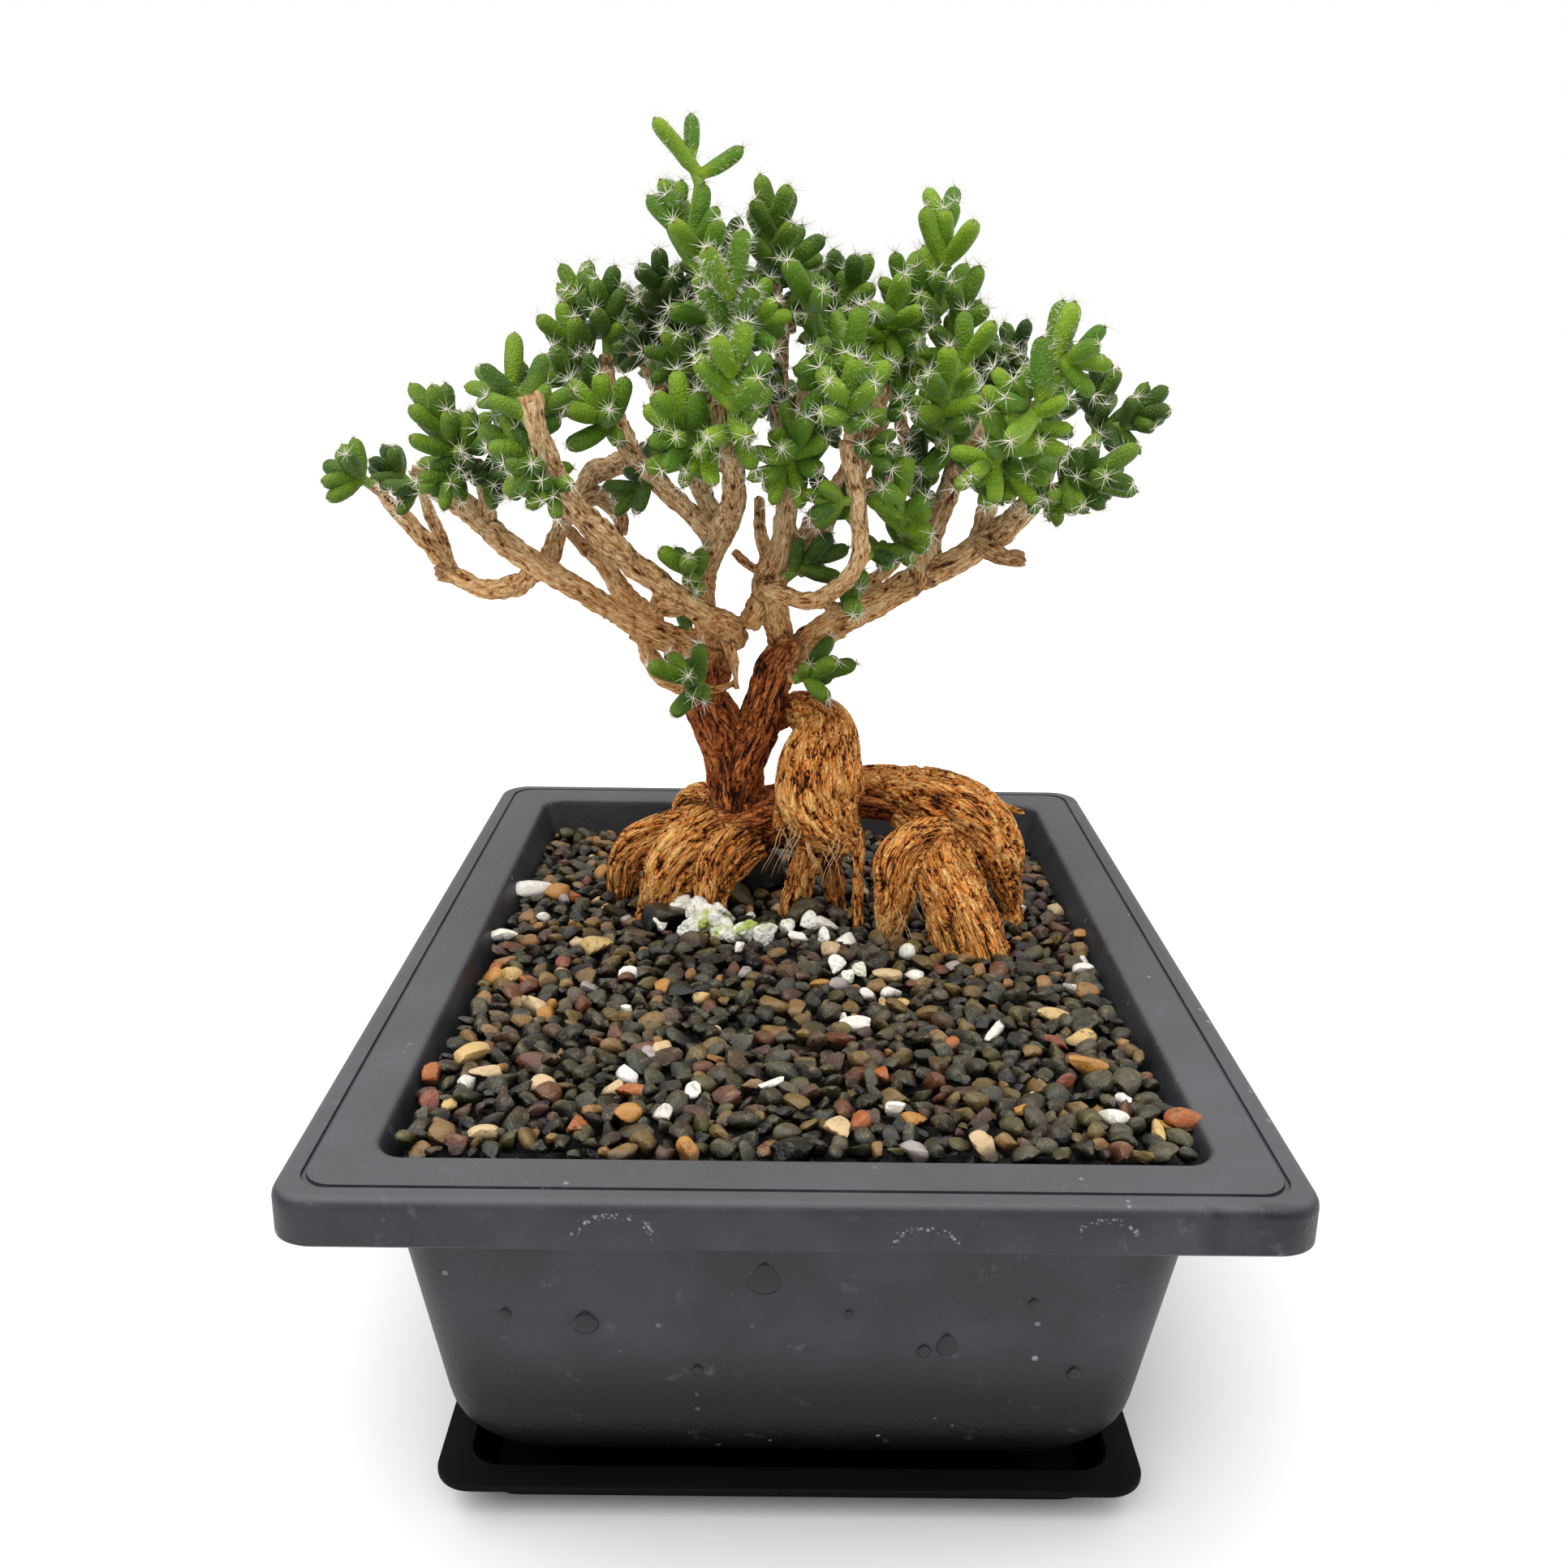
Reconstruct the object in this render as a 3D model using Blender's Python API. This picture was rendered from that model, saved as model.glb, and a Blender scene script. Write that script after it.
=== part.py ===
"""Potted trichodiadema: a small succulent bonsai on thick exposed roots, in a plastic training pot on its drip tray.

Every size and table here is in millimetres and is turned into metres where a mesh is made. The rim runs along X and Y,
Z is up from the ground and the front of the pot faces -Y.
"""

import math
import random

import bmesh
import bpy
import numpy as np
from mathutils import Vector
from mathutils.geometry import delaunay_2d_cdt

MM = 0.001
GAP = 0.3  # clear space between two neighbouring pieces
ROOT_CLEARANCE = 0.5  # round the roots where they stand in the gravel
TWIG_GAP = 0.5  # between the end of a woody twig and the green stem that goes on from it
SEED = 1907

# The pot: half sizes, levels and radii.
POT_LONGER = 19.5  # how much the half depth is more than the half width, at every level
RIM_HALF, RIM_TOP, RIM_UNDER = 60.5, 57.0, 50.9
RIM_CORNER, RIM_FILLET, LIP_RADIUS = 5.0, 1.5, 1.2
OPENING_HALF = 50.1
GROOVE_IN, GROOVE_WIDTH, GROOVE_DEEP = 2.9, 0.6, 0.4
BODY_HALF, DRAFT = 50.0, 0.125  # half width under the rim, and its loss per millimetre downwards
FOOT_HALF, FOOT_Z, FOOT_RADIUS = 28.0, 1.8, 17.6
POT_WALL = 1.8
DRAIN_RADIUS, DRAIN_X, DRAIN_Y = 4.0, 15.0, 30.0

# The drip tray.
TRAY_LONGER = 19.5
TRAY_HALF, TRAY_TOP, TRAY_BASE_HALF = 47.0, 6.1, 42.0
TRAY_FLANGE, TRAY_FLANGE_THICK, TRAY_FLOOR = 4.2, 1.0, 1.5
TRAY_CORNER = 5.0

# Soil and gravel.
SOIL_TOP, GRAVEL_BOTTOM = 43.7, 44.0
GRAVEL_INSET = 0.7  # from the inside of the pot
GRAVEL_BEND = 49.6  # the level where the side of the gravel follows the flare of the pot
GRAVEL_MIDDLE, GRAVEL_SLOPE = 52.7, 0.04
MOUND_HEIGHT, MOUND_REACH, MOUND_AT = 1.2, 30.0, (5.0, 15.0)
PEBBLE_PITCH, PEBBLE_HEIGHT = 8.0, 2.4
PUMICE_FLOOR = 52.2
# Pumice lumps as (x, y, radius).
PUMICE = [(-19, 14.5, 2.8), (-15.5, 12, 3.2), (-11.8, 12.5, 2.8), (-17.2, 7.5, 2.6), (-13.8, 8.2, 2.8),
    (-10.8, 5.8, 2.8), (-7.4, 5.2, 2.6)]

# Sides of the round members.
ROOT_SIDES, LIMB_SIDES, THIN_SIDES, TWIG_SIDES, STEM_SIDES, LEAF_SIDES = 9, 6, 5, 5, 5, 5
ROOT_FLUTE = 0.11  # depth of the ridges along a root, as a share of its radius
TWIG_RADIUS, STEM_RADIUS, STEM_TIP_RADIUS = 0.9, 0.9, 0.7
FIRST_PAIR, LAST_PAIR = 2.4, 0.9  # from either end of a green stem to its lowest and its highest pair of leaves

# The share of its triangles that each fused piece keeps.
GRAVEL_SHARE, PUMICE_SHARE, WOOD_SHARE, SPRAY_SHARE = 0.7, 0.6, 0.56, 0.49

# Leaf kinds as (thickness, colour).
YOUNG, MID, DARK = 3.8, 3.5, 3.3
LEAF_COLOURS = {YOUNG: (0.20, 0.30, 0.035), MID: (0.085, 0.16, 0.03), DARK: (0.035, 0.075, 0.02)}

# Roots and trunk as points (x, y, z, radius) along each member.
ROOTS = {
    "left_stem": [(-9, 26, 64.5, 5.8), (-10.5, 25, 74.5, 4.2), (-12.5, 25, 83.5, 4), (-15, 24, 90, 3.8),
        (-14.5, 24, 95.5, 3.4), (-13, 24, 99.5, 2.6)],
    "right_stem": [(-10, 25, 71.5, 4.2), (-8.5, 24, 79.5, 3.6), (-6, 23, 85.5, 3.4), (-4.5, 22, 91.5, 3),
        (-3, 23, 95.5, 3.4), (-1, 23, 99, 3.2)],
    "crown": [(-11, 25, 67, 5.8), (-4, 26, 68.5, 5.2), (4, 26, 71.5, 4.2), (12, 26, 72.5, 3.6),
        (18.5, 25, 72, 3.8)],
    "left_hump": [(-10, 26, 67, 5.2), (-15.5, 23, 64.5, 6), (-20.5, 20, 61, 5.4), (-23, 19, 55, 3.8),
        (-24.5, 19, 47, 2.8)],
    "left_hump_front": [(-7.5, 24, 65, 4.2), (-12, 19, 63, 4.4), (-14, 17, 58.5, 3.2), (-14, 17, 51, 2)],
    "left_lobe": [(-16.5, 28, 66.5, 3), (-24.5, 29, 63.5, 3.4), (-29, 29, 60, 3.2),
        (-30.5, 29, 54.5, 2.6), (-30.5, 29, 47.5, 1.8)],
    "back_root": [(-10.5, 28, 70.5, 2.4), (-15.5, 36, 69, 2), (-19.5, 42, 66, 1.8), (-22, 45, 58, 1.4),
        (-23, 46, 46.5, 1)],
    "tuber": [(-4, 28, 86, 2.4), (0.5, 25, 88, 3), (4.5, 21, 85.5, 5), (4, 18, 80, 6.8),
        (4, 16, 74.5, 7.2), (6, 14, 71, 5.6), (10, 13, 67, 2.2)],
    "tuber_tip": [(1, 16, 74.5, 4), (-0.5, 15, 72, 3), (-2.5, 14, 70, 1.2)],
    "peg": [(3.5, 14, 72.5, 2.8), (3, 14, 67.5, 2.4), (1.5, 15, 61, 2.2), (0, 16, 54.5, 2),
        (-0.5, 16, 48, 1.4)],
    "strand": [(10, 13, 70.5, 1.8), (11, 11, 65.5, 1), (11, 10, 58.5, 0.8), (11, 9, 49.5, 0.6)],
    "shadow_strand": [(5, 22, 69, 2.8), (6.5, 21, 62, 2), (8, 20, 54.5, 1.6), (8.5, 19, 47.5, 1)],
    "right_hump": [(10, 26, 74.5, 2.8), (17, 25, 74.5, 3.4), (24.5, 22, 73, 5.2), (31.5, 20, 70, 5.4),
        (36, 18, 64.5, 4), (37.5, 17, 58.5, 2.2), (39.5, 16, 49, 1)],
    "under_root": [(19, 22, 70.5, 2.4), (24, 18, 67.5, 3), (29, 15, 65, 2.2), (32, 15, 59, 1.4),
        (33.5, 15, 51, 0.8)],
    "arch_root": [(25.5, 15, 69, 2.6), (20.5, 11, 69, 3.4), (17.5, 9, 66, 4), (17, 8, 61.5, 3.4),
        (16.5, 8, 56.5, 2.4), (17, 7, 49, 1.4)],
    "front_root": [(22.5, 15, 69.5, 3), (25, 8, 64, 4.2), (27.5, 5, 59.5, 5.4), (29.5, 3, 54.5, 6),
        (31.5, 2, 47, 6)],
    "spur": [(33, 21, 73.5, 1), (36.5, 22, 72, 0.6), (40.5, 23, 70.5, 0.4)],
}

# Branches, in the same way.
LIMBS = {
    "long_left": [(-12, 24, 97, 2.8), (-18, 24, 99, 2.6), (-24.5, 23, 102, 2.4), (-32, 22, 106.5, 2),
        (-38, 22, 110, 2), (-43, 22, 113, 2), (-48.5, 22, 117, 2), (-54.5, 23, 122, 2),
        (-59.5, 24, 125.5, 2), (-63, 25, 128.5, 1.6)],
    "long_left_stub": [(-51, 22, 118.5, 1.6), (-51, 22, 123, 1.4), (-51, 21, 127, 1.2),
        (-51, 20, 129.5, 1)],
    "curl": [(-42.5, 22.5, 112.5, 1.6), (-47, 27, 109, 1.8), (-51.5, 29, 107.5, 1.8), (-55.5, 31, 108, 1.6),
        (-59.5, 32, 109.5, 1.6), (-61.5, 31, 110, 1.6)],
    "curl_twig_a": [(-60, 32, 110, 1.4), (-62.5, 31, 114.5, 1.4), (-65.5, 30, 118.5, 1.4),
        (-68, 29, 121.5, 1.2), (-69.5, 28, 123.5, 1)],
    "curl_twig_b": [(-59.5, 33, 110, 1.4), (-61.5, 35, 115, 1.2), (-63.5, 36, 119.5, 1.2),
        (-64.5, 36, 123, 0.8)],
    "rear_twig": [(-42.5, 22.5, 112.5, 1.8), (-42, 27, 112.5, 1.8), (-40.5, 32, 117.5, 1.6), (-38.5, 36, 121, 1.6),
        (-34.5, 38, 122.5, 1.6), (-31, 40, 119, 1.6), (-31, 41, 115.5, 1.2)],
    "rear_link": [(-24, 24, 102, 2), (-25, 28, 103, 2), (-30, 32, 107, 1.8), (-33, 34, 111, 1.6), (-36.5, 36, 113.5, 1.2),
        (-39.5, 35, 117, 1.2)],
    "rear_arm": [(-37.5, 37, 123.5, 1.4), (-35, 39, 126.5, 2), (-31.5, 37, 128, 2),
        (-27.5, 31, 130, 1.8)],
    "front_left": [(-10, 22, 100.5, 2.4), (-11.5, 18, 104, 2.2), (-15, 14, 106.5, 2),
        (-18.5, 11, 109.5, 2), (-22.5, 9, 113, 2), (-26, 7, 116, 2), (-29.5, 4, 120, 2.2),
        (-33, 2, 124, 2), (-35.5, 0, 127.5, 2), (-37, -2, 132.5, 1.8), (-38, -4, 137, 1.6),
        (-38.5, -5, 140.5, 1.6), (-39, -5, 141.5, 1.8)],
    "front_left_stub": [(-17.5, 12, 108.5, 1.6), (-20.5, 9, 108.5, 1.6), (-22.5, 7, 109.5, 1.4)],
    "dead_snag": [(-11.5, 19, 102, 1.2), (-10.5, 18, 99, 1), (-10, 18, 96, 0.6), (-9.5, 18, 93, 0.4)],
    "side_snag": [(-15.5, 24.5, 90.5, 1.8), (-19, 27, 91.5, 1.6), (-23, 30, 92.5, 1.8), (-25.5, 32, 96, 1.6), (-27, 33, 98, 0.8),
        (-29, 33, 99, 0.6)],
    "centre_left": [(-12.5, 24, 98.5, 2.4), (-15, 22, 104.5, 2.4), (-16.5, 19, 109.5, 2.6),
        (-14.5, 17, 114.5, 2.2), (-12, 14, 120, 2), (-10, 10, 125, 2), (-10, 6, 130, 1.8),
        (-11, 3, 134.5, 1.4), (-12, 1, 138.5, 1.2), (-12, 0, 141.5, 1.2), (-12, 0, 142.5, 1.6)],
    "fork_a": [(-13, 15, 118, 1.8), (-17.5, 17, 122.5, 1.6), (-22, 17, 127, 1.6), (-25.5, 15, 131, 1.4),
        (-27.5, 13, 133, 1.2)],
    "fork_b": [(-12.5, 17, 120, 1.6), (-15.5, 24, 125, 1.6), (-19, 30, 130.5, 1.6),
        (-21.5, 34, 136, 1.6), (-24, 38, 141.5, 1.4), (-27, 41, 146, 1.4), (-30, 43, 149, 1.2)],
    "fork_a_tip": [(-25, 15, 130, 1.2), (-28.5, 20, 136.5, 1.2), (-30.5, 24, 141, 1.2),
        (-31.5, 27, 146, 1.4)],
    "grey_twig": [(-4.5, 21, 111.5, 1), (-8, 22, 113.5, 0.8), (-10.5, 23, 115.5, 0.8)],
    "dark_twig": [(-4.5, 20, 110, 1.4), (-4, 26, 111.5, 1.2), (-6, 30, 117, 1.2), (-6.5, 34, 123, 1)],
    "centre": [(-1.5, 24, 96.5, 2.2), (-3, 23, 102, 1.8), (-4.5, 21, 106.5, 2.2), (-4.5, 19, 111.5, 2.8),
        (-2.5, 17, 116.5, 2.4), (-2, 16, 121, 2), (-1.5, 16, 125.5, 1.8), (-0.5, 17, 130, 1.8),
        (0.5, 19, 134, 1.6), (1, 22, 139, 1.6), (2, 26, 143.5, 1.4), (3.5, 29, 147, 1.2)],
    "centre_link": [(-8, 20, 103.5, 1.8), (-6.5, 20, 106.5, 2), (-4.5, 20, 110.5, 2)],
    "centre_right": [(-1, 18, 113.5, 2.6), (2.5, 20, 118.5, 2.6), (5.5, 23, 123.5, 2.2),
        (8.5, 27, 127.5, 2), (11, 31, 133, 1.8), (13.5, 35, 138, 1.4), (15.5, 38, 143.5, 1.2)],
    "hook": [(-5, 16, 111, 1.6), (-2.5, 11, 110.5, 1.6), (0.5, 8, 110, 1.4), (3.5, 6, 110.5, 1.4),
        (6.5, 4, 113, 1.4), (9, 3, 116.5, 1.4), (9.5, 2, 121, 1.4), (9, 1, 125, 1.4), (8.5, 0, 129, 1.6),
        (8, 0, 132, 1.8), (7.5, 0, 135, 1.6)],
    "hook_snag": [(8.5, 0, 130.5, 1.6), (10, 2, 134.5, 1.8), (11.5, 4, 137.5, 1.6), (13.5, 5, 139.5, 1)],
    "right_arm": [(-0, 23, 98, 2.6), (3, 23, 101, 2.6), (7, 22, 104, 2.6), (11, 21, 106.5, 2.6),
        (16, 20, 109.5, 2.4), (21, 19, 112.5, 2.2), (26, 18, 115, 2.2), (29.5, 18, 117.5, 2.2),
        (33.5, 17, 120.5, 2.2), (36.5, 15, 124.5, 2), (38, 12, 129, 2), (38.5, 10, 132, 1.6),
        (38.5, 9, 134, 1.6)],
    "right_arm_stub": [(30, 17, 118, 1.6), (33, 14, 116.5, 1.4), (36, 12, 116.5, 1.4)],
    "right_arm_twig": [(37.5, 15, 124.5, 1.2), (40, 16, 126, 1.2), (42, 17, 127, 1)],
    "upright": [(20.5, 19, 112, 2.4), (21.5, 20, 117.5, 2.2), (23, 21, 121.5, 2), (24.5, 21, 126, 2),
        (26, 21, 130.5, 1.8), (28, 21, 135, 1.6), (29, 21, 138.5, 1.6)],
    "upright_b": [(29.5, 19, 117.5, 1.8), (31, 22, 122, 1.8), (32.5, 25, 126, 1.6), (34.5, 27, 130, 1.4),
        (36.5, 29, 134, 1)],
    "strip": [(11, 21.5, 107, 1.4), (11, 23, 109.5, 1.2), (15, 26, 112, 1.2), (18, 26, 115.5, 1.2), (20.5, 23, 119.5, 1)],
    "back_limb": [(19, 33, 131, 1.2), (17.5, 31, 135, 1.2), (16, 29, 139.5, 1), (15, 27, 143, 0.8)],
    "back_limb_root": [(6.5, 25, 124.5, 1.6), (13.5, 32, 126, 1.4), (19.5, 34, 130.5, 1.2),
        (23, 36, 136.5, 1.2), (24.5, 32, 143, 1), (23, 27, 148, 0.8)],
    "top_limb": [(-10, 8, 129, 1.4), (-13, 14, 136, 1.2), (-14.5, 17, 143, 1), (-14.5, 15, 148.5, 0.8)],
    "crown_limb": [(-1, 19, 130.5, 1.4), (-3, 26, 138, 1.4), (-3, 29, 146.5, 1.2), (-2.5, 28, 152, 1),
        (-3.5, 24, 156, 0.8)],
    "rear_left": [(-13, 26, 98, 2.2), (-16, 34, 105, 2), (-15.5, 41, 110, 1.8), (-14, 46, 114.5, 1.6),
        (-17.5, 53, 122, 1.4), (-21, 59, 128.5, 1.2), (-24, 64, 136, 1)],
    "rear_middle": [(-2.5, 26, 100, 2.2), (-3.5, 34, 106, 2), (-2, 43, 112.5, 1.8), (-1.5, 51, 119, 1.4),
        (-0, 59, 126, 1.2), (1, 64, 133, 1)],
    "rear_right": [(3, 26, 100, 2.4), (12, 36, 103.5, 2), (22.5, 46, 108.5, 1.8), (26, 55, 115, 1.4),
        (29.5, 61, 124, 1.2), (33, 65, 132, 1)],
    "right_far": [(42, 17, 127, 1), (46, 22, 130, 0.8), (49, 25, 133.5, 0.8)],
}

# Leafy sprays. Each green stem is (path points, pairs of leaves, twist in degrees, leaf length, spread in degrees,
# leaf kind), and the first point of a spray is where its woody twig ends.
SPRAYS = {
    "left_end": [([(-69.5, 28, 124), (-74, 26, 127.5)], 4, 0, 6.2, 70, MID)],
    "left_rear": [([(-65, 36, 123), (-69.5, 35, 127.5)], 3, 20, 5.2, 60, DARK)],
    "left_upper": [([(-51, 20, 129.5), (-55.5, 20, 130.5), (-57.5, 19, 137.5)], 4, 0, 7.2, 58, MID),
        ([(-51, 20, 129.5), (-54, 23, 134)], 2, 30, 5.6, 60, DARK)],
    "left_back": [([(-50.5, 24, 126.5), (-49, 30, 133), (-46, 32, 140.5)], 3, 20, 6.2, 60, DARK)],
    "left_inner": [([(-38.5, 1, 132.5), (-44.5, 6, 134.5)], 3, 40, 6, 62, MID),
        ([(-38.5, 1, 132.5), (-42, 4, 130.5)], 1, 0, 5.2, 60, DARK)],
    "left_high": [([(-40, 0, 137.5), (-42.5, 4, 141), (-43.5, 6, 143)], 2, 0, 8.2, 62, MID)],
    "left_shoulder": [([(-34, 25, 143), (-37.5, 24, 149.5)], 3, 0, 6.6, 60, MID),
        ([(-34, 25, 143), (-35.5, 30, 150.5), (-36, 30, 157)], 4, 30, 5.6, 60, DARK)],
    "left_crest": [([(-30.5, 24, 142.5), (-31.5, 26, 156)], 4, 20, 6, 60, MID)],
    "left_fill": [([(-32, 20, 139), (-37, 15, 143.5)], 3, 10, 6, 60, MID)],
    "front_left": [([(-27.5, 13, 133.5), (-30.5, 7, 138.5)], 3, 0, 8, 66, YOUNG)],
    "front_centre_left": [([(-11.5, 5, 130.5), (-15, 1, 133.5), (-17.5, -1, 138.5)], 3, 10, 8, 56, YOUNG),
        ([(-11.5, 5, 130.5), (-15.5, 6.5, 134)], 1, 60, 5, 60, MID)],
    "rear_shoulder": [([(-24.5, 36, 144.5), (-24, 32, 153)], 3, 0, 7, 56, DARK),
        ([(-24.5, 36, 144.5), (-19.5, 28, 155)], 3, 30, 7, 58, DARK),
        ([(-20.5, 29, 152.5), (-22.5, 24, 158)], 3, 0, 6.6, 50, MID)],
    "rear_peak": [([(-30, 43, 149), (-32, 50, 152)], 3, 20, 6, 60, DARK)],
    "top": [([(-14, 14, 149.5), (-14.5, 11, 156), (-15, 10, 160)], 2, 0, 8.2, 66, YOUNG),
        ([(-15, 10, 159.5), (-16.5, 10, 164.5)], 2, 40, 8, 64, MID),
        ([(-16.5, 10, 164.5), (-15.5, 10, 170), (-15, 10, 173.5)], 1, -30, 9, 58, YOUNG),
        ([(-15.5, 10, 172), (-17, 10, 175.5)], 1, 0, 8.2, 28, YOUNG),
        ([(-17, 11, 165), (-19.5, 12, 170)], 3, 30, 5, 58, MID)],
    "top_side": [([(-13, 19, 148.5), (-12.5, 22, 157.5), (-12, 22, 163.5)], 4, 40, 6, 58, DARK)],
    "bud": [([(-9.5, 7, 146.5), (-10, 2, 151.5), (-10.5, -1, 156.5)], 2, 70, 9, 34, YOUNG)],
    "front_stub_back": [([(-15.5, 15, 142), (-16.5, 9, 148.5)], 3, 10, 6.8, 56, MID)],
    "crown": [([(-4, 24, 156.5), (-4.5, 20, 168)], 4, 0, 7.2, 58, MID),
        ([(-4, 24, 156.5), (-1.5, 24, 161)], 2, 10, 7, 60, MID)],
    "crown_back": [([(-1.5, 32, 151.5), (-5.5, 40, 158.5)], 3, 30, 6.6, 60, DARK),
        ([(-1.5, 32, 151.5), (2.5, 42, 158)], 3, 0, 6.6, 60, DARK)],
    "crown_front": [([(-4.5, 26, 148.5), (-7, 19, 154.5)], 3, 20, 7, 58, DARK)],
    "tall_leaf": [([(4, 26, 147.5), (3.5, 14, 149.5), (1.5, 5, 154.5)], 2, 0, 9.2, 44, YOUNG)],
    "crown_right": [([(6, 30, 148), (6, 32, 159.5)], 3, 30, 5.6, 60, MID),
        ([(6, 30, 148), (9, 28, 158.5)], 3, 10, 6.2, 50, YOUNG)],
    "right_crest": [([(16.5, 30, 146), (13.5, 12, 154)], 3, 0, 7.4, 66, YOUNG),
        ([(16.5, 30, 146), (17, 28, 158.5)], 3, 0, 6.6, 58, MID)],
    "right_top": [([(21.5, 25, 151.5), (22.5, 20, 162)], 2, 10, 8.4, 62, YOUNG),
        ([(22.5, 20, 161), (22, 24, 168.5)], 2, 30, 5.4, 50, MID),
        ([(21.5, 25, 151.5), (20, 27, 158)], 3, 40, 6.4, 58, DARK)],
    "right_peak": [([(24.5, 24, 147), (25, 19, 155)], 3, 0, 7.4, 58, MID)],
    "right_back": [([(15.5, 39, 144), (13, 50, 151)], 3, 0, 6.4, 60, DARK),
        ([(15.5, 39, 144), (20, 50, 150.5)], 3, 20, 6.4, 60, DARK)],
    "front_right_pair": [([(7.5, 0, 135), (6.5, -6, 142)], 3, 0, 7.2, 56, YOUNG),
        ([(7.5, 0, 135), (8, 0.5, 141.5), (7, 1, 147.5)], 2, 0, 8, 62, YOUNG)],
    "front_centre": [([(-11, 1, 134.5), (-9.5, -5, 139), (-10, -8, 146)], 3, 0, 8.4, 60, YOUNG),
        ([(-11, 1, 134.5), (-8.5, -3, 136)], 1, 60, 5, 60, MID)],
    "front_middle": [([(-0, 14, 128.5), (-1, 1, 134.5)], 3, 0, 7.2, 62, YOUNG)],
    "front_right_mid": [([(25, 19, 132), (22, 8, 137.5), (21, 2, 143)], 3, 10, 8, 60, YOUNG),
        ([(22, 8, 137.5), (25, 6, 148)], 2, 0, 6.6, 60, MID),
        ([(25, 19, 132), (21, 12.5, 139)], 3, 30, 6, 60, MID)],
    "right_rear": [([(36.5, 30, 134.5), (35, 28, 148.5)], 4, 10, 6, 56, DARK),
        ([(36.5, 30, 134.5), (32, 27, 147)], 3, 30, 5.6, 58, DARK),
        ([(36.5, 30, 134.5), (38.5, 23, 145.5)], 3, 20, 6.2, 58, MID)],
    "front_right": [([(31, 8, 129.5), (30, -5, 135.5)], 2, 20, 8, 62, YOUNG),
        ([(30, -5, 135.5), (33, -11, 140.5)], 1, 0, 9.4, 80, YOUNG),
        ([(33, -11, 140), (35, -11, 148.5)], 2, 0, 8, 22, YOUNG)],
    "right_far": [([(49, 26, 134), (49.5, 28, 143)], 3, 0, 6.2, 54, DARK),
        ([(49, 26, 134), (52.5, 23, 136.5), (55.5, 20.5, 139)], 3, 0, 6.6, 56, MID)],
    "right_end": [([(41, 14, 127.5), (47.5, 8, 130.5)], 3, 0, 7.8, 66, MID),
        ([(41, 14, 127.5), (42, 8, 129)], 1, 40, 6, 60, MID)],
    "right_nook": [([(27, 17, 128), (29.5, 13, 131.5)], 1, 0, 5.4, 60, DARK)],
    "mid_right": [([(17.5, 19, 117), (16.5, 8, 122), (15, 2, 127.5)], 3, 0, 7.2, 62, YOUNG)],
    "mid_right_back": [([(21, 23, 123.5), (19, 19, 132)], 3, 20, 6, 60, DARK)],
    "hook_left": [([(8.5, 4, 123), (5.5, 8, 126)], 2, 0, 5.4, 60, DARK)],
    "hook_inside": [([(-1.5, 13, 113), (3, 15, 116)], 3, 0, 7, 58, DARK)],
    "hook_right": [([(10.5, 5, 117.5), (13, 9, 118.5)], 1, 30, 5, 60, DARK)],
    "arm_bud": [([(8, 11, 108.5), (9, 7, 111)], 1, 20, 4.6, 60, MID)],
    "low_left_bud": [([(-15.5, 14, 111), (-18, 9, 115)], 2, 20, 5.4, 60, MID)],
    "trunk_left": [([(-15, 17, 93.5), (-18, 11, 96.5)], 2, 30, 6.8, 62, MID)],
    "trunk_right": [([(0.5, 18.5, 95), (3.5, 16.5, 96.5)], 2, 20, 7, 50, MID)],
    "trunk_rear": [([(-16.5, 26, 100.5), (-19, 32, 100.5)], 1, 0, 6.8, 60, DARK)],
    "back_left": [([(-24, 64, 136.5), (-20.5, 67, 146.5)], 3, 0, 6.6, 60, DARK),
        ([(-24, 64, 136.5), (-18, 72, 139.5)], 3, 30, 6.4, 60, DARK)],
    "back_middle": [([(1, 64, 133.5), (9.5, 67, 144.5)], 3, 0, 6.6, 60, DARK),
        ([(1, 64, 133.5), (-8, 67, 143)], 3, 0, 6.6, 60, DARK)],
    "back_right": [([(33, 65, 132.5), (30.5, 67, 143)], 3, 0, 6.6, 60, DARK),
        ([(33, 65, 132.5), (39.5, 66, 143)], 3, 30, 6.4, 60, DARK)],
    "back_right_low": [([(38, 36, 132.5), (47, 46, 137.5)], 3, 0, 6.4, 60, DARK)],
    "back_top": [([(-14.5, 24, 146.5), (-17, 40, 155)], 3, 0, 6.6, 60, DARK)],
}


def material_for(name, colour, roughness, metallic=0.0):
    """One plain material named after its node."""
    material = bpy.data.materials.new(name)
    material.use_nodes = True
    shader = material.node_tree.nodes["Principled BSDF"]
    shader.inputs["Base Color"].default_value = (*colour, 1.0)
    shader.inputs["Roughness"].default_value = roughness
    shader.inputs["Metallic"].default_value = metallic
    material.diffuse_color = (*colour, 1.0)
    return material


def mesh_object(name, points, faces):
    """An object from points in millimetres and faces, with every face turned outwards."""
    bm = bmesh.new()
    verts = [bm.verts.new(Vector(p) * MM) for p in points]
    for face in faces:
        bm.faces.new([verts[i] for i in face])
    bmesh.ops.recalc_face_normals(bm, faces=bm.faces)
    mesh = bpy.data.meshes.new(name)
    bm.to_mesh(mesh)
    bm.free()
    if signed_volume(mesh) < 0:
        mesh.flip_normals()
    obj = bpy.data.objects.new(name, mesh)
    bpy.context.scene.collection.objects.link(obj)
    return obj


def signed_volume(mesh):
    """Six times the volume inside a closed mesh, negative when its faces point inwards."""
    mesh.calc_loop_triangles()
    return sum(
        mesh.vertices[a].co.dot(mesh.vertices[b].co.cross(mesh.vertices[c].co))
        for a, b, c in (t.vertices for t in mesh.loop_triangles)
    )


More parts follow.
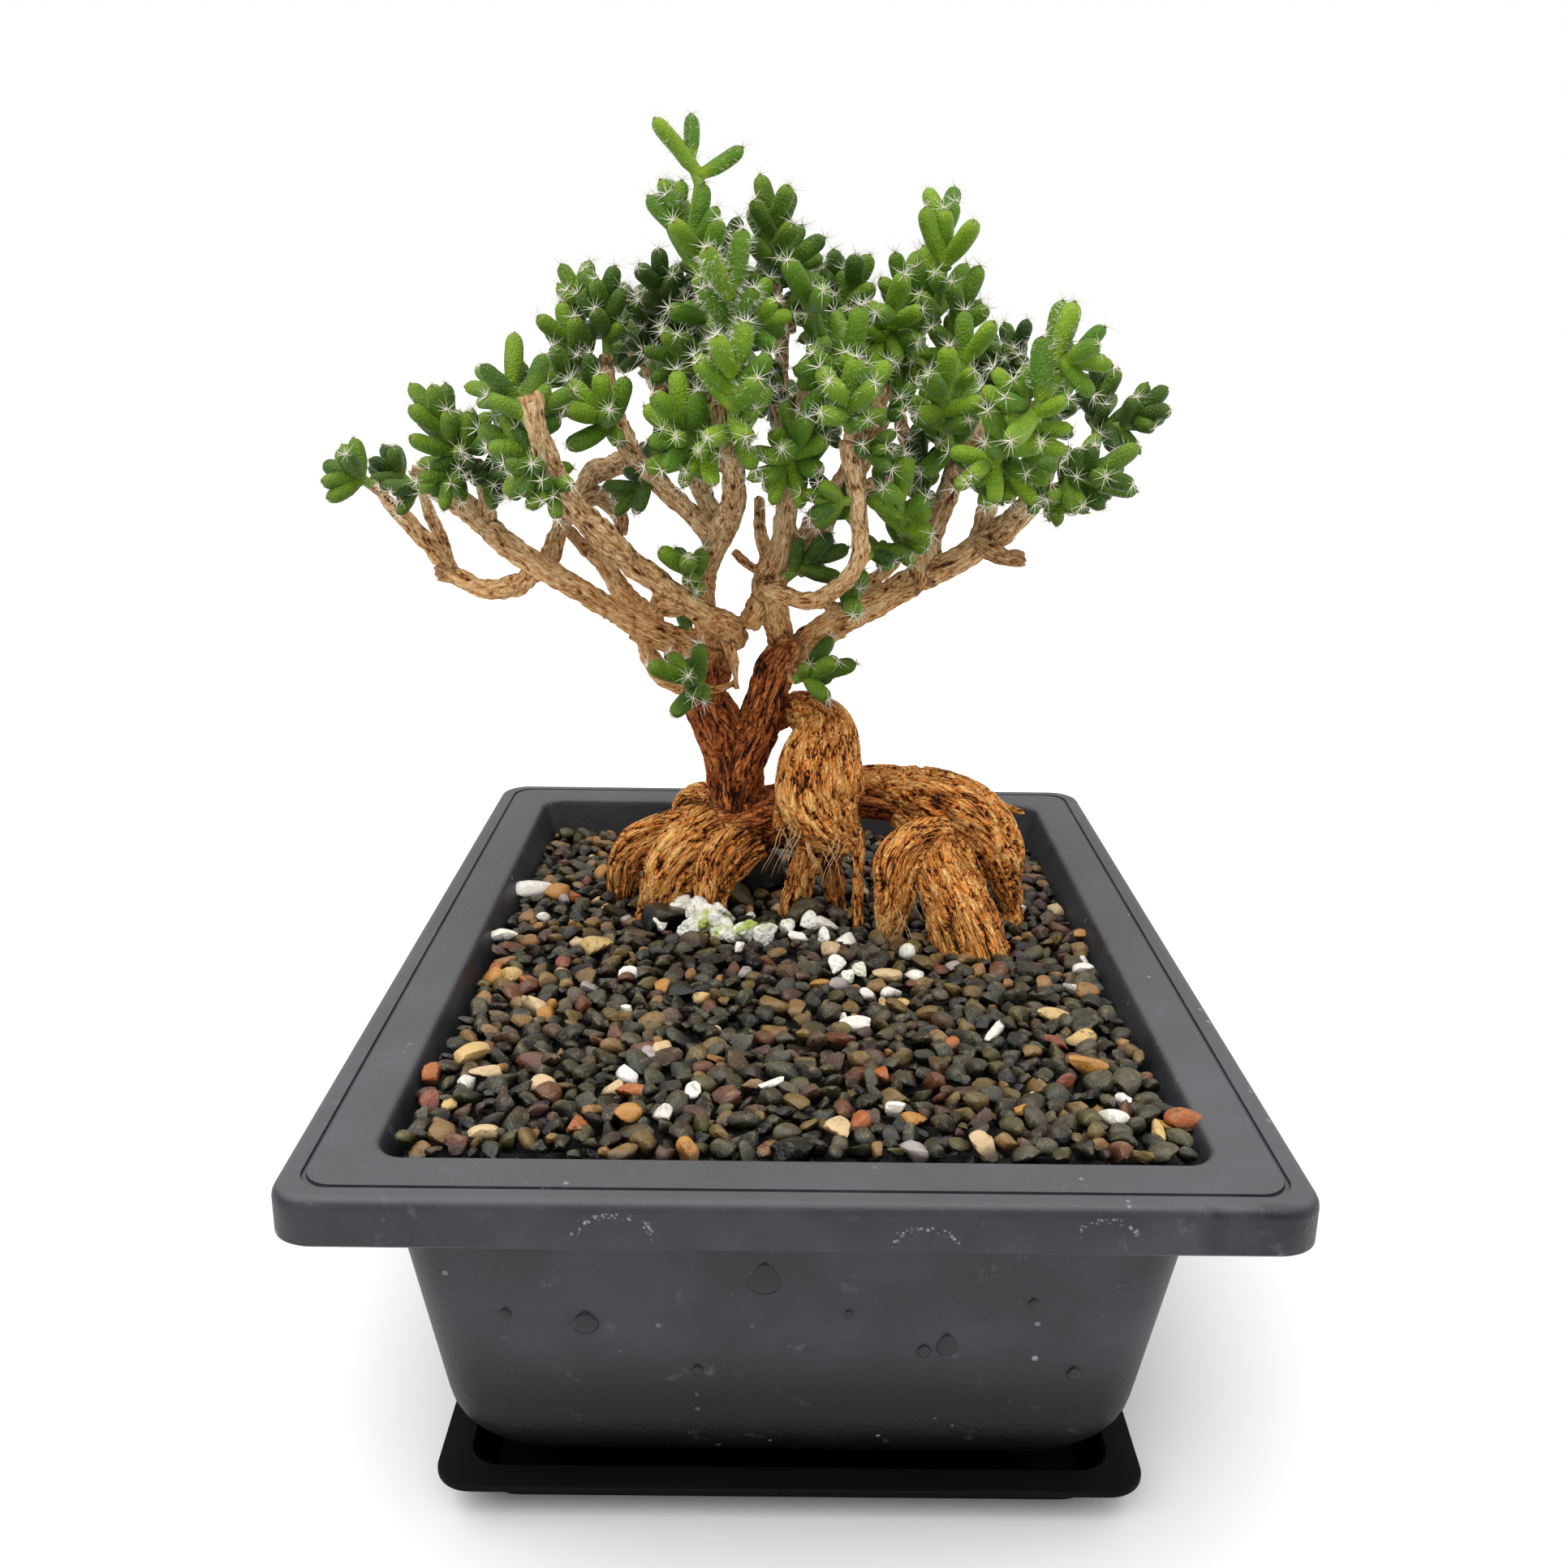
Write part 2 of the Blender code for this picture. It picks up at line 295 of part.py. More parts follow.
def stacked(rings, capped=True):
    """Points and faces of a skin over rings of equal length. A ring of one point closes that end."""
    points, faces, starts = [], [], []
    for ring in rings:
        starts.append(len(points))
        points.extend(ring)
    for i in range(len(rings) - 1):
        a, b, size_a, size_b = starts[i], starts[i + 1], len(rings[i]), len(rings[i + 1])
        for k in range(max(size_a, size_b)):
            j = (k + 1) % max(size_a, size_b)
            if size_a == 1:
                faces.append((a, b + j, b + k))
            elif size_b == 1:
                faces.append((a + k, a + j, b))
            else:
                faces.append((a + k, a + j, b + j, b + k))
    if capped:
        for start, ring in ((starts[0], rings[0]), (starts[-1], rings[-1])):
            if len(ring) > 2:
                faces.append(tuple(range(start, start + len(ring))))
    return points, faces


def finish(obj, material, sharp=35.0):
    """Gives a finished object its material and smooth shading with sharp edges kept."""
    obj.data.materials.clear()
    obj.data.materials.append(material)
    obj.data.shade_smooth()
    obj.data.set_sharp_from_angle(angle=math.radians(sharp))
    return obj


def applied(obj):
    """Replaces the mesh of an object by its modified one, and drops the modifiers."""
    graph = bpy.context.evaluated_depsgraph_get()
    mesh = bpy.data.meshes.new_from_object(obj.evaluated_get(graph))
    obj.modifiers.clear()
    obj.data = mesh
    return obj


def largest_body(obj):
    """Keeps the largest connected shell, so that loose scraps go and sealed hollows are filled."""
    bm = bmesh.new()
    bm.from_mesh(obj.data)
    bmesh.ops.triangulate(bm, faces=bm.faces)
    bmesh.ops.remove_doubles(bm, verts=bm.verts, dist=1e-7)
    bmesh.ops.dissolve_degenerate(bm, edges=bm.edges, dist=1e-7)
    bmesh.ops.triangulate(bm, faces=bm.faces)
    left, shells = set(bm.verts), []
    while left:
        start = left.pop()
        shell, edge = {start}, [start]
        while edge:
            for link in edge.pop().link_edges:
                for vert in link.verts:
                    if vert in left:
                        left.discard(vert)
                        shell.add(vert)
                        edge.append(vert)
        shells.append(shell)
    keep = max(shells, key=len)
    bmesh.ops.delete(bm, geom=[v for v in bm.verts if v not in keep], context="VERTS")
    bm.to_mesh(obj.data)
    bm.free()
    return obj


def combined(obj, others, operation):
    """One Boolean of an object with a collection of others, which are removed afterwards."""
    group = bpy.data.collections.new("others")
    bpy.context.scene.collection.children.link(group)
    for other in others:
        bpy.context.scene.collection.objects.unlink(other)
        group.objects.link(other)
    boolean = obj.modifiers.new("join", "BOOLEAN")
    boolean.operation, boolean.solver = operation, "MANIFOLD"
    boolean.operand_type, boolean.collection = "COLLECTION", group
    applied(obj)
    for other in others:
        bpy.data.objects.remove(other)
    bpy.data.collections.remove(group)
    return largest_body(obj)


def thinned(obj, share):
    """Drops the small triangles that fusing leaves, down to a share of them all."""
    thin = obj.modifiers.new("thin", "DECIMATE")
    thin.decimate_type, thin.ratio = "COLLAPSE", share
    return largest_body(applied(obj))


def rounded_rectangle(half_x, half_y, radius, z, steps=3):
    """A ring of points round a rectangle with rounded corners."""
    ring = []
    for turn, (sx, sy) in enumerate(((1, 1), (-1, 1), (-1, -1), (1, -1))):
        for k in range(steps + 1):
            angle = math.radians(90 * turn + 90 * k / steps)
            x = sx * (half_x - radius) + radius * math.cos(angle)
            y = sy * (half_y - radius) + radius * math.sin(angle)
            ring.append((x, y, z))
    return ring


def foot_arc(offset, steps=6):
    """Half width, level and corner radius down the rounded foot of the pot, moved inwards by an offset."""
    radius = FOOT_RADIUS - offset
    rows = []
    for k in range(steps + 1):
        angle = math.radians(-7 - 83 * k / steps)
        half = FOOT_HALF + radius * math.cos(angle)
        rows.append((half, FOOT_Z + FOOT_RADIUS + radius * math.sin(angle), RIM_CORNER + (BODY_HALF - half) * 0.35))
    return rows


def pot_inner_half(z):
    """Half width of the inside of the pot, from the top of its foot to the flare below the lip."""
    bend = BODY_HALF - POT_WALL
    if z > RIM_UNDER:
        return bend + (OPENING_HALF - bend) * (z - RIM_UNDER) / (RIM_TOP - LIP_RADIUS - RIM_UNDER)
    return bend - DRAFT * (RIM_UNDER - z)


def build_pot():
    """The pot: one closed skin up the outside, over the rim and down the inside."""
    rows = [(half, z, corner) for half, z, corner in reversed(foot_arc(0.0))]
    rows += [(BODY_HALF, RIM_UNDER, RIM_CORNER)]
    rows += [(RIM_HALF, RIM_UNDER, RIM_CORNER), (RIM_HALF, RIM_TOP - RIM_FILLET, RIM_CORNER)]
    for angle in (45, 90):
        inset = RIM_FILLET * (1 - math.cos(math.radians(angle)))
        rise = RIM_FILLET * (1 - math.sin(math.radians(angle)))
        rows.append((RIM_HALF - inset, RIM_TOP - rise, RIM_CORNER - 0.5 * inset))
    groove = RIM_HALF - GROOVE_IN
    for half, z in ((groove, RIM_TOP), (groove - 0.1, RIM_TOP - GROOVE_DEEP),
                    (groove - GROOVE_WIDTH + 0.1, RIM_TOP - GROOVE_DEEP), (groove - GROOVE_WIDTH, RIM_TOP)):
        rows.append((half, z, 3.6))
    for angle in (90, 45, 0):
        inset = LIP_RADIUS * (1 - math.cos(math.radians(angle)))
        rise = LIP_RADIUS * (1 - math.sin(math.radians(angle)))
        rows.append((OPENING_HALF + inset, RIM_TOP - rise, 4.0))
    rows.append((pot_inner_half(RIM_UNDER), RIM_UNDER, 4.0))
    rows += [(half, z, corner - 1.0) for half, z, corner in foot_arc(POT_WALL)]
    rings = [rounded_rectangle(half, half + POT_LONGER, corner, z) for half, z, corner in rows]
    pot = mesh_object("pot", *stacked(rings))
    drains = []
    for sx in (-1, 1):
        for sy in (-1, 1):
            at = Vector((sx * DRAIN_X, sy * DRAIN_Y, 0))
            drains.append(mesh_object("drain", *prism(at, DRAIN_RADIUS, FOOT_Z - 2, FOOT_Z + POT_WALL + 2, 12)))
    combined(pot, drains, "DIFFERENCE")
    return finish(pot, material_for("pot", (0.030, 0.033, 0.040), 0.55))


def prism(at, radius, low, high, sides):
    """An upright prism round a point."""
    rings = []
    for z in (low, high):
        rings.append([(at[0] + radius * math.cos(math.tau * k / sides),
                       at[1] + radius * math.sin(math.tau * k / sides), z) for k in range(sides)])
    return stacked(rings)


def build_tray():
    """The drip tray: a shallow dish with a narrow flat flange."""
    inner_top = TRAY_HALF - TRAY_FLANGE
    inner_base = TRAY_BASE_HALF - 1.6
    rows = [
        (TRAY_BASE_HALF - 1.0, 0.0, 5.0), (TRAY_BASE_HALF, 0.6, 5.2),
        (inner_top + 0.9, TRAY_TOP - TRAY_FLANGE_THICK, 4.6),
        (TRAY_HALF, TRAY_TOP - TRAY_FLANGE_THICK, TRAY_CORNER), (TRAY_HALF, TRAY_TOP - 0.3, TRAY_CORNER),
        (TRAY_HALF - 0.3, TRAY_TOP, TRAY_CORNER), (inner_top + 0.2, TRAY_TOP, 4.4), (inner_top, TRAY_TOP - 0.4, 4.3),
        (inner_base, TRAY_FLOOR + 0.8, 4.3), (inner_base - 0.8, TRAY_FLOOR, 4.0),
    ]
    rings = [rounded_rectangle(half, half + TRAY_LONGER, corner, z) for half, z, corner in rows]
    tray = mesh_object("tray", *stacked(rings))
    return finish(tray, material_for("tray", (0.012, 0.013, 0.016), 0.42))


def build_soil():
    """The hidden soil that fills the pot under the gravel."""
    rows = [(half, z, corner - 1.0) for half, z, corner in foot_arc(POT_WALL + GAP, 4)]
    rows.insert(0, (pot_inner_half(SOIL_TOP) - GAP, SOIL_TOP, 4.0))
    rings = [rounded_rectangle(half, half + POT_LONGER, corner, z) for half, z, corner in rows]
    soil = mesh_object("soil", *stacked(rings))
    return finish(soil, material_for("soil", (0.045, 0.028, 0.018), 0.95))


def gravel_level(x, y):
    """Height of the gravel without its pebbles: a slight fall to the back and a mound under the roots."""
    apart = (x - MOUND_AT[0]) ** 2 + (y - MOUND_AT[1]) ** 2
    return GRAVEL_MIDDLE - GRAVEL_SLOPE * y + MOUND_HEIGHT * math.exp(-apart / MOUND_REACH**2)


def build_gravel(root_cutters):
    """The gravel: a slab with a relief of large pebbles, with a pocket for the pumice and a hole for each root."""
    rng = random.Random(SEED)
    side = PEBBLE_PITCH / math.sqrt(3)
    half_x = pot_inner_half(GRAVEL_MIDDLE) - GRAVEL_INSET
    half_y = half_x + POT_LONGER
    rim, outline = [], []
    corners = rounded_rectangle(half_x, half_y, 4.4, 0.0)
    for k, here in enumerate(corners):
        there = corners[(k + 1) % len(corners)]
        count = max(1, round(math.dist(here, there) / (1.7 * side)))
        for i in range(count):
            x, y = (here[j] + (there[j] - here[j]) * i / count for j in (0, 1))
            top = gravel_level(x, y) - 0.1
            wider = pot_inner_half(top) - GRAVEL_INSET - half_x
            outline.append((x / half_x, y / half_y))
            rim.append((x + wider * x / half_x, y + wider * y / half_y, top))
    inside = []
    rows = int(half_y / (side * math.sqrt(3) / 2)) + 1
    for b in range(-rows, rows + 1):
        for a in range(-60, 61):
            x, y = side * (a + b / 2), side * b * math.sqrt(3) / 2
            if abs(x) > half_x - 0.45 * side or abs(y) > half_y - 0.45 * side:
                continue
            top = gravel_level(x, y) + rng.uniform(-0.25, 0.25)
            if (a - b) % 3 == 0:
                top += PEBBLE_HEIGHT * rng.uniform(0.6, 1.25)
            shift = 0.16 * side
            inside.append((x + rng.uniform(-shift, shift), y + rng.uniform(-shift, shift), top))
    flat = [Vector(p[:2]) for p in rim + inside]
    loop = [(k, (k + 1) % len(rim)) for k in range(len(rim))]
    made = delaunay_2d_cdt(flat, loop, [], 1, 1e-6)
    top = [(v.x, v.y, (rim + inside)[made[3][i][0]][2]) for i, v in enumerate(made[0])]
    faces = [tuple(face) for face in made[2]]
    at_rim = [next(i for i, old in enumerate(made[3]) if k in old) for k in range(len(rim))]
    rings = [at_rim]
    for z in (GRAVEL_BEND, GRAVEL_BOTTOM):
        half = pot_inner_half(z) - GRAVEL_INSET
        rings.append(range(len(top), len(top) + len(rim)))
        top += [(x * half, y * (half + POT_LONGER), z) for x, y in outline]
    for upper, lower in zip(rings, rings[1:]):
        for k in range(len(rim)):
            j = (k + 1) % len(rim)
            faces.append((upper[k], upper[j], lower[j], lower[k]))
    faces.append(tuple(rings[-1]))
    gravel = mesh_object("gravel", top, faces)
    pockets = [mesh_object("pocket", *prism((x, y), r + 0.5, PUMICE_FLOOR - GAP, PUMICE_FLOOR + 9, 8)) for x, y, r in PUMICE]
    combined(gravel, pockets + root_cutters, "DIFFERENCE")
    thinned(gravel, GRAVEL_SHARE)
    return finish(gravel, material_for("gravel", (0.075, 0.070, 0.058), 0.6), 20)


def build_pumice(root_cutters):
    """Pale pumice lumps that touch one another, with flat undersides in the pocket of the gravel."""
    rng = random.Random(SEED + 1)
    lumps = []
    for x, y, radius in PUMICE:
        rings = []
        for height, share in ((0.0, 0.86), (0.55, 1.0), (1.25, 0.62)):
            turn = rng.uniform(0, 1)
            rings.append([(x + radius * share * rng.uniform(0.86, 1) * math.cos(turn + math.tau * k / 6),
                           y + radius * share * rng.uniform(0.86, 1) * math.sin(turn + math.tau * k / 6),
                           PUMICE_FLOOR + height * radius * (1 if height == 0 else rng.uniform(0.85, 1.1)))
                          for k in range(6)])
        lumps.append(mesh_object("lump", *stacked(rings)))
    pumice = lumps[0]
    pumice.name = "pumice"
    combined(pumice, lumps[1:], "UNION")
    combined(pumice, root_cutters, "DIFFERENCE")
    thinned(pumice, PUMICE_SHARE)
    return finish(pumice, material_for("pumice", (0.62, 0.60, 0.50), 0.9), 20)


def frames_along(path):
    """A direction and two side vectors at each point of a path, without twist from one point to the next."""
    tangents = []
    for i in range(len(path)):
        step = path[min(i + 1, len(path) - 1)] - path[max(i - 1, 0)]
        tangents.append(step.normalized())
    side = tangents[0].orthogonal().normalized()
    frames = []
    for tangent in tangents:
        side = (side - tangent * side.dot(tangent)).normalized()
        frames.append((tangent, side, tangent.cross(side)))
    return frames


def tube(points, sides, flute=0.0, grow=0.0):
    """A round member through points (x, y, z, radius), with ridges along it when fluted."""
    path = [Vector(p[:3]) for p in points]
    frames = frames_along(path)
    if grow:
        path[0], path[-1] = path[0] - frames[0][0] * grow, path[-1] + frames[-1][0] * grow
    rings = []
    for at, (_, u, v), (*_, radius) in zip(path, frames, points):
        ring = []
        for k in range(sides):
            angle = math.tau * k / sides
            reach = radius * (1 + flute * math.cos(3 * angle + 0.6)) + grow
            ring.append(at + (u * math.cos(angle) + v * math.sin(angle)) * reach)
        rings.append(ring)
    return stacked(rings)


def root_tubes(grow=0.0):
    """Every root and part of the trunk as an object of its own."""
    return [mesh_object(name, *tube(points, ROOT_SIDES if points[0][3] > 1.2 else THIN_SIDES, ROOT_FLUTE, grow))
            for name, points in ROOTS.items()]


class Wood:
    """Centre lines of everything woody, used to aim the twigs and to keep the leaves clear."""

    def __init__(self):
        self.segments = []
        self.limbs = []
        for table in (ROOTS, LIMBS):
            for points in table.values():
                for here, there in zip(points, points[1:]):
                    self.add(here[:3], there[:3], max(here[3], there[3]))
        for points in LIMBS.values():
            for here, there in zip(points, points[1:]):
                for k in range(3):
                    share = k / 2
                    self.limbs.append(([here[j] + (there[j] - here[j]) * share for j in range(4)],
                                       [there[j] - here[j] for j in range(3)]))

    def add(self, start, end, radius):
        """Adds one straight piece."""
        self.segments.append((tuple(start), tuple(end), radius))

    def nearest(self, at):
        """The point (x, y, z, radius) on a branch that is nearest to a place, and the way the branch runs there."""
        return min(self.limbs, key=lambda row: (Vector(row[0][:3]) - at).length)


def clearance(start, end, radius, segments):
    """Free space between one round bar and a list of others, by the nearest points of their centre lines."""
    if not segments:
        return 1e9
    p, q = np.array(start, float), np.array(end, float)
    starts = np.array([s[0] for s in segments], float)
    ends = np.array([s[1] for s in segments], float)
    radii = np.array([s[2] for s in segments], float)
    d1, d2, r = q - p, ends - starts, p - starts
    a, e = max(float(d1 @ d1), 1e-9), np.maximum((d2 * d2).sum(1), 1e-9)
    b, c, f = d2 @ d1, r @ d1, (d2 * r).sum(1)
    bottom = a * e - b * b
    s = np.where(bottom > 1e-9, np.clip((b * f - c * e) / np.where(bottom > 1e-9, bottom, 1), 0, 1), 0.0)
    t = np.clip((b * s + f) / e, 0, 1)
    s = np.clip((b * t - c) / a, 0, 1)
    apart = np.linalg.norm(p + s[:, None] * d1 - starts - t[:, None] * d2, axis=1)
    return float((apart - radii - radius).min())


def spray_base(name, wood):
    """Where a spray leaves its twig: clear of the branches, with the direction it leaves in."""
    path = SPRAYS[name][0][0]
    base = Vector(path[0])
    axis = (Vector(path[1]) - base).normalized()
    limb_segments = wood.segments
    for _ in range(12):
        if clearance(base, base + axis * 0.5, 1.2, limb_segments) >= 0:
            break
        base = base + axis * 0.4
    return base, axis


def twig_points(base, axis, wood):
    """A bent twig from inside the nearest branch to the base of a spray."""
    (x, y, z, radius), run = wood.nearest(base)
    start, last = Vector((x, y, z)), base - axis * (TWIG_GAP / 2)
    end = last - axis * 0.8
    reach = (end - start).length
    first = start + (Vector(run).normalized() * 0.35 + (end - start).normalized() * 0.65) * reach * 0.35
    second = end - axis * reach * 0.35
    wide = min(radius * 0.8, TWIG_RADIUS * 1.25)
    points = []
    for share in (0.0, 0.5, 1.0) if reach > 3.5 else (0.0, 1.0):
        other = 1 - share
        at = start * other**3 + first * 3 * other**2 * share + second * 3 * other * share**2 + end * share**3
        points.append((*at, wide + (TWIG_RADIUS - wide) * share))
    return points + [(*last, TWIG_RADIUS)]


def stem_path(points, base, axis, first):
    """Path of one green stem. The first stem starts at the base; others of the base start inside it."""
    rest = [Vector(p) for p in points[1:]]
    if points[0] != first[0]:
        return [Vector(points[0])] + rest
    start = base + axis * (TWIG_GAP / 2)
    path = [start, start + axis * 1.3] if points is first else [start + axis * 1.2]
    for at in rest:
        if (at - path[-1]).length > 1.2:
            path.append(at)
    return path


def along(path, distance):
    """The point at a distance along a path, and the direction there."""
    for here, there in zip(path, path[1:]):
        step = (there - here).length
        if distance <= step or there is path[-1]:
            share = min(distance / step, 1.0)
            return here + (there - here) * share, (there - here).normalized()
        distance -= step


def leaf_line(root, axis, azimuth, spread, length):
    """Three points along the middle of a leaf that leaves a stem and curves up towards its tip."""
    side = axis.orthogonal().normalized()
    out = side * math.cos(azimuth) + axis.cross(side) * math.sin(azimuth)
    way = axis * math.cos(spread) + out * math.sin(spread)
    rise = (axis - way * axis.dot(way)) * 0.10 * length
    return [root, root + way * length * 0.5 + rise * 0.1, root + way * length * 0.97 + rise]


def leaf_bars(line, thickness):
    """The stout part of a leaf as two straight bars, for the clearance test."""
    radius = thickness / 2
    neck = line[0] + (line[1] - line[0]) * 0.5
    shoulder = line[2] - (line[2] - line[1]).normalized() * radius * 0.7
    return [(tuple(neck), tuple(line[1]), radius), (tuple(line[1]), tuple(shoulder), radius)]


def leaf_rings(line, thickness):
    """Rings of one leaf: a blunt spindle on a curved line."""
    radius = thickness / 2
    neck = line[0] * 0.45 + line[1] * 0.55
    shoulder = line[1] * 0.45 + line[2] * 0.55
    frames = frames_along([line[0], neck, shoulder, line[2]])
    rings = [[line[0]]]
    for at, (_, u, v), share in ((neck, frames[1], 0.96), (shoulder, frames[2], 0.98)):
        rings.append([at + (u * math.cos(math.tau * k / LEAF_SIDES) + v * math.sin(math.tau * k / LEAF_SIDES))
                      * radius * share for k in range(LEAF_SIDES)])
    rings.append([line[2]])
    return rings


TRIES = [(0, 0, 1), (15, 0, 1), (-15, 0, 1), (30, 0, 1), (-30, 0, 1), (0, 12, 1), (0, -14, 1), (0, -8, 0.86),
         (20, -14, 0.86), (-20, -14, 0.86), (0, -20, 0.72), (38, -22, 0.72), (-38, -22, 0.72)]


def grow_sprays():
    """Twigs, stems and leaves of every spray. Young sprays choose their place first, and a leaf that finds no clear
    place within a few tries is left out."""
    wood = Wood()
    bases = {name: spray_base(name, wood) for name in SPRAYS}
    twigs = {name: twig_points(*bases[name], wood) for name in SPRAYS}
    for points in twigs.values():
        for here, there in zip(points, points[1:]):
            wood.add(here[:3], there[:3], TWIG_RADIUS)
    stems = {}
    for name, rows in SPRAYS.items():
        stems[name] = [stem_path(row[0], *bases[name], rows[0][0]) for row in rows]
    stem_bars = {name: [(tuple(a), tuple(b), STEM_RADIUS) for path in paths for a, b in zip(path, path[1:])]
                 for name, paths in stems.items()}
    leaf_bars_of = {name: [] for name in SPRAYS}
    leaves = {name: [] for name in SPRAYS}
    for name in sorted(SPRAYS, key=lambda key: -SPRAYS[key][0][5]):
        rng = random.Random(f"{SEED} {name}")
        others = list(wood.segments)
        for other in SPRAYS:
            if other != name:
                others += stem_bars[other] + leaf_bars_of[other]
        for (_, pairs, twist, length, spread, kind), path in zip(SPRAYS[name], stems[name]):
            whole = sum((b - a).length for a, b in zip(path, path[1:])) - LAST_PAIR
            low = min(FIRST_PAIR, whole * 0.6)
            for i in range(pairs):
                share = 1.0 if pairs == 1 else i / (pairs - 1)
                root, way = along(path, low + (whole - low) * share if pairs > 1 else whole)
                for half in (0, 1):
                    azimuth = twist + 90 * i + 180 * half + rng.uniform(-12, 12)
                    lean = spread * (1.0 - 0.5 * share * (pairs > 1)) + rng.uniform(-5, 5)
                    long = length * (1.0 - 0.14 * share * (pairs > 2)) * rng.uniform(0.92, 1.08)
                    for turn, tilt, scale in TRIES:
                        line = leaf_line(root, way, math.radians(azimuth + turn), math.radians(lean + tilt), long * scale)
                        bars = leaf_bars(line, kind)
                        if min(clearance(*bar, others) for bar in bars) >= GAP:
                            leaf_bars_of[name] += bars
                            leaves[name].append((line, kind))
                            break
    return twigs, stems, leaves


def build_wood(twigs):
    """Roots, trunk, branches and twigs as one body."""
    pieces = root_tubes()
    for name, points in LIMBS.items():
        sides = LIMB_SIDES if max(p[3] for p in points) > 1.7 else THIN_SIDES
        pieces.append(mesh_object(name, *tube(points, sides)))
    for name, points in twigs.items():
        pieces.append(mesh_object(name, *tube(points, TWIG_SIDES)))
    wood = pieces[0]
    wood.name = "wood"
    combined(wood, pieces[1:], "UNION")
    thinned(wood, WOOD_SHARE)
    return finish(wood, material_for("wood", (0.22, 0.125, 0.065), 0.85), 50)


def build_spray(name, paths, leaves):
    """One spray: its green stems with the leaves' roots sunk into them."""
    pieces = []
    for path in paths:
        count = len(path) - 1
        points = [(*at, STEM_RADIUS + (STEM_TIP_RADIUS - STEM_RADIUS) * i / count) for i, at in enumerate(path)]
        pieces.append(mesh_object("stem", *tube(points, STEM_SIDES)))
    for line, thickness in leaves:
        pieces.append(mesh_object("leaf", *stacked(leaf_rings(line, thickness))))
    spray = pieces[0]
    spray.name = "spray_" + name
    combined(spray, pieces[1:], "UNION")
    thinned(spray, SPRAY_SHARE)
    colour = LEAF_COLOURS[SPRAYS[name][0][5]]
    return finish(spray, material_for("spray_" + name, colour, 0.45), 50)


def main():
    for obj in list(bpy.data.objects):
        bpy.data.objects.remove(obj)
    twigs, stems, leaves = grow_sprays()
    build_tray()
    build_pot()
    build_soil()
    build_gravel(root_tubes(ROOT_CLEARANCE))
    build_pumice(root_tubes(ROOT_CLEARANCE))
    build_wood(twigs)
    for name in SPRAYS:
        build_spray(name, stems[name], leaves[name])


if __name__ == "__main__":
    main()
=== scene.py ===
"""Dressed model of a potted trichodiadema: a small succulent bonsai on exposed roots, in a plastic pot.

Sizes and tables are in millimetres, as in the part's source, and are turned into metres where a mesh is
made. The rim runs along X and Y, Z is up from the ground and the front of the pot faces -Y.
"""

import functools
import logging
import math
import random
from collections.abc import Sequence
from dataclasses import dataclass
from enum import Enum
from typing import Any

import bmesh
import bpy
import numpy as np
from mathutils import Matrix, Vector, noise


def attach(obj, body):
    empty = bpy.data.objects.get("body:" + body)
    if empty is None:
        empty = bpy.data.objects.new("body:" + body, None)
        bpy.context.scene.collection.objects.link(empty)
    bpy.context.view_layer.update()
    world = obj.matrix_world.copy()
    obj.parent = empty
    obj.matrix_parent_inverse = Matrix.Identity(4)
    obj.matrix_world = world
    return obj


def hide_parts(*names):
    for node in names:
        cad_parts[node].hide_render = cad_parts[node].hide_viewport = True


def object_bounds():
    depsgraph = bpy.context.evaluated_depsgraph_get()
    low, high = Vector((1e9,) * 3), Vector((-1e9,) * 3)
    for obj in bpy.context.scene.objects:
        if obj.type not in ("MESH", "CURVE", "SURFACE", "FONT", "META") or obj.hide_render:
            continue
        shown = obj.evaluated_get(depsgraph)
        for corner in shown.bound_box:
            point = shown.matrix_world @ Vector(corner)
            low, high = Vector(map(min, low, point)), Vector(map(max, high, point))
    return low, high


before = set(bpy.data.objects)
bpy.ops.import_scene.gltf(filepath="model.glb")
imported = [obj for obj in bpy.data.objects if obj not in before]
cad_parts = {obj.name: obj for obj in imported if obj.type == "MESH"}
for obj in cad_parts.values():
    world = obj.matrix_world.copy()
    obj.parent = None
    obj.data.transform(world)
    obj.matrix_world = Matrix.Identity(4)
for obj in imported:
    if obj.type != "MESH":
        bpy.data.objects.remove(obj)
CAD_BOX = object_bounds()

MM = 0.001
SEED = 1907
INSIDE = 0.02  # how far every point of a new piece stays inside the box of the solids

GAP = 0.3
ROOT_CLEARANCE = 0.5
TWIG_GAP = 0.5
TWIG_RADIUS, STEM_RADIUS, STEM_TIP_RADIUS = 0.9, 0.9, 0.7
FIRST_PAIR, LAST_PAIR = 2.4, 0.9
ROOT_FLUTE = 0.11

log = logging.getLogger("potted_trichodiadema")

Numbers = tuple[float, ...]
Table = tuple[Numbers, ...]


class Zone(Enum):
    """Kinds of wood, each with the tone that its bark carries as a value on the mesh."""

    ROOT = 0.0
    TRUNK = 0.5
    LIMB = 1.0


class LeafKind(Enum):
    """Kinds of leaf, each with its thickness in millimetres."""

    YOUNG = 3.8
    MID = 3.5
    DARK = 3.3


YOUNG, MID, DARK = LeafKind

# Pumice lumps as (x, y, radius).
PUMICE = [(-19, 14.5, 2.8), (-15.5, 12, 3.2), (-11.8, 12.5, 2.8), (-17.2, 7.5, 2.6), (-13.8, 8.2, 2.8),
          (-10.8, 5.8, 2.8), (-7.4, 5.2, 2.6)]

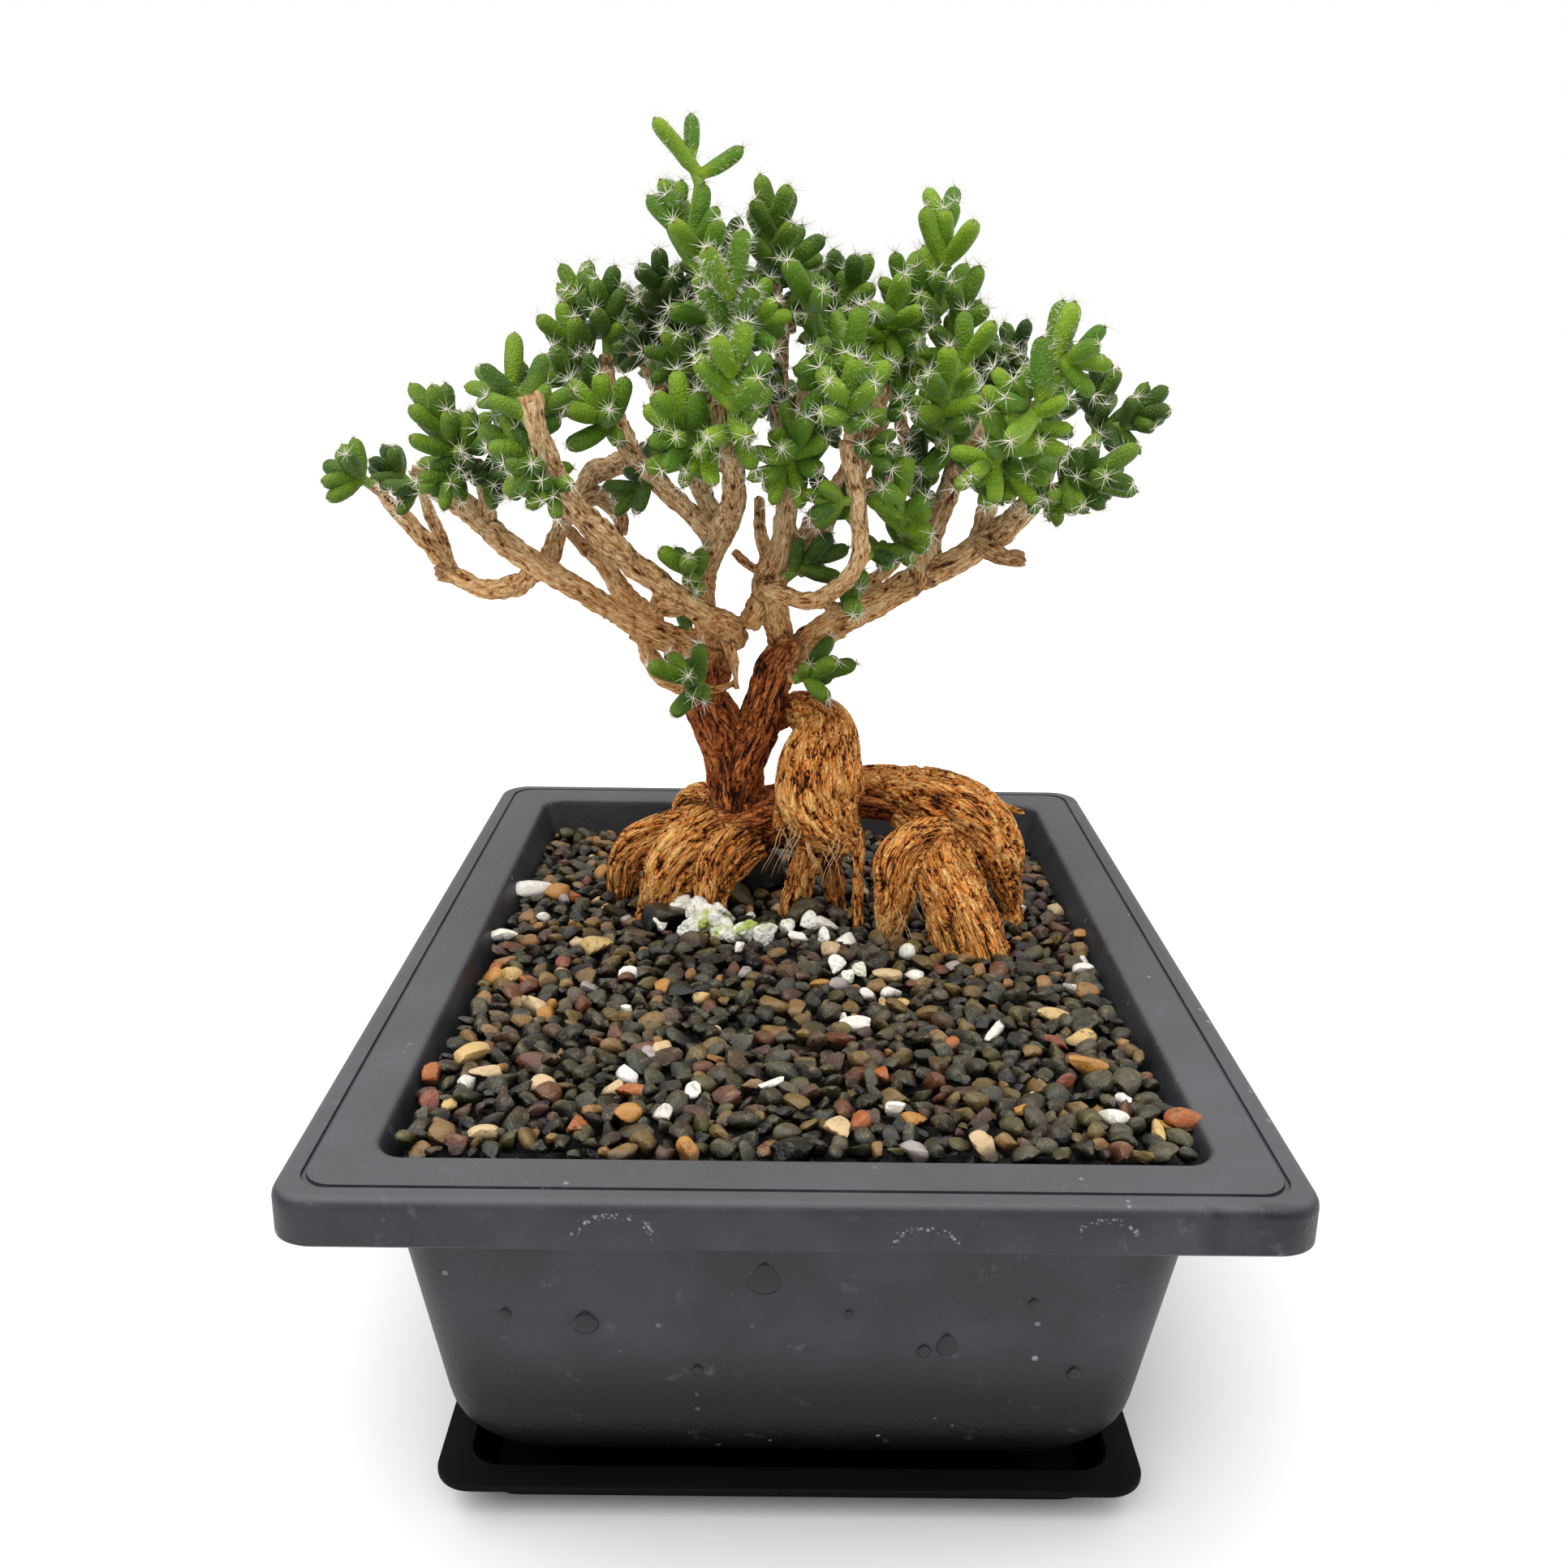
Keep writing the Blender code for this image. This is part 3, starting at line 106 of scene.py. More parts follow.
# Roots and trunk as points (x, y, z, radius) along each member.
ROOTS = {
    "left_stem": [(-9, 26, 64.5, 5.8), (-10.5, 25, 74.5, 4.2), (-12.5, 25, 83.5, 4), (-15, 24, 90, 3.8),
        (-14.5, 24, 95.5, 3.4), (-13, 24, 99.5, 2.6)],
    "right_stem": [(-10, 25, 71.5, 4.2), (-8.5, 24, 79.5, 3.6), (-6, 23, 85.5, 3.4), (-4.5, 22, 91.5, 3),
        (-3, 23, 95.5, 3.4), (-1, 23, 99, 3.2)],
    "crown": [(-11, 25, 67, 5.8), (-4, 26, 68.5, 5.2), (4, 26, 71.5, 4.2), (12, 26, 72.5, 3.6),
        (18.5, 25, 72, 3.8)],
    "left_hump": [(-10, 26, 67, 5.2), (-15.5, 23, 64.5, 6), (-20.5, 20, 61, 5.4), (-23, 19, 55, 3.8),
        (-24.5, 19, 47, 2.8)],
    "left_hump_front": [(-7.5, 24, 65, 4.2), (-12, 19, 63, 4.4), (-14, 17, 58.5, 3.2), (-14, 17, 51, 2)],
    "left_lobe": [(-16.5, 28, 66.5, 3), (-24.5, 29, 63.5, 3.4), (-29, 29, 60, 3.2), (-30.5, 29, 54.5, 2.6),
        (-30.5, 29, 47.5, 1.8)],
    "back_root": [(-10.5, 28, 70.5, 2.4), (-15.5, 36, 69, 2), (-19.5, 42, 66, 1.8), (-22, 45, 58, 1.4),
        (-23, 46, 46.5, 1)],
    "tuber": [(-4, 28, 86, 2.4), (0.5, 25, 88, 3), (4.5, 21, 85.5, 5), (4, 18, 80, 6.8), (4, 16, 74.5, 7.2),
        (6, 14, 71, 5.6), (10, 13, 67, 2.2)],
    "tuber_tip": [(1, 16, 74.5, 4), (-0.5, 15, 72, 3), (-2.5, 14, 70, 1.2)],
    "peg": [(3.5, 14, 72.5, 2.8), (3, 14, 67.5, 2.4), (1.5, 15, 61, 2.2), (0, 16, 54.5, 2),
        (-0.5, 16, 48, 1.4)],
    "strand": [(10, 13, 70.5, 1.8), (11, 11, 65.5, 1), (11, 10, 58.5, 0.8), (11, 9, 49.5, 0.6)],
    "shadow_strand": [(5, 22, 69, 2.8), (6.5, 21, 62, 2), (8, 20, 54.5, 1.6), (8.5, 19, 47.5, 1)],
    "right_hump": [(10, 26, 74.5, 2.8), (17, 25, 74.5, 3.4), (24.5, 22, 73, 5.2), (31.5, 20, 70, 5.4),
        (36, 18, 64.5, 4), (37.5, 17, 58.5, 2.2), (39.5, 16, 49, 1)],
    "under_root": [(19, 22, 70.5, 2.4), (24, 18, 67.5, 3), (29, 15, 65, 2.2), (32, 15, 59, 1.4),
        (33.5, 15, 51, 0.8)],
    "arch_root": [(25.5, 15, 69, 2.6), (20.5, 11, 69, 3.4), (17.5, 9, 66, 4), (17, 8, 61.5, 3.4),
        (16.5, 8, 56.5, 2.4), (17, 7, 49, 1.4)],
    "front_root": [(22.5, 15, 69.5, 3), (25, 8, 64, 4.2), (27.5, 5, 59.5, 5.4), (29.5, 3, 54.5, 6),
        (31.5, 2, 47, 6)],
    "spur": [(33, 21, 73.5, 1), (36.5, 22, 72, 0.6), (40.5, 23, 70.5, 0.4)],
}

# Branches, in the same way.
LIMBS = {
    "long_left": [(-12, 24, 97, 2.8), (-18, 24, 99, 2.6), (-24.5, 23, 102, 2.4), (-32, 22, 106.5, 2),
        (-38, 22, 110, 2), (-43, 22, 113, 2), (-48.5, 22, 117, 2), (-54.5, 23, 122, 2),
        (-59.5, 24, 125.5, 2), (-63, 25, 128.5, 1.6)],
    "long_left_stub": [(-51, 22, 118.5, 1.6), (-51, 22, 123, 1.4), (-51, 21, 127, 1.2), (-51, 20, 129.5, 1)],
    "curl": [(-42.5, 22.5, 112.5, 1.6), (-47, 27, 109, 1.8), (-51.5, 29, 107.5, 1.8), (-55.5, 31, 108, 1.6),
        (-59.5, 32, 109.5, 1.6), (-61.5, 31, 110, 1.6)],
    "curl_twig_a": [(-60, 32, 110, 1.4), (-62.5, 31, 114.5, 1.4), (-65.5, 30, 118.5, 1.4),
        (-68, 29, 121.5, 1.2), (-69.5, 28, 123.5, 1)],
    "curl_twig_b": [(-59.5, 33, 110, 1.4), (-61.5, 35, 115, 1.2), (-63.5, 36, 119.5, 1.2),
        (-64.5, 36, 123, 0.8)],
    "rear_twig": [(-42.5, 22.5, 112.5, 1.8), (-42, 27, 112.5, 1.8), (-40.5, 32, 117.5, 1.6),
        (-38.5, 36, 121, 1.6), (-34.5, 38, 122.5, 1.6), (-31, 40, 119, 1.6), (-31, 41, 115.5, 1.2)],
    "rear_link": [(-24, 24, 102, 2), (-25, 28, 103, 2), (-30, 32, 107, 1.8), (-33, 34, 111, 1.6),
        (-36.5, 36, 113.5, 1.2), (-39.5, 35, 117, 1.2)],
    "rear_arm": [(-37.5, 37, 123.5, 1.4), (-35, 39, 126.5, 2), (-31.5, 37, 128, 2), (-27.5, 31, 130, 1.8)],
    "front_left": [(-10, 22, 100.5, 2.4), (-11.5, 18, 104, 2.2), (-15, 14, 106.5, 2), (-18.5, 11, 109.5, 2),
        (-22.5, 9, 113, 2), (-26, 7, 116, 2), (-29.5, 4, 120, 2.2), (-33, 2, 124, 2), (-35.5, 0, 127.5, 2),
        (-37, -2, 132.5, 1.8), (-38, -4, 137, 1.6), (-38.5, -5, 140.5, 1.6), (-39, -5, 141.5, 1.8)],
    "front_left_stub": [(-17.5, 12, 108.5, 1.6), (-20.5, 9, 108.5, 1.6), (-22.5, 7, 109.5, 1.4)],
    "dead_snag": [(-11.5, 19, 102, 1.2), (-10.5, 18, 99, 1), (-10, 18, 96, 0.6), (-9.5, 18, 93, 0.4)],
    "side_snag": [(-15.5, 24.5, 90.5, 1.8), (-19, 27, 91.5, 1.6), (-23, 30, 92.5, 1.8), (-25.5, 32, 96, 1.6),
        (-27, 33, 98, 0.8), (-29, 33, 99, 0.6)],
    "centre_left": [(-12.5, 24, 98.5, 2.4), (-15, 22, 104.5, 2.4), (-16.5, 19, 109.5, 2.6),
        (-14.5, 17, 114.5, 2.2), (-12, 14, 120, 2), (-10, 10, 125, 2), (-10, 6, 130, 1.8),
        (-11, 3, 134.5, 1.4), (-12, 1, 138.5, 1.2), (-12, 0, 141.5, 1.2), (-12, 0, 142.5, 1.6)],
    "fork_a": [(-13, 15, 118, 1.8), (-17.5, 17, 122.5, 1.6), (-22, 17, 127, 1.6), (-25.5, 15, 131, 1.4),
        (-27.5, 13, 133, 1.2)],
    "fork_b": [(-12.5, 17, 120, 1.6), (-15.5, 24, 125, 1.6), (-19, 30, 130.5, 1.6), (-21.5, 34, 136, 1.6),
        (-24, 38, 141.5, 1.4), (-27, 41, 146, 1.4), (-30, 43, 149, 1.2)],
    "fork_a_tip": [(-25, 15, 130, 1.2), (-28.5, 20, 136.5, 1.2), (-30.5, 24, 141, 1.2),
        (-31.5, 27, 146, 1.4)],
    "grey_twig": [(-4.5, 21, 111.5, 1), (-8, 22, 113.5, 0.8), (-10.5, 23, 115.5, 0.8)],
    "dark_twig": [(-4.5, 20, 110, 1.4), (-4, 26, 111.5, 1.2), (-6, 30, 117, 1.2), (-6.5, 34, 123, 1)],
    "centre": [(-1.5, 24, 96.5, 2.2), (-3, 23, 102, 1.8), (-4.5, 21, 106.5, 2.2), (-4.5, 19, 111.5, 2.8),
        (-2.5, 17, 116.5, 2.4), (-2, 16, 121, 2), (-1.5, 16, 125.5, 1.8), (-0.5, 17, 130, 1.8),
        (0.5, 19, 134, 1.6), (1, 22, 139, 1.6), (2, 26, 143.5, 1.4), (3.5, 29, 147, 1.2)],
    "centre_link": [(-8, 20, 103.5, 1.8), (-6.5, 20, 106.5, 2), (-4.5, 20, 110.5, 2)],
    "centre_right": [(-1, 18, 113.5, 2.6), (2.5, 20, 118.5, 2.6), (5.5, 23, 123.5, 2.2), (8.5, 27, 127.5, 2),
        (11, 31, 133, 1.8), (13.5, 35, 138, 1.4), (15.5, 38, 143.5, 1.2)],
    "hook": [(-5, 16, 111, 1.6), (-2.5, 11, 110.5, 1.6), (0.5, 8, 110, 1.4), (3.5, 6, 110.5, 1.4),
        (6.5, 4, 113, 1.4), (9, 3, 116.5, 1.4), (9.5, 2, 121, 1.4), (9, 1, 125, 1.4), (8.5, 0, 129, 1.6),
        (8, 0, 132, 1.8), (7.5, 0, 135, 1.6)],
    "hook_snag": [(8.5, 0, 130.5, 1.6), (10, 2, 134.5, 1.8), (11.5, 4, 137.5, 1.6), (13.5, 5, 139.5, 1)],
    "right_arm": [(0, 23, 98, 2.6), (3, 23, 101, 2.6), (7, 22, 104, 2.6), (11, 21, 106.5, 2.6),
        (16, 20, 109.5, 2.4), (21, 19, 112.5, 2.2), (26, 18, 115, 2.2), (29.5, 18, 117.5, 2.2),
        (33.5, 17, 120.5, 2.2), (36.5, 15, 124.5, 2), (38, 12, 129, 2), (38.5, 10, 132, 1.6),
        (38.5, 9, 134, 1.6)],
    "right_arm_stub": [(30, 17, 118, 1.6), (33, 14, 116.5, 1.4), (36, 12, 116.5, 1.4)],
    "right_arm_twig": [(37.5, 15, 124.5, 1.2), (40, 16, 126, 1.2), (42, 17, 127, 1)],
    "upright": [(20.5, 19, 112, 2.4), (21.5, 20, 117.5, 2.2), (23, 21, 121.5, 2), (24.5, 21, 126, 2),
        (26, 21, 130.5, 1.8), (28, 21, 135, 1.6), (29, 21, 138.5, 1.6)],
    "upright_b": [(29.5, 19, 117.5, 1.8), (31, 22, 122, 1.8), (32.5, 25, 126, 1.6), (34.5, 27, 130, 1.4),
        (36.5, 29, 134, 1)],
    "strip": [(11, 21.5, 107, 1.4), (11, 23, 109.5, 1.2), (15, 26, 112, 1.2), (18, 26, 115.5, 1.2),
        (20.5, 23, 119.5, 1)],
    "back_limb": [(19, 33, 131, 1.2), (17.5, 31, 135, 1.2), (16, 29, 139.5, 1), (15, 27, 143, 0.8)],
    "back_limb_root": [(6.5, 25, 124.5, 1.6), (13.5, 32, 126, 1.4), (19.5, 34, 130.5, 1.2),
        (23, 36, 136.5, 1.2), (24.5, 32, 143, 1), (23, 27, 148, 0.8)],
    "top_limb": [(-10, 8, 129, 1.4), (-13, 14, 136, 1.2), (-14.5, 17, 143, 1), (-14.5, 15, 148.5, 0.8)],
    "crown_limb": [(-1, 19, 130.5, 1.4), (-3, 26, 138, 1.4), (-3, 29, 146.5, 1.2), (-2.5, 28, 152, 1),
        (-3.5, 24, 156, 0.8)],
    "rear_left": [(-13, 26, 98, 2.2), (-16, 34, 105, 2), (-15.5, 41, 110, 1.8), (-14, 46, 114.5, 1.6),
        (-17.5, 53, 122, 1.4), (-21, 59, 128.5, 1.2), (-24, 64, 136, 1)],
    "rear_middle": [(-2.5, 26, 100, 2.2), (-3.5, 34, 106, 2), (-2, 43, 112.5, 1.8), (-1.5, 51, 119, 1.4),
        (0, 59, 126, 1.2), (1, 64, 133, 1)],
    "rear_right": [(3, 26, 100, 2.4), (12, 36, 103.5, 2), (22.5, 46, 108.5, 1.8), (26, 55, 115, 1.4),
        (29.5, 61, 124, 1.2), (33, 65, 132, 1)],
    "right_far": [(42, 17, 127, 1), (46, 22, 130, 0.8), (49, 25, 133.5, 0.8)],
}

# Leafy sprays. Each green stem is (path points, pairs of leaves, twist in degrees, leaf length, spread in
# degrees, leaf kind), and the first point of a spray is where its woody twig ends.
SPRAYS = {
    "left_end": [([(-69.5, 28, 124), (-74, 26, 127.5)], 4, 0, 6.2, 70, MID)],
    "left_rear": [([(-65, 36, 123), (-69.5, 35, 127.5)], 3, 20, 5.2, 60, DARK)],
    "left_upper": [([(-51, 20, 129.5), (-55.5, 20, 130.5), (-57.5, 19, 137.5)], 4, 0, 7.2, 58, MID),
        ([(-51, 20, 129.5), (-54, 23, 134)], 2, 30, 5.6, 60, DARK)],
    "left_back": [([(-50.5, 24, 126.5), (-49, 30, 133), (-46, 32, 140.5)], 3, 20, 6.2, 60, DARK)],
    "left_inner": [([(-38.5, 1, 132.5), (-44.5, 6, 134.5)], 3, 40, 6, 62, MID),
        ([(-38.5, 1, 132.5), (-42, 4, 130.5)], 1, 0, 5.2, 60, DARK)],
    "left_high": [([(-40, 0, 137.5), (-42.5, 4, 141), (-43.5, 6, 143)], 2, 0, 8.2, 62, MID)],
    "left_shoulder": [([(-34, 25, 143), (-37.5, 24, 149.5)], 3, 0, 6.6, 60, MID),
        ([(-34, 25, 143), (-35.5, 30, 150.5), (-36, 30, 157)], 4, 30, 5.6, 60, DARK)],
    "left_crest": [([(-30.5, 24, 142.5), (-31.5, 26, 156)], 4, 20, 6, 60, MID)],
    "left_fill": [([(-32, 20, 139), (-37, 15, 143.5)], 3, 10, 6, 60, MID)],
    "front_left": [([(-27.5, 13, 133.5), (-30.5, 7, 138.5)], 3, 0, 8, 66, YOUNG)],
    "front_centre_left": [([(-11.5, 5, 130.5), (-15, 1, 133.5), (-17.5, -1, 138.5)], 3, 10, 8, 56, YOUNG),
        ([(-11.5, 5, 130.5), (-15.5, 6.5, 134)], 1, 60, 5, 60, MID)],
    "rear_shoulder": [([(-24.5, 36, 144.5), (-24, 32, 153)], 3, 0, 7, 56, DARK),
        ([(-24.5, 36, 144.5), (-19.5, 28, 155)], 3, 30, 7, 58, DARK),
        ([(-20.5, 29, 152.5), (-22.5, 24, 158)], 3, 0, 6.6, 50, MID)],
    "rear_peak": [([(-30, 43, 149), (-32, 50, 152)], 3, 20, 6, 60, DARK)],
    "top": [([(-14, 14, 149.5), (-14.5, 11, 156), (-15, 10, 160)], 2, 0, 8.2, 66, YOUNG),
        ([(-15, 10, 159.5), (-16.5, 10, 164.5)], 2, 40, 8, 64, MID),
        ([(-16.5, 10, 164.5), (-15.5, 10, 170), (-15, 10, 173.5)], 1, -30, 9, 58, YOUNG),
        ([(-15.5, 10, 172), (-17, 10, 175.5)], 1, 0, 8.2, 28, YOUNG),
        ([(-17, 11, 165), (-19.5, 12, 170)], 3, 30, 5, 58, MID)],
    "top_side": [([(-13, 19, 148.5), (-12.5, 22, 157.5), (-12, 22, 163.5)], 4, 40, 6, 58, DARK)],
    "bud": [([(-9.5, 7, 146.5), (-10, 2, 151.5), (-10.5, -1, 156.5)], 2, 70, 9, 34, YOUNG)],
    "front_stub_back": [([(-15.5, 15, 142), (-16.5, 9, 148.5)], 3, 10, 6.8, 56, MID)],
    "crown": [([(-4, 24, 156.5), (-4.5, 20, 168)], 4, 0, 7.2, 58, MID),
        ([(-4, 24, 156.5), (-1.5, 24, 161)], 2, 10, 7, 60, MID)],
    "crown_back": [([(-1.5, 32, 151.5), (-5.5, 40, 158.5)], 3, 30, 6.6, 60, DARK),
        ([(-1.5, 32, 151.5), (2.5, 42, 158)], 3, 0, 6.6, 60, DARK)],
    "crown_front": [([(-4.5, 26, 148.5), (-7, 19, 154.5)], 3, 20, 7, 58, DARK)],
    "tall_leaf": [([(4, 26, 147.5), (3.5, 14, 149.5), (1.5, 5, 154.5)], 2, 0, 9.2, 44, YOUNG)],
    "crown_right": [([(6, 30, 148), (6, 32, 159.5)], 3, 30, 5.6, 60, MID),
        ([(6, 30, 148), (9, 28, 158.5)], 3, 10, 6.2, 50, YOUNG)],
    "right_crest": [([(16.5, 30, 146), (13.5, 12, 154)], 3, 0, 7.4, 66, YOUNG),
        ([(16.5, 30, 146), (17, 28, 158.5)], 3, 0, 6.6, 58, MID)],
    "right_top": [([(21.5, 25, 151.5), (22.5, 20, 162)], 2, 10, 8.4, 62, YOUNG),
        ([(22.5, 20, 161), (22, 24, 168.5)], 2, 30, 5.4, 50, MID),
        ([(21.5, 25, 151.5), (20, 27, 158)], 3, 40, 6.4, 58, DARK)],
    "right_peak": [([(24.5, 24, 147), (25, 19, 155)], 3, 0, 7.4, 58, MID)],
    "right_back": [([(15.5, 39, 144), (13, 50, 151)], 3, 0, 6.4, 60, DARK),
        ([(15.5, 39, 144), (20, 50, 150.5)], 3, 20, 6.4, 60, DARK)],
    "front_right_pair": [([(7.5, 0, 135), (6.5, -6, 142)], 3, 0, 7.2, 56, YOUNG),
        ([(7.5, 0, 135), (8, 0.5, 141.5), (7, 1, 147.5)], 2, 0, 8, 62, YOUNG)],
    "front_centre": [([(-11, 1, 134.5), (-9.5, -5, 139), (-10, -8, 146)], 3, 0, 8.4, 60, YOUNG),
        ([(-11, 1, 134.5), (-8.5, -3, 136)], 1, 60, 5, 60, MID)],
    "front_middle": [([(-0, 14, 128.5), (-1, 1, 134.5)], 3, 0, 7.2, 62, YOUNG)],
    "front_right_mid": [([(25, 19, 132), (22, 8, 137.5), (21, 2, 143)], 3, 10, 8, 60, YOUNG),
        ([(22, 8, 137.5), (25, 6, 148)], 2, 0, 6.6, 60, MID),
        ([(25, 19, 132), (21, 12.5, 139)], 3, 30, 6, 60, MID)],
    "right_rear": [([(36.5, 30, 134.5), (35, 28, 148.5)], 4, 10, 6, 56, DARK),
        ([(36.5, 30, 134.5), (32, 27, 147)], 3, 30, 5.6, 58, DARK),
        ([(36.5, 30, 134.5), (38.5, 23, 145.5)], 3, 20, 6.2, 58, MID)],
    "front_right": [([(31, 8, 129.5), (30, -5, 135.5)], 2, 20, 8, 62, YOUNG),
        ([(30, -5, 135.5), (33, -11, 140.5)], 1, 0, 9.4, 80, YOUNG),
        ([(33, -11, 140), (35, -11, 148.5)], 2, 0, 8, 22, YOUNG)],
    "right_far": [([(49, 26, 134), (49.5, 28, 143)], 3, 0, 6.2, 54, DARK),
        ([(49, 26, 134), (52.5, 23, 136.5), (55.5, 20.5, 139)], 3, 0, 6.6, 56, MID)],
    "right_end": [([(41, 14, 127.5), (47.5, 8, 130.5)], 3, 0, 7.8, 66, MID),
        ([(41, 14, 127.5), (42, 8, 129)], 1, 40, 6, 60, MID)],
    "right_nook": [([(27, 17, 128), (29.5, 13, 131.5)], 1, 0, 5.4, 60, DARK)],
    "mid_right": [([(17.5, 19, 117), (16.5, 8, 122), (15, 2, 127.5)], 3, 0, 7.2, 62, YOUNG)],
    "mid_right_back": [([(21, 23, 123.5), (19, 19, 132)], 3, 20, 6, 60, DARK)],
    "hook_left": [([(8.5, 4, 123), (5.5, 8, 126)], 2, 0, 5.4, 60, DARK)],
    "hook_inside": [([(-1.5, 13, 113), (3, 15, 116)], 3, 0, 7, 58, DARK)],
    "hook_right": [([(10.5, 5, 117.5), (13, 9, 118.5)], 1, 30, 5, 60, DARK)],
    "arm_bud": [([(8, 11, 108.5), (9, 7, 111)], 1, 20, 4.6, 60, MID)],
    "low_left_bud": [([(-15.5, 14, 111), (-18, 9, 115)], 2, 20, 5.4, 60, MID)],
    "trunk_left": [([(-15, 17, 93.5), (-18, 11, 96.5)], 2, 30, 6.8, 62, MID)],
    "trunk_right": [([(0.5, 18.5, 95), (3.5, 16.5, 96.5)], 2, 20, 7, 50, MID)],
    "trunk_rear": [([(-16.5, 26, 100.5), (-19, 32, 100.5)], 1, 0, 6.8, 60, DARK)],
    "back_left": [([(-24, 64, 136.5), (-20.5, 67, 146.5)], 3, 0, 6.6, 60, DARK),
        ([(-24, 64, 136.5), (-18, 72, 139.5)], 3, 30, 6.4, 60, DARK)],
    "back_middle": [([(1, 64, 133.5), (9.5, 67, 144.5)], 3, 0, 6.6, 60, DARK),
        ([(1, 64, 133.5), (-8, 67, 143)], 3, 0, 6.6, 60, DARK)],
    "back_right": [([(33, 65, 132.5), (30.5, 67, 143)], 3, 0, 6.6, 60, DARK),
        ([(33, 65, 132.5), (39.5, 66, 143)], 3, 30, 6.4, 60, DARK)],
    "back_right_low": [([(38, 36, 132.5), (47, 46, 137.5)], 3, 0, 6.4, 60, DARK)],
    "back_top": [([(-14.5, 24, 146.5), (-17, 40, 155)], 3, 0, 6.6, 60, DARK)],
}


def srgb(red: int, green: int, blue: int) -> tuple[float, float, float, float]:
    """Linear colour of an everyday one given from 0 to 255."""
    parts = [v / 255 for v in (red, green, blue)]
    return (*(p / 12.92 if p <= 0.04045 else ((p + 0.055) / 1.055) ** 2.4 for p in parts), 1.0)


class Bench:
    """A shader node tree with short calls that place a node, fill its sockets and give back an output."""

    def __init__(self, tree: bpy.types.NodeTree) -> None:
        """Takes the tree to work on."""
        self.tree = tree

    def place(self, kind: str, sockets: dict[int | str, Any] | None = None, out: int | str = 0,
              **settings: Any) -> Any:
        """Places one node.

        Args:
            kind: the node's type without its ShaderNode prefix.
            sockets: a value or another node's output for each input.
            out: the output to give back.
            settings: the node's own settings.

        Returns:
            The output socket.
        """
        node = self.tree.nodes.new("ShaderNode" + kind)
        for key, value in settings.items():
            setattr(node, key, value)
        for key, value in (sockets or {}).items():
            if isinstance(value, bpy.types.NodeSocket):
                self.tree.links.new(value, node.inputs[key])
            else:
                node.inputs[key].default_value = value
        return node.outputs[out]

    def here(self) -> Any:
        """The place on the object, in metres."""
        return self.place("TexCoord", out="Object")

    def value(self, name: str, out: str = "Fac") -> Any:
        """A value or vector that the mesh carries for each point."""
        return self.place("Attribute", out=out, attribute_name=name)

    def mix(self, factor: Any, a: Any, b: Any) -> Any:
        """Two colours mixed by a factor."""
        return self.place("Mix", {0: factor, 6: a, 7: b}, 2, data_type="RGBA")

    def sum(self, operation: str, a: Any, b: Any = 0.0, c: Any = 0.0) -> Any:
        """One step of arithmetic."""
        return self.place("Math", {0: a, 1: b, 2: c}, operation=operation)

    def plus(self, a: Any, b: Any) -> Any:
        """The sum of two values."""
        return self.sum("ADD", a, b)

    def less(self, a: Any, b: Any) -> Any:
        """One value less another."""
        return self.sum("SUBTRACT", a, b)

    def times(self, a: Any, b: Any) -> Any:
        """The product of two values."""
        return self.sum("MULTIPLY", a, b)

    def scaled(self, a: Any, b: Any, c: Any) -> Any:
        """The product of two values plus a third."""
        return self.sum("MULTIPLY_ADD", a, b, c)

    def most(self, a: Any, b: Any) -> Any:
        """The larger of two values."""
        return self.sum("MAXIMUM", a, b)

    def size(self, a: Any) -> Any:
        """A value without its sign."""
        return self.sum("ABSOLUTE", a)

    def apart(self, a: Any, b: Any) -> Any:
        """How far two values are from each other."""
        return self.size(self.less(a, b))

    def span(self, value: Any, low: float, high: float, to_low: float = 0.0, to_high: float = 1.0) -> Any:
        """A value moved smoothly from one range into another."""
        sockets = {0: value, 1: low, 2: high, 3: to_low, 4: to_high}
        return self.place("MapRange", sockets, interpolation_type="SMOOTHSTEP")

    def stretch(self, vector: Any, x: float, y: float, z: float) -> Any:
        """A vector scaled along each axis."""
        return self.place("VectorMath", {0: vector, 1: (x, y, z)}, operation="MULTIPLY")

    def axis(self, vector: Any, which: str) -> Any:
        """One part of a vector."""
        return self.place("SeparateXYZ", {0: vector}, which)

    def noise(self, vector: Any, scale: Any, detail: float = 3.0, rough: float = 0.5,
              warp: float = 0.0) -> Any:
        """Soft noise from 0 to 1."""
        sockets = {"Vector": vector, "Scale": scale, "Detail": detail, "Roughness": rough, "Distortion": warp}
        return self.place("TexNoise", sockets)

    def cells(self, vector: Any, scale: Any, out: str = "Distance", feature: str = "F1") -> Any:
        """Distance to the nearest of many scattered points, or a colour for each."""
        return self.place("TexVoronoi", {"Vector": vector, "Scale": scale}, out, feature=feature)

    def joined(self, x: Any, y: Any, z: Any) -> Any:
        """Three values as one vector."""
        return self.place("CombineXYZ", {0: x, 1: y, 2: z})

    def moved(self, vector: Any, offset: Any) -> Any:
        """A vector plus another."""
        return self.place("VectorMath", {0: vector, 1: offset}, operation="ADD")

    def ramp(self, value: Any, stops: Sequence[tuple[float, Numbers]], steps: bool = False) -> Any:
        """Colours along a value.

        Args:
            value: runs from 0 to 1.
            stops: a place and a colour for each stop.
            steps: whether each colour holds up to the next stop, without blending.

        Returns:
            The colour's socket.
        """
        out = self.place("ValToRGB", {0: value}, "Color")
        ramp = out.node.color_ramp
        ramp.interpolation = "CONSTANT" if steps else "LINEAR"
        while len(ramp.elements) < len(stops):
            ramp.elements.new(1.0)
        for element, (at, colour) in zip(ramp.elements, stops):
            element.position, element.color = at, colour
        return out

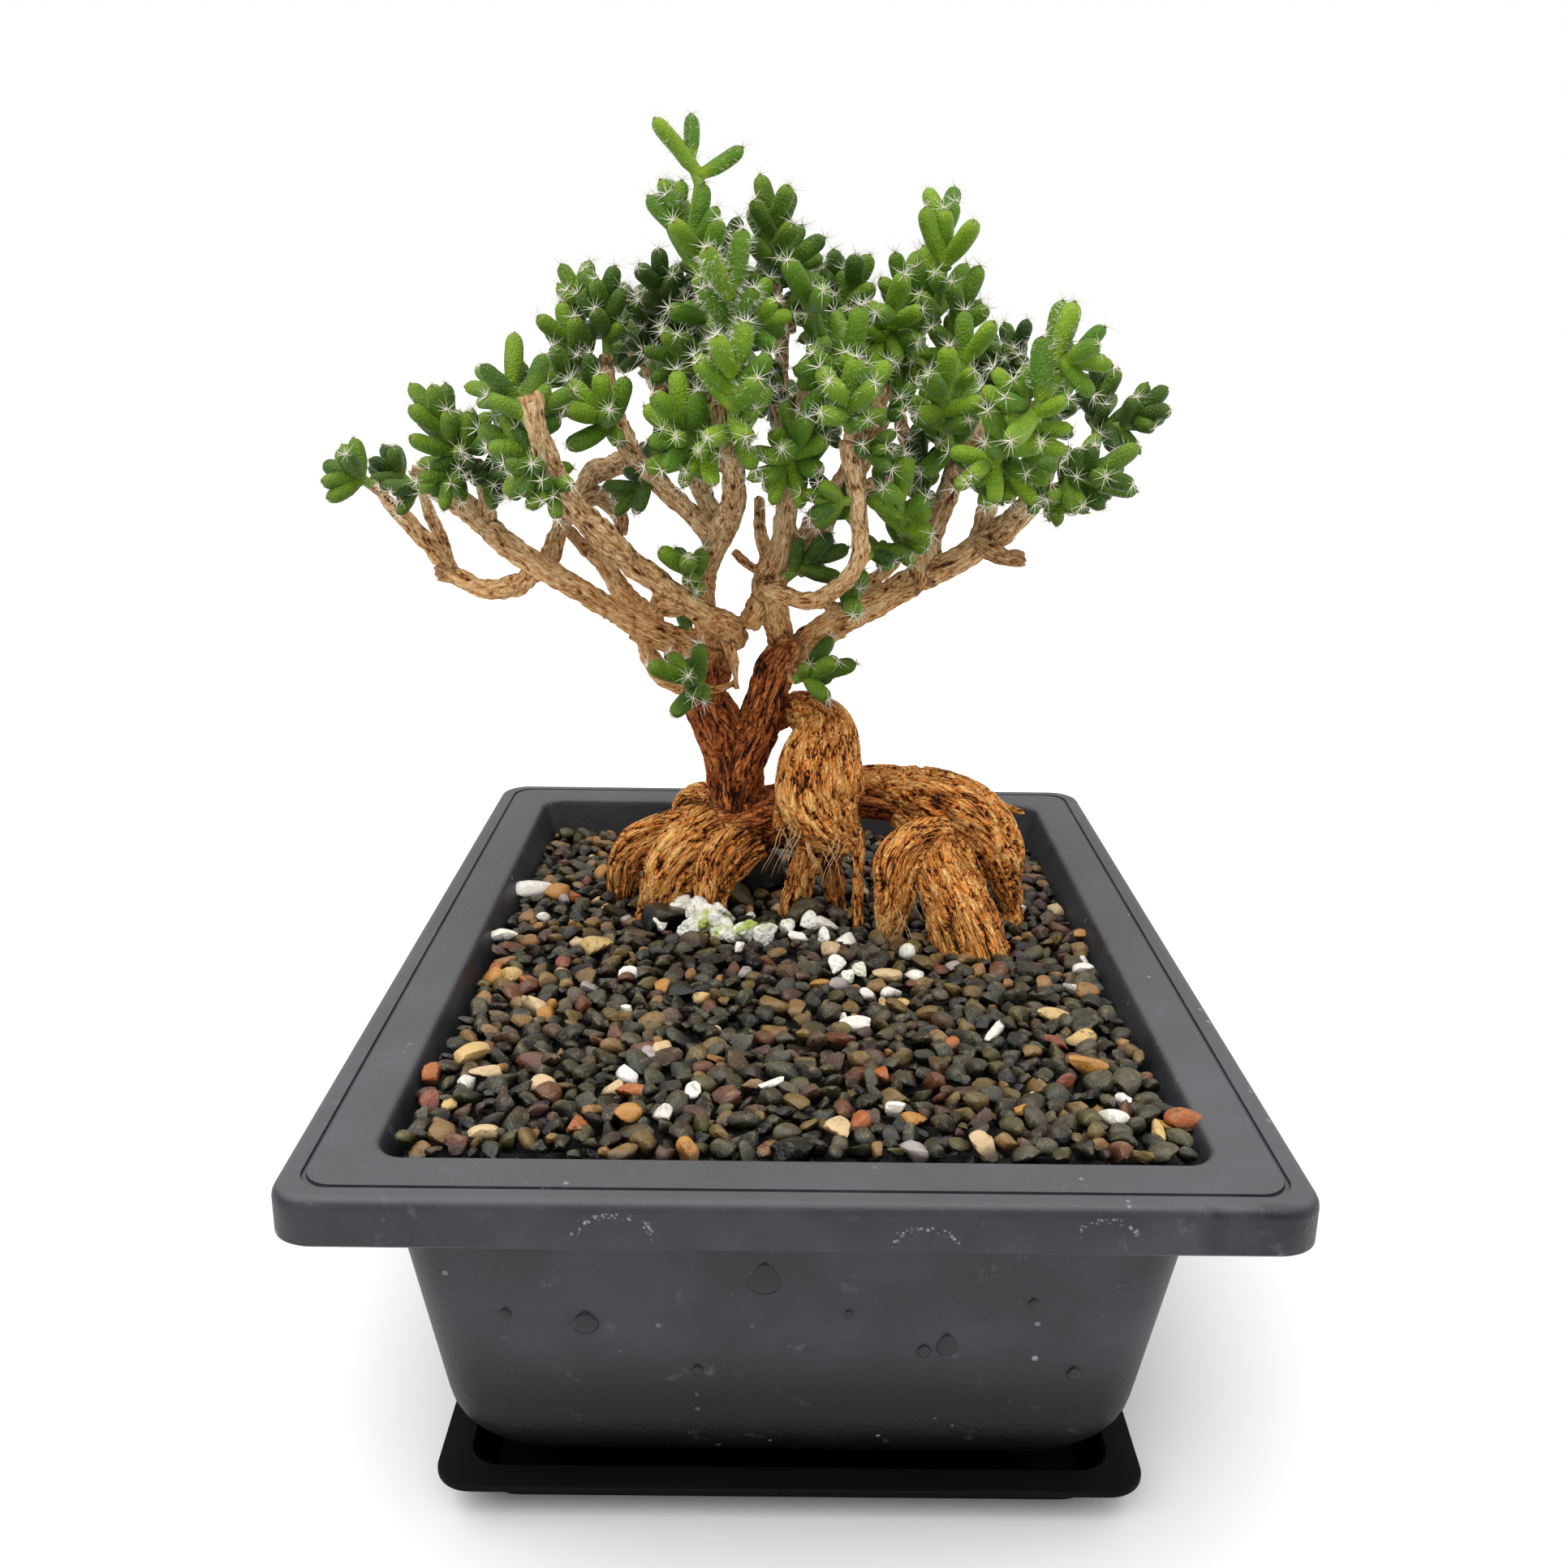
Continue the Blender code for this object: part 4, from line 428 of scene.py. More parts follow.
    def group(self, tree: bpy.types.NodeTree, sockets: dict[str, Any], out: str) -> Any:
        """Places a shared effect, with a value or an output for each of its inputs."""
        return self.place("Group", sockets, out, node_tree=tree)


class Effect(Bench):
    """A shared effect under construction: a node tree of its own with named inputs and outputs."""

    def __init__(self, name: str, inputs: dict[str, str], outputs: dict[str, str]) -> None:
        """Starts an effect.

        Args:
            name: what it is called.
            inputs: name and kind of each input, such as Float or Vector.
            outputs: name and kind of each output.
        """
        super().__init__(bpy.data.node_groups.new(name, "ShaderNodeTree"))
        for side, sockets in (("INPUT", inputs), ("OUTPUT", outputs)):
            for label, kind in sockets.items():
                self.tree.interface.new_socket(name=label, in_out=side, socket_type="NodeSocket" + kind)
        self.given = self.tree.nodes.new("NodeGroupInput").outputs[:len(inputs)]
        self.result = self.tree.nodes.new("NodeGroupOutput").inputs

    def finished(self, *values: Any) -> bpy.types.NodeTree:
        """Joins a value to each output.

        Args:
            values: a socket for each.

        Returns:
            The tree.
        """
        for value, socket in zip(values, self.result):
            self.tree.links.new(value, socket)
        return self.tree


@functools.cache
def moulded_grain() -> bpy.types.NodeTree:
    """Fine leathery grain of moulded plastic. Takes a place and a scale, gives two values from 0 to 1.

    Returns:
        The shared effect.
    """
    bench = Effect("moulded_grain", {"Place": "Vector", "Scale": "Float"},
                   {"Height": "Float", "Cloud": "Float"})
    place, scale = bench.given
    fine = bench.noise(place, scale, 3.0, 0.6)
    pits = bench.cells(place, bench.times(scale, 0.6))
    return bench.finished(bench.scaled(pits, 0.5, fine), bench.noise(place, 70.0, 4.0, 0.6))


@functools.cache
def mineral_specks() -> bpy.types.NodeTree:
    """Scattered pale specks. Takes a place, a scale and a size from 0 to 1, gives Mask.

    Returns:
        The shared effect.
    """
    bench = Effect("mineral_specks", {"Place": "Vector", "Scale": "Float", "Size": "Float"},
                   {"Mask": "Float"})
    place, scale, size = bench.given
    near = bench.cells(place, scale)
    lot = bench.axis(bench.cells(place, scale, "Color"), "X")
    edge = bench.times(size, bench.span(lot, 0.55, 1.0))
    speck = bench.span(bench.less(edge, near), 0.0, 0.05)
    patch = bench.span(bench.noise(place, 60.0, 2.0), 0.45, 0.7)
    return bench.finished(bench.times(speck, patch))


@functools.cache
def water_mark() -> bpy.types.NodeTree:
    """Dotted crescent of a dried drop on the front face. Takes a place, its middle X and Z and its width.

    Returns:
        The shared effect.
    """
    bench = Effect("water_mark", {"Place": "Vector", "X": "Float", "Z": "Float", "Width": "Float"},
                   {"Mask": "Float"})
    place, x, z, width = bench.given
    across = bench.sum("DIVIDE", bench.less(bench.axis(place, "X"), x), width)
    up = bench.sum("DIVIDE", bench.less(bench.axis(place, "Z"), z), bench.times(width, 0.62))
    reach = bench.sum("SQRT", bench.plus(bench.times(across, across), bench.times(up, up)))
    wobble = bench.scaled(bench.noise(place, 900.0), 0.35, -0.17)
    ring = bench.span(bench.size(bench.plus(bench.less(reach, 1.0), wobble)), 0.2, 0.02)
    dots = bench.span(bench.cells(place, 1900.0), 0.5, 0.2)
    upper = bench.span(up, -0.3, 0.5)
    front = bench.span(bench.axis(place, "Y"), -0.0795, -0.0799)
    return bench.finished(bench.times(bench.times(ring, dots), bench.times(upper, front)))


@functools.cache
def stone_mottle() -> bpy.types.NodeTree:
    """Cloudy mottling and fine grains of a stone. Takes a place and a lot number, gives Shade and Height.

    Returns:
        The shared effect.
    """
    bench = Effect("stone_mottle", {"Place": "Vector", "Lot": "Float"}, {"Shade": "Float", "Height": "Float"})
    place, lot = bench.given
    shifted = bench.moved(place, bench.joined(lot, lot, lot))
    clouds = bench.noise(shifted, 520.0, 4.0, 0.62, 0.4)
    grains = bench.noise(shifted, 2600.0, 2.0, 0.6)
    shade = bench.scaled(grains, 0.35, bench.times(clouds, 0.75))
    return bench.finished(shade, bench.scaled(grains, 0.4, clouds))


@functools.cache
def leaf_papillae() -> bpy.types.NodeTree:
    """The close net of glistening bumps on a leaf. Takes a place, gives Bump and Glint from 0 to 1.

    Returns:
        The shared effect.
    """
    bench = Effect("leaf_papillae", {"Place": "Vector"}, {"Bump": "Float", "Glint": "Float"})
    place = bench.given[0]
    near = bench.cells(place, 2300.0)
    lot = bench.axis(bench.cells(place, 2300.0, "Color"), "X")
    glint = bench.times(bench.span(near, 0.3, 0.08), bench.span(lot, 0.35, 1.0))
    return bench.finished(bench.span(near, 0.62, 0.05), glint)


class Finish:
    """A material under construction, with its shader at hand."""

    def __init__(self, name: str, **fixed: Any) -> None:
        """Starts a material.

        Args:
            name: what it is called.
            fixed: the shader's values that are the same all over, with _ for each space.
        """
        self.material = bpy.data.materials.new(name)
        self.material.use_nodes = True
        self.bench = Bench(self.material.node_tree)
        self.shader = self.material.node_tree.nodes["Principled BSDF"]
        for key, value in fixed.items():
            self.shader.inputs[key.replace("_", " ")].default_value = value

    def feed(self, socket: str, output: Any) -> None:
        """Joins an output to one of the shader's inputs."""
        self.bench.tree.links.new(output, self.shader.inputs[socket])

    def relief(self, height: Any, depth: float, strength: float = 1.0) -> None:
        """Raises the surface by a height from 0 to 1, over a depth in millimetres."""
        sockets = {"Height": height, "Distance": depth * MM, "Strength": strength}
        self.feed("Normal", self.bench.place("Bump", sockets, "Normal"))


@dataclass(frozen=True)
class PotPlastic:
    """Charcoal plastic with leathery grain, mineral specks, dried water marks, a damp patch on the rim,
    painted light on top and painted shade at the foot.
    """

    colour: Numbers = srgb(57, 58, 63)
    dark: Numbers = srgb(40, 41, 45)
    chalk: Numbers = srgb(150, 152, 156)
    marks: tuple[tuple[float, float, float], ...] = ((-20.8, 52.6, 4.6), (14.6, 52.0, 3.6), (35.3, 53.4, 3.4))

    def material(self) -> bpy.types.Material:
        """Builds the material.

        Returns:
            The material.
        """
        finish = Finish("pot_plastic", Specular_IOR_Level=0.3)
        bench, here = finish.bench, finish.bench.here()
        grain = bench.group(moulded_grain(), {"Place": here, "Scale": 1700.0}, "Height")
        cloud = grain.node.outputs["Cloud"]
        colour = bench.mix(bench.span(cloud, 0.3, 0.75), self.dark, self.colour)
        # Painted light: faces that look up are mixed towards a pale grey, as if lit from above.
        up = bench.span(bench.axis(bench.place("NewGeometry", out="Normal"), "Z"), 0.6, 0.98, 0.0, 0.3)
        colour = bench.mix(up, colour, srgb(132, 133, 135))
        # Painted shade: the body turns near-black towards its foot, where little light reaches it.
        low = bench.span(bench.axis(here, "Z"), 0.017, 0.031, 0.97, 0.0)
        colour = bench.mix(low, colour, srgb(3, 3, 4))
        front = bench.span(bench.axis(here, "Y"), -0.078, -0.0799)
        darkening = bench.times(bench.span(bench.axis(here, "X"), 0.040, 0.048), front)
        darkening = bench.times(darkening, bench.span(bench.noise(here, 160.0, 3.0, 0.6), 0.38, 0.56))
        colour = bench.mix(bench.times(darkening, 0.7), colour, srgb(24, 25, 31))
        chalk = bench.group(mineral_specks(), {"Place": here, "Scale": 420.0, "Size": 0.2}, "Mask")
        for x, z, width in self.marks:
            sockets = {"Place": here, "X": x * MM, "Z": z * MM, "Width": width * MM}
            chalk = bench.most(chalk, bench.group(water_mark(), sockets, "Mask"))
        haze = bench.times(bench.span(bench.noise(here, 230.0, 5.0, 0.7), 0.6, 0.8), 0.22)
        chalk = bench.most(bench.times(chalk, 0.75), haze)
        finish.feed("Base Color", bench.mix(chalk, colour, self.chalk))
        rough = bench.scaled(cloud, 0.22, 0.40)
        finish.feed("Roughness", bench.less(rough, bench.times(darkening, 0.22)))
        finish.relief(grain, 0.12, 0.75)
        return finish.material


@dataclass(frozen=True)
class TrayPlastic:
    """Near-black plastic of the drip tray, a little shinier than the pot, with dust specks and a painted
    highlight along the top edge.
    """

    colour: Numbers = srgb(4, 4, 6)
    dust_and_highlight: Numbers = srgb(56, 57, 62)

    def material(self) -> bpy.types.Material:
        """Builds the material.

        Returns:
            The material.
        """
        finish = Finish("tray_plastic", Specular_IOR_Level=0.06)
        bench, here = finish.bench, finish.bench.here()
        grain = bench.group(moulded_grain(), {"Place": here, "Scale": 3000.0}, "Height")
        specks = bench.group(mineral_specks(), {"Place": here, "Scale": 520.0, "Size": 0.16}, "Mask")
        # Painted highlight: a pale line along the top edge of the flange, in the same colour as the dust
        # specks.
        edge = bench.times(bench.span(bench.axis(here, "Z"), 0.0054, 0.0059), 0.1)
        finish.feed("Base Color", bench.mix(bench.most(specks, edge), self.colour, self.dust_and_highlight))
        finish.feed("Roughness", bench.scaled(grain.node.outputs["Cloud"], 0.2, 0.42))
        finish.relief(grain, 0.04, 0.4)
        return finish.material


@dataclass(frozen=True)
class WetPlastic:
    """Pot plastic under a drop of water: darker and glossy."""

    colour: Numbers = srgb(22, 23, 27)

    def material(self) -> bpy.types.Material:
        """Builds the material.

        Returns:
            The material.
        """
        finish = Finish("wet_plastic", Roughness=0.12, Specular_IOR_Level=0.3)
        bench = finish.bench
        cloud = bench.noise(bench.here(), 700.0)
        finish.feed("Base Color", bench.mix(cloud, self.colour, srgb(38, 39, 45)))
        return finish.material


@dataclass(frozen=True)
class EarthFinish:
    """Dark crumbly earth between and under the stones."""

    name: str
    light: Numbers
    dark: Numbers

    def material(self) -> bpy.types.Material:
        """Builds the material.

        Returns:
            The material.
        """
        finish = Finish(self.name, Roughness=0.9)
        bench, here = finish.bench, finish.bench.here()
        crumb = bench.noise(here, 900.0, 5.0, 0.65)
        finish.feed("Base Color", bench.mix(bench.span(crumb, 0.35, 0.7), self.dark, self.light))
        finish.relief(crumb, 0.6, 0.8)
        return finish.material


@dataclass(frozen=True)
class StoneFinish:
    """Damp-looking rounded stones of several colours, drawn by the lot number that each stone carries, with
    painted shade towards each stone's foot and painted light on its top.
    """

    name: str
    palette: Table
    rough: float

    def material(self) -> bpy.types.Material:
        """Builds the material.

        Returns:
            The material.
        """
        finish = Finish(self.name, Specular_IOR_Level=0.4)
        bench, here, lot = finish.bench, finish.bench.here(), finish.bench.value("lot")
        stops = [(i / len(self.palette), colour) for i, colour in enumerate(self.palette)]
        base = bench.ramp(lot, stops, True)
        shade = bench.group(stone_mottle(), {"Place": here, "Lot": lot}, "Shade")
        light = bench.mix(0.45, base, srgb(190, 170, 124))
        colour = bench.mix(bench.span(shade, 0.56, 0.78, 0.0, 0.75), base, light)
        deep = bench.mix(0.8, base, srgb(8, 7, 6))
        colour = bench.mix(bench.span(shade, 0.53, 0.34, 0.0, 0.85), colour, deep)
        # Painted shade and light: each stone is darkened towards its foot and lightened on its top, by its
        # height within the stone.
        darkening = bench.span(bench.value("rise"), 0.5, -0.15, 0.0, 0.82)
        colour = bench.mix(bench.span(bench.value("rise"), 0.35, 0.8, 0.0, 0.12), colour, light)
        colour = bench.mix(darkening, colour, srgb(5, 5, 4))
        finish.feed("Base Color", colour)
        finish.feed("Roughness", bench.span(shade, 0.3, 0.8, self.rough - 0.14, self.rough + 0.2))
        finish.relief(shade.node.outputs["Height"], 0.3, 0.9)
        return finish.material


@dataclass(frozen=True)
class PumiceFinish:
    """White porous lumps with grey hollows and a yellow-green bloom of algae on the lower parts."""

    white: Numbers = srgb(244, 241, 232)
    grey: Numbers = srgb(150, 148, 136)
    green: Numbers = srgb(176, 190, 96)

    def material(self) -> bpy.types.Material:
        """Builds the material.

        Returns:
            The material.
        """
        finish = Finish("pumice", Roughness=0.88)
        bench, here, lot = finish.bench, finish.bench.here(), finish.bench.value("lot")
        pores = bench.cells(here, 1300.0)
        clouds = bench.noise(here, 420.0, 4.0, 0.6)
        colour = bench.mix(bench.span(pores, 0.32, 0.08, 0.0, 0.75), self.white, self.grey)
        colour = bench.mix(bench.span(clouds, 0.52, 0.75, 0.0, 0.5), colour, srgb(196, 186, 160))
        bloom = bench.times(bench.span(bench.noise(here, 300.0, 2.0), 0.45, 0.62), lot)
        colour = bench.mix(bloom, colour, self.green)
        finish.feed("Base Color", colour)
        finish.relief(bench.plus(pores, clouds), 0.3, 0.8)
        return finish.material


@dataclass(frozen=True)
class Bark:
    """Fibrous bark: golden brown on the roots, red-brown on the trunk and tan on the branches."""

    root: Table = (srgb(50, 20, 4), srgb(236, 136, 50), srgb(255, 204, 124))
    trunk: Table = (srgb(26, 9, 3), srgb(154, 70, 24), srgb(222, 136, 70))
    limb: Table = (srgb(72, 41, 18), srgb(192, 142, 90), srgb(244, 212, 164))

    def shade(self, bench: Bench, value: Any, colours: Table) -> Any:
        """One kind of bark from its darkest to its palest colour."""
        return bench.ramp(value, [(0.04, colours[0]), (0.4, colours[1]), (0.95, colours[2])])

    def hollows(self, bench: Bench, grain: Any, woody: Any) -> Any:
        """Thin cracks, seams and pits, from 0 to 1 where they are deepest.

        Args:
            bench: the material's tree.
            grain: the place along and round the member, in millimetres.
            woody: 0 on roots and trunk and 1 on branches.

        Returns:
            The socket of their depth.
        """
        tone = bench.value("tone")
        # Cracks are narrow bands round the middle value of a long drawn noise.
        band = bench.noise(bench.stretch(grain, 1.0, 1.0, 0.13), 0.8, 2.0, 0.5, 1.5)
        thin = bench.noise(bench.stretch(grain, 1.0, 1.0, 0.28), 1.7, 2.0, 0.55, 0.8)
        net = bench.span(bench.apart(thin, 0.5), 0.035, 0.0)
        crack = bench.most(bench.span(bench.apart(band, 0.5), 0.04, 0.008), bench.times(net, 0.6))
        crack = bench.times(crack, bench.span(tone, 0.5, 1.0, 1.0, 0.5))
        # Roots and trunk have flat plates with dark seams between them.
        wobble = bench.scaled(bench.noise(bench.stretch(grain, 1.0, 1.0, 0.3), 0.55, 3.0), 3.0, -1.5)
        laid = bench.moved(bench.stretch(grain, 0.7, 0.7, 0.2), bench.joined(wobble, wobble, 0.0))
        seam = bench.span(bench.cells(laid, 0.9, "Distance", "DISTANCE_TO_EDGE"), 0.13, 0.0)
        seam = bench.times(seam, bench.less(1.0, woody))
        # Branches have small dark pits.
        spots = bench.stretch(grain, 1.0, 1.0, 0.6)
        lot = bench.axis(bench.cells(spots, 0.55, "Color"), "X")
        pit = bench.span(bench.less(bench.cells(spots, 0.55), bench.times(lot, 0.16)), 0.06, -0.02)
        pit = bench.times(bench.times(pit, bench.span(lot, 0.5, 0.8)), woody)
        return bench.most(bench.most(crack, pit), bench.times(seam, 0.75))

    def material(self) -> bpy.types.Material:
        """Builds the material.

        Returns:
            The material.
        """
        finish = Finish("bark", Roughness=0.82, Specular_IOR_Level=0.25)
        bench, here = finish.bench, finish.bench.here()
        grain, tone = bench.value("grain", "Vector"), bench.value("tone")
        height = bench.axis(here, "Z")
        woody = bench.span(tone, 0.55, 0.95)
        fibres = bench.noise(bench.stretch(grain, 1.0, 1.0, 0.12), 2.2, 3.0, 0.55, 0.8)
        cork = bench.noise(bench.stretch(grain, 1.0, 1.0, 0.3), 2.6, 4.0, 0.65, 0.4)
        ridged = bench.place("Mix", {0: woody, 2: fibres, 3: cork}, 0)
        hollow = self.hollows(bench, grain, woody)
        light = bench.span(ridged, 0.32, 0.72, 0.44, 1.25)
        light = bench.less(light, bench.times(bench.value("furrow"), 0.6))
        light = bench.less(light, bench.times(hollow, 0.55))
        light = bench.scaled(bench.less(bench.noise(here, 150.0, 3.0), 0.5), 0.8, light)
        light = bench.place("Clamp", {0: light})
        root = self.shade(bench, light, self.root)
        colour = bench.mix(bench.span(tone, 0.05, 0.45), root, self.shade(bench, light, self.trunk))
        warm = bench.span(height, 0.126, 0.100, 0.0, 0.5)
        limb = bench.mix(warm, self.shade(bench, light, self.limb), root)
        colour = bench.mix(woody, colour, limb)
        far = bench.times(bench.span(bench.axis(here, "Y"), 0.028, 0.05, 0.0, 0.45), woody)
        colour = bench.mix(far, colour, srgb(104, 98, 86))
        patches = bench.span(bench.noise(here, 330.0, 3.0), 0.52, 0.7, 0.0, 0.4)
        moss = bench.times(bench.span(height, 0.0625, 0.056), patches)
        colour = bench.mix(moss, colour, srgb(112, 112, 30))
        colour = bench.mix(bench.times(bench.value("cut"), 0.6), colour, srgb(206, 150, 100))
        finish.feed("Base Color", colour)
        finish.relief(bench.less(ridged, bench.times(hollow, 0.8)), 0.55, 1.0)
        return finish.material


@dataclass(frozen=True)
class LeafFinish:
    """Fleshy leaf skin with glistening papillae, paler and yellower at its foot, with painted glints and
    painted shade on faces that look down.
    """

    name: str
    colour: Numbers
    deep: Numbers
    foot: Numbers
    glint: Numbers

    def material(self) -> bpy.types.Material:
        """Builds the material.

        Returns:
            The material.
        """
        finish = Finish(self.name, Roughness=0.5, Specular_IOR_Level=0.3, Subsurface_Weight=0.15,
                        Subsurface_Scale=0.0012, Sheen_Weight=0.08, Sheen_Roughness=0.35)
        finish.shader.inputs["Subsurface Radius"].default_value = (0.5, 1.0, 0.2)
        bench, here = finish.bench, finish.bench.here()
        along, lot = bench.value("along"), bench.value("lot")
        bump = bench.group(leaf_papillae(), {"Place": here}, "Bump")
        glint = bump.node.outputs["Glint"]
        cloud = bench.noise(here, 260.0, 3.0)
        mixed = bench.scaled(cloud, 0.9, bench.scaled(lot, 0.6, -0.35))
        colour = bench.mix(bench.span(mixed, 0.1, 0.75), self.deep, self.colour)
        # Painted shade: faces that look down are mixed towards the deep green.
        under = bench.axis(bench.place("NewGeometry", out="Normal"), "Z")
        colour = bench.mix(bench.span(under, 0.3, -0.7, 0.0, 0.6), colour, self.deep)
        colour = bench.mix(bench.span(along, 0.34, 0.0, 0.0, 0.75), colour, self.foot)
        colour = bench.mix(bench.span(along, 0.93, 1.0, 0.0, 0.35), colour, srgb(150, 140, 70))
        colour = bench.mix(bench.times(bump, 0.6), bench.mix(0.6, colour, self.deep), colour)
        # Painted highlight: pale glints of the papillae mixed into the colour.
        finish.feed("Base Color", bench.mix(bench.times(glint, 0.5), colour, self.glint))
        finish.relief(bump, 0.2, 0.9)
        return finish.material


@dataclass(frozen=True)
class FibreFinish:
    """Fine stiff growth such as bristles and rootlets, a little uneven along its length."""

    name: str
    colour: Numbers
    shadow: Numbers
    rough: float = 0.45

    def material(self) -> bpy.types.Material:
        """Builds the material.

        Returns:
            The material.
        """
        finish = Finish(self.name, Roughness=self.rough)
        bench = finish.bench
        finish.feed("Base Color", bench.mix(bench.noise(bench.here(), 1500.0), self.shadow, self.colour))
        return finish.material


class Heap:
    """Collects many small shapes into one mesh, each with its finish and with values for its points."""

    def __init__(self) -> None:
        """Starts empty."""
        self.points: list[np.ndarray] = []
        self.faces: list[tuple[np.ndarray, int]] = []
        self.values: dict[str, list[tuple[int, np.ndarray]]] = {}
        self.count = 0

    def add(self, points: Any, faces: Sequence[Any], slot: int = 0, **values: Any) -> None:
        """Adds one shape.

        Args:
            points: its points in millimetres.
            faces: arrays of point numbers, each array with faces of one size.
            slot: number of its finish.
            values: a number or a list of numbers for its points, by name.
        """
        points = np.asarray(points, float).reshape(-1, 3)
        self.faces += [(np.asarray(block, int) + self.count, slot) for block in faces if len(block)]
        for name, value in values.items():
            value = np.asarray(value, float)
            if value.ndim == 0:
                value = np.full(len(points), float(value))
            self.values.setdefault(name, []).append((self.count, value))
        self.points.append(points)
        self.count += len(points)

    def build(self, name: str, materials: Sequence[bpy.types.Material] = (),
              sharp: float = 50.0) -> bpy.types.Object:
        """Makes the object, inside the box of the solids.

        Args:
            name: the piece's name.
            materials: one for each slot.
            sharp: angle in degrees from which an edge stays sharp.

        Returns:
            The object, linked to the scene.
        """
        low, high = (np.array(corner) for corner in CAD_BOX)
        points = np.clip(np.concatenate(self.points) * MM, low + INSIDE * MM, high - INSIDE * MM)
        mesh = bpy.data.meshes.new(name)
        mesh.vertices.add(len(points))
        mesh.vertices.foreach_set("co", points.astype(np.float32).ravel())
        sizes = np.concatenate([np.full(len(block), block.shape[1]) for block, _ in self.faces])
        loops = np.concatenate([block.ravel() for block, _ in self.faces])
        mesh.loops.add(len(loops))
        mesh.loops.foreach_set("vertex_index", loops.astype(np.int32))
        mesh.polygons.add(len(sizes))
        mesh.polygons.foreach_set("loop_start", np.concatenate([[0], np.cumsum(sizes)[:-1]]).astype(np.int32))
        slots = np.concatenate([np.full(len(block), slot) for block, slot in self.faces])
        mesh.polygons.foreach_set("material_index", slots.astype(np.int32))
        mesh.update(calc_edges=True)
        mesh.validate()
        for label, parts in self.values.items():
            whole = np.zeros(self.count, np.float32)
            for start, value in parts:
                whole[start:start + len(value)] = value
            mesh.attributes.new(label, "FLOAT", "POINT").data.foreach_set("value", whole)
        for material in materials:
            mesh.materials.append(material)
        mesh.shade_smooth()
        mesh.set_sharp_from_angle(angle=math.radians(sharp))
        obj = bpy.data.objects.new(name, mesh)
        bpy.context.scene.collection.objects.link(obj)
        return obj


def skin(rings: Any, start: Any = None, end: Any = None) -> tuple[np.ndarray, list[Any]]:
    """A skin over rings of equal length, closed at both ends.

    Args:
        rings: points of each ring, in order round the axis.
        start: a point that closes the first ring, or None for a flat cap.
        end: a point that closes the last ring, or None for a flat cap.

    Returns:
        The points, and arrays of faces.
    """
    rings = np.asarray(rings, float)
    count, size = rings.shape[:2]
    k = np.arange(size)
    j = (k + 1) % size
    base = (np.arange(count - 1) * size)[:, None]
    quads = np.stack([base + k, base + j, base + size + j, base + size + k], -1).reshape(-1, 4)
    points, faces, last = [rings.reshape(-1, 3)], [quads], (count - 1) * size
    if start is None:
        faces.append(k[::-1][None])
    else:
        faces.append(np.stack([np.full(size, count * size), j, k], -1))
        points.append(np.asarray(start, float).reshape(1, 3))
    if end is None:
        faces.append((last + k)[None])
    else:
        faces.append(np.stack([np.full(size, count * size + (start is not None)), last + k, last + j], -1))
        points.append(np.asarray(end, float).reshape(1, 3))
    return np.concatenate(points), faces


def frames_along(path: Sequence[Vector]) -> list[tuple[Vector, Vector, Vector]]:
    """Directions at each point of a path, without twist from one point to the next.

    Args:
        path: the points.

    Returns:
        The direction and two side vectors for each point.
    """
    tangents = []
    for i in range(len(path)):
        step = path[min(i + 1, len(path) - 1)] - path[max(i - 1, 0)]
        tangents.append(step.normalized())
    side = tangents[0].orthogonal().normalized()
    frames = []
    for tangent in tangents:
        side = (side - tangent * side.dot(tangent)).normalized()
        frames.append((tangent, side, tangent.cross(side)))
    return frames


def ring_round(at: Vector, u: Vector, v: Vector, reach: float, sides: int) -> list[Vector]:
    """Points of a circle.

    Args:
        at: its middle.
        u: one direction in its plane.
        v: the direction across it.
        reach: its radius.
        sides: how many points.

    Returns:
        The points.
    """
    return [at + (u * math.cos(math.tau * k / sides) + v * math.sin(math.tau * k / sides)) * reach
            for k in range(sides)]


def thread(heap: Heap, path: Sequence[Vector], thick: float, slot: int = 0, sides: int = 3) -> None:
    """Adds a fine tapering thread, such as a bristle or a rootlet.

    Args:
        heap: where it goes.
        path: its points, of which the last is its tip.
        thick: its radius at the root.
        slot: number of its finish.
        sides: sides of its section.
    """
    frames = frames_along(path)
    count = len(path) - 1
    rings = [ring_round(path[i], frames[i][1], frames[i][2], thick * (1 - 0.75 * i / count), sides)
             for i in range(count)]
    heap.add(*skin(rings, path[0] - frames[0][0] * thick, path[-1]), slot=slot)


def inside_share(start: Vector, tip: Vector) -> float:
    """How much of a straight line fits into the box of the solids.

    Args:
        start: where it starts, inside the box.
        tip: where it ends.

    Returns:
        A share from 0 to 1.
    """
    share = 1.0
    for axis in range(3):
        low, high = CAD_BOX[0][axis] / MM + INSIDE, CAD_BOX[1][axis] / MM - INSIDE
        if tip[axis] > high and tip[axis] > start[axis]:
            share = min(share, max(0.0, (high - start[axis]) / (tip[axis] - start[axis])))
        if tip[axis] < low and tip[axis] < start[axis]:
            share = min(share, max(0.0, (start[axis] - low) / (start[axis] - tip[axis])))
    return share


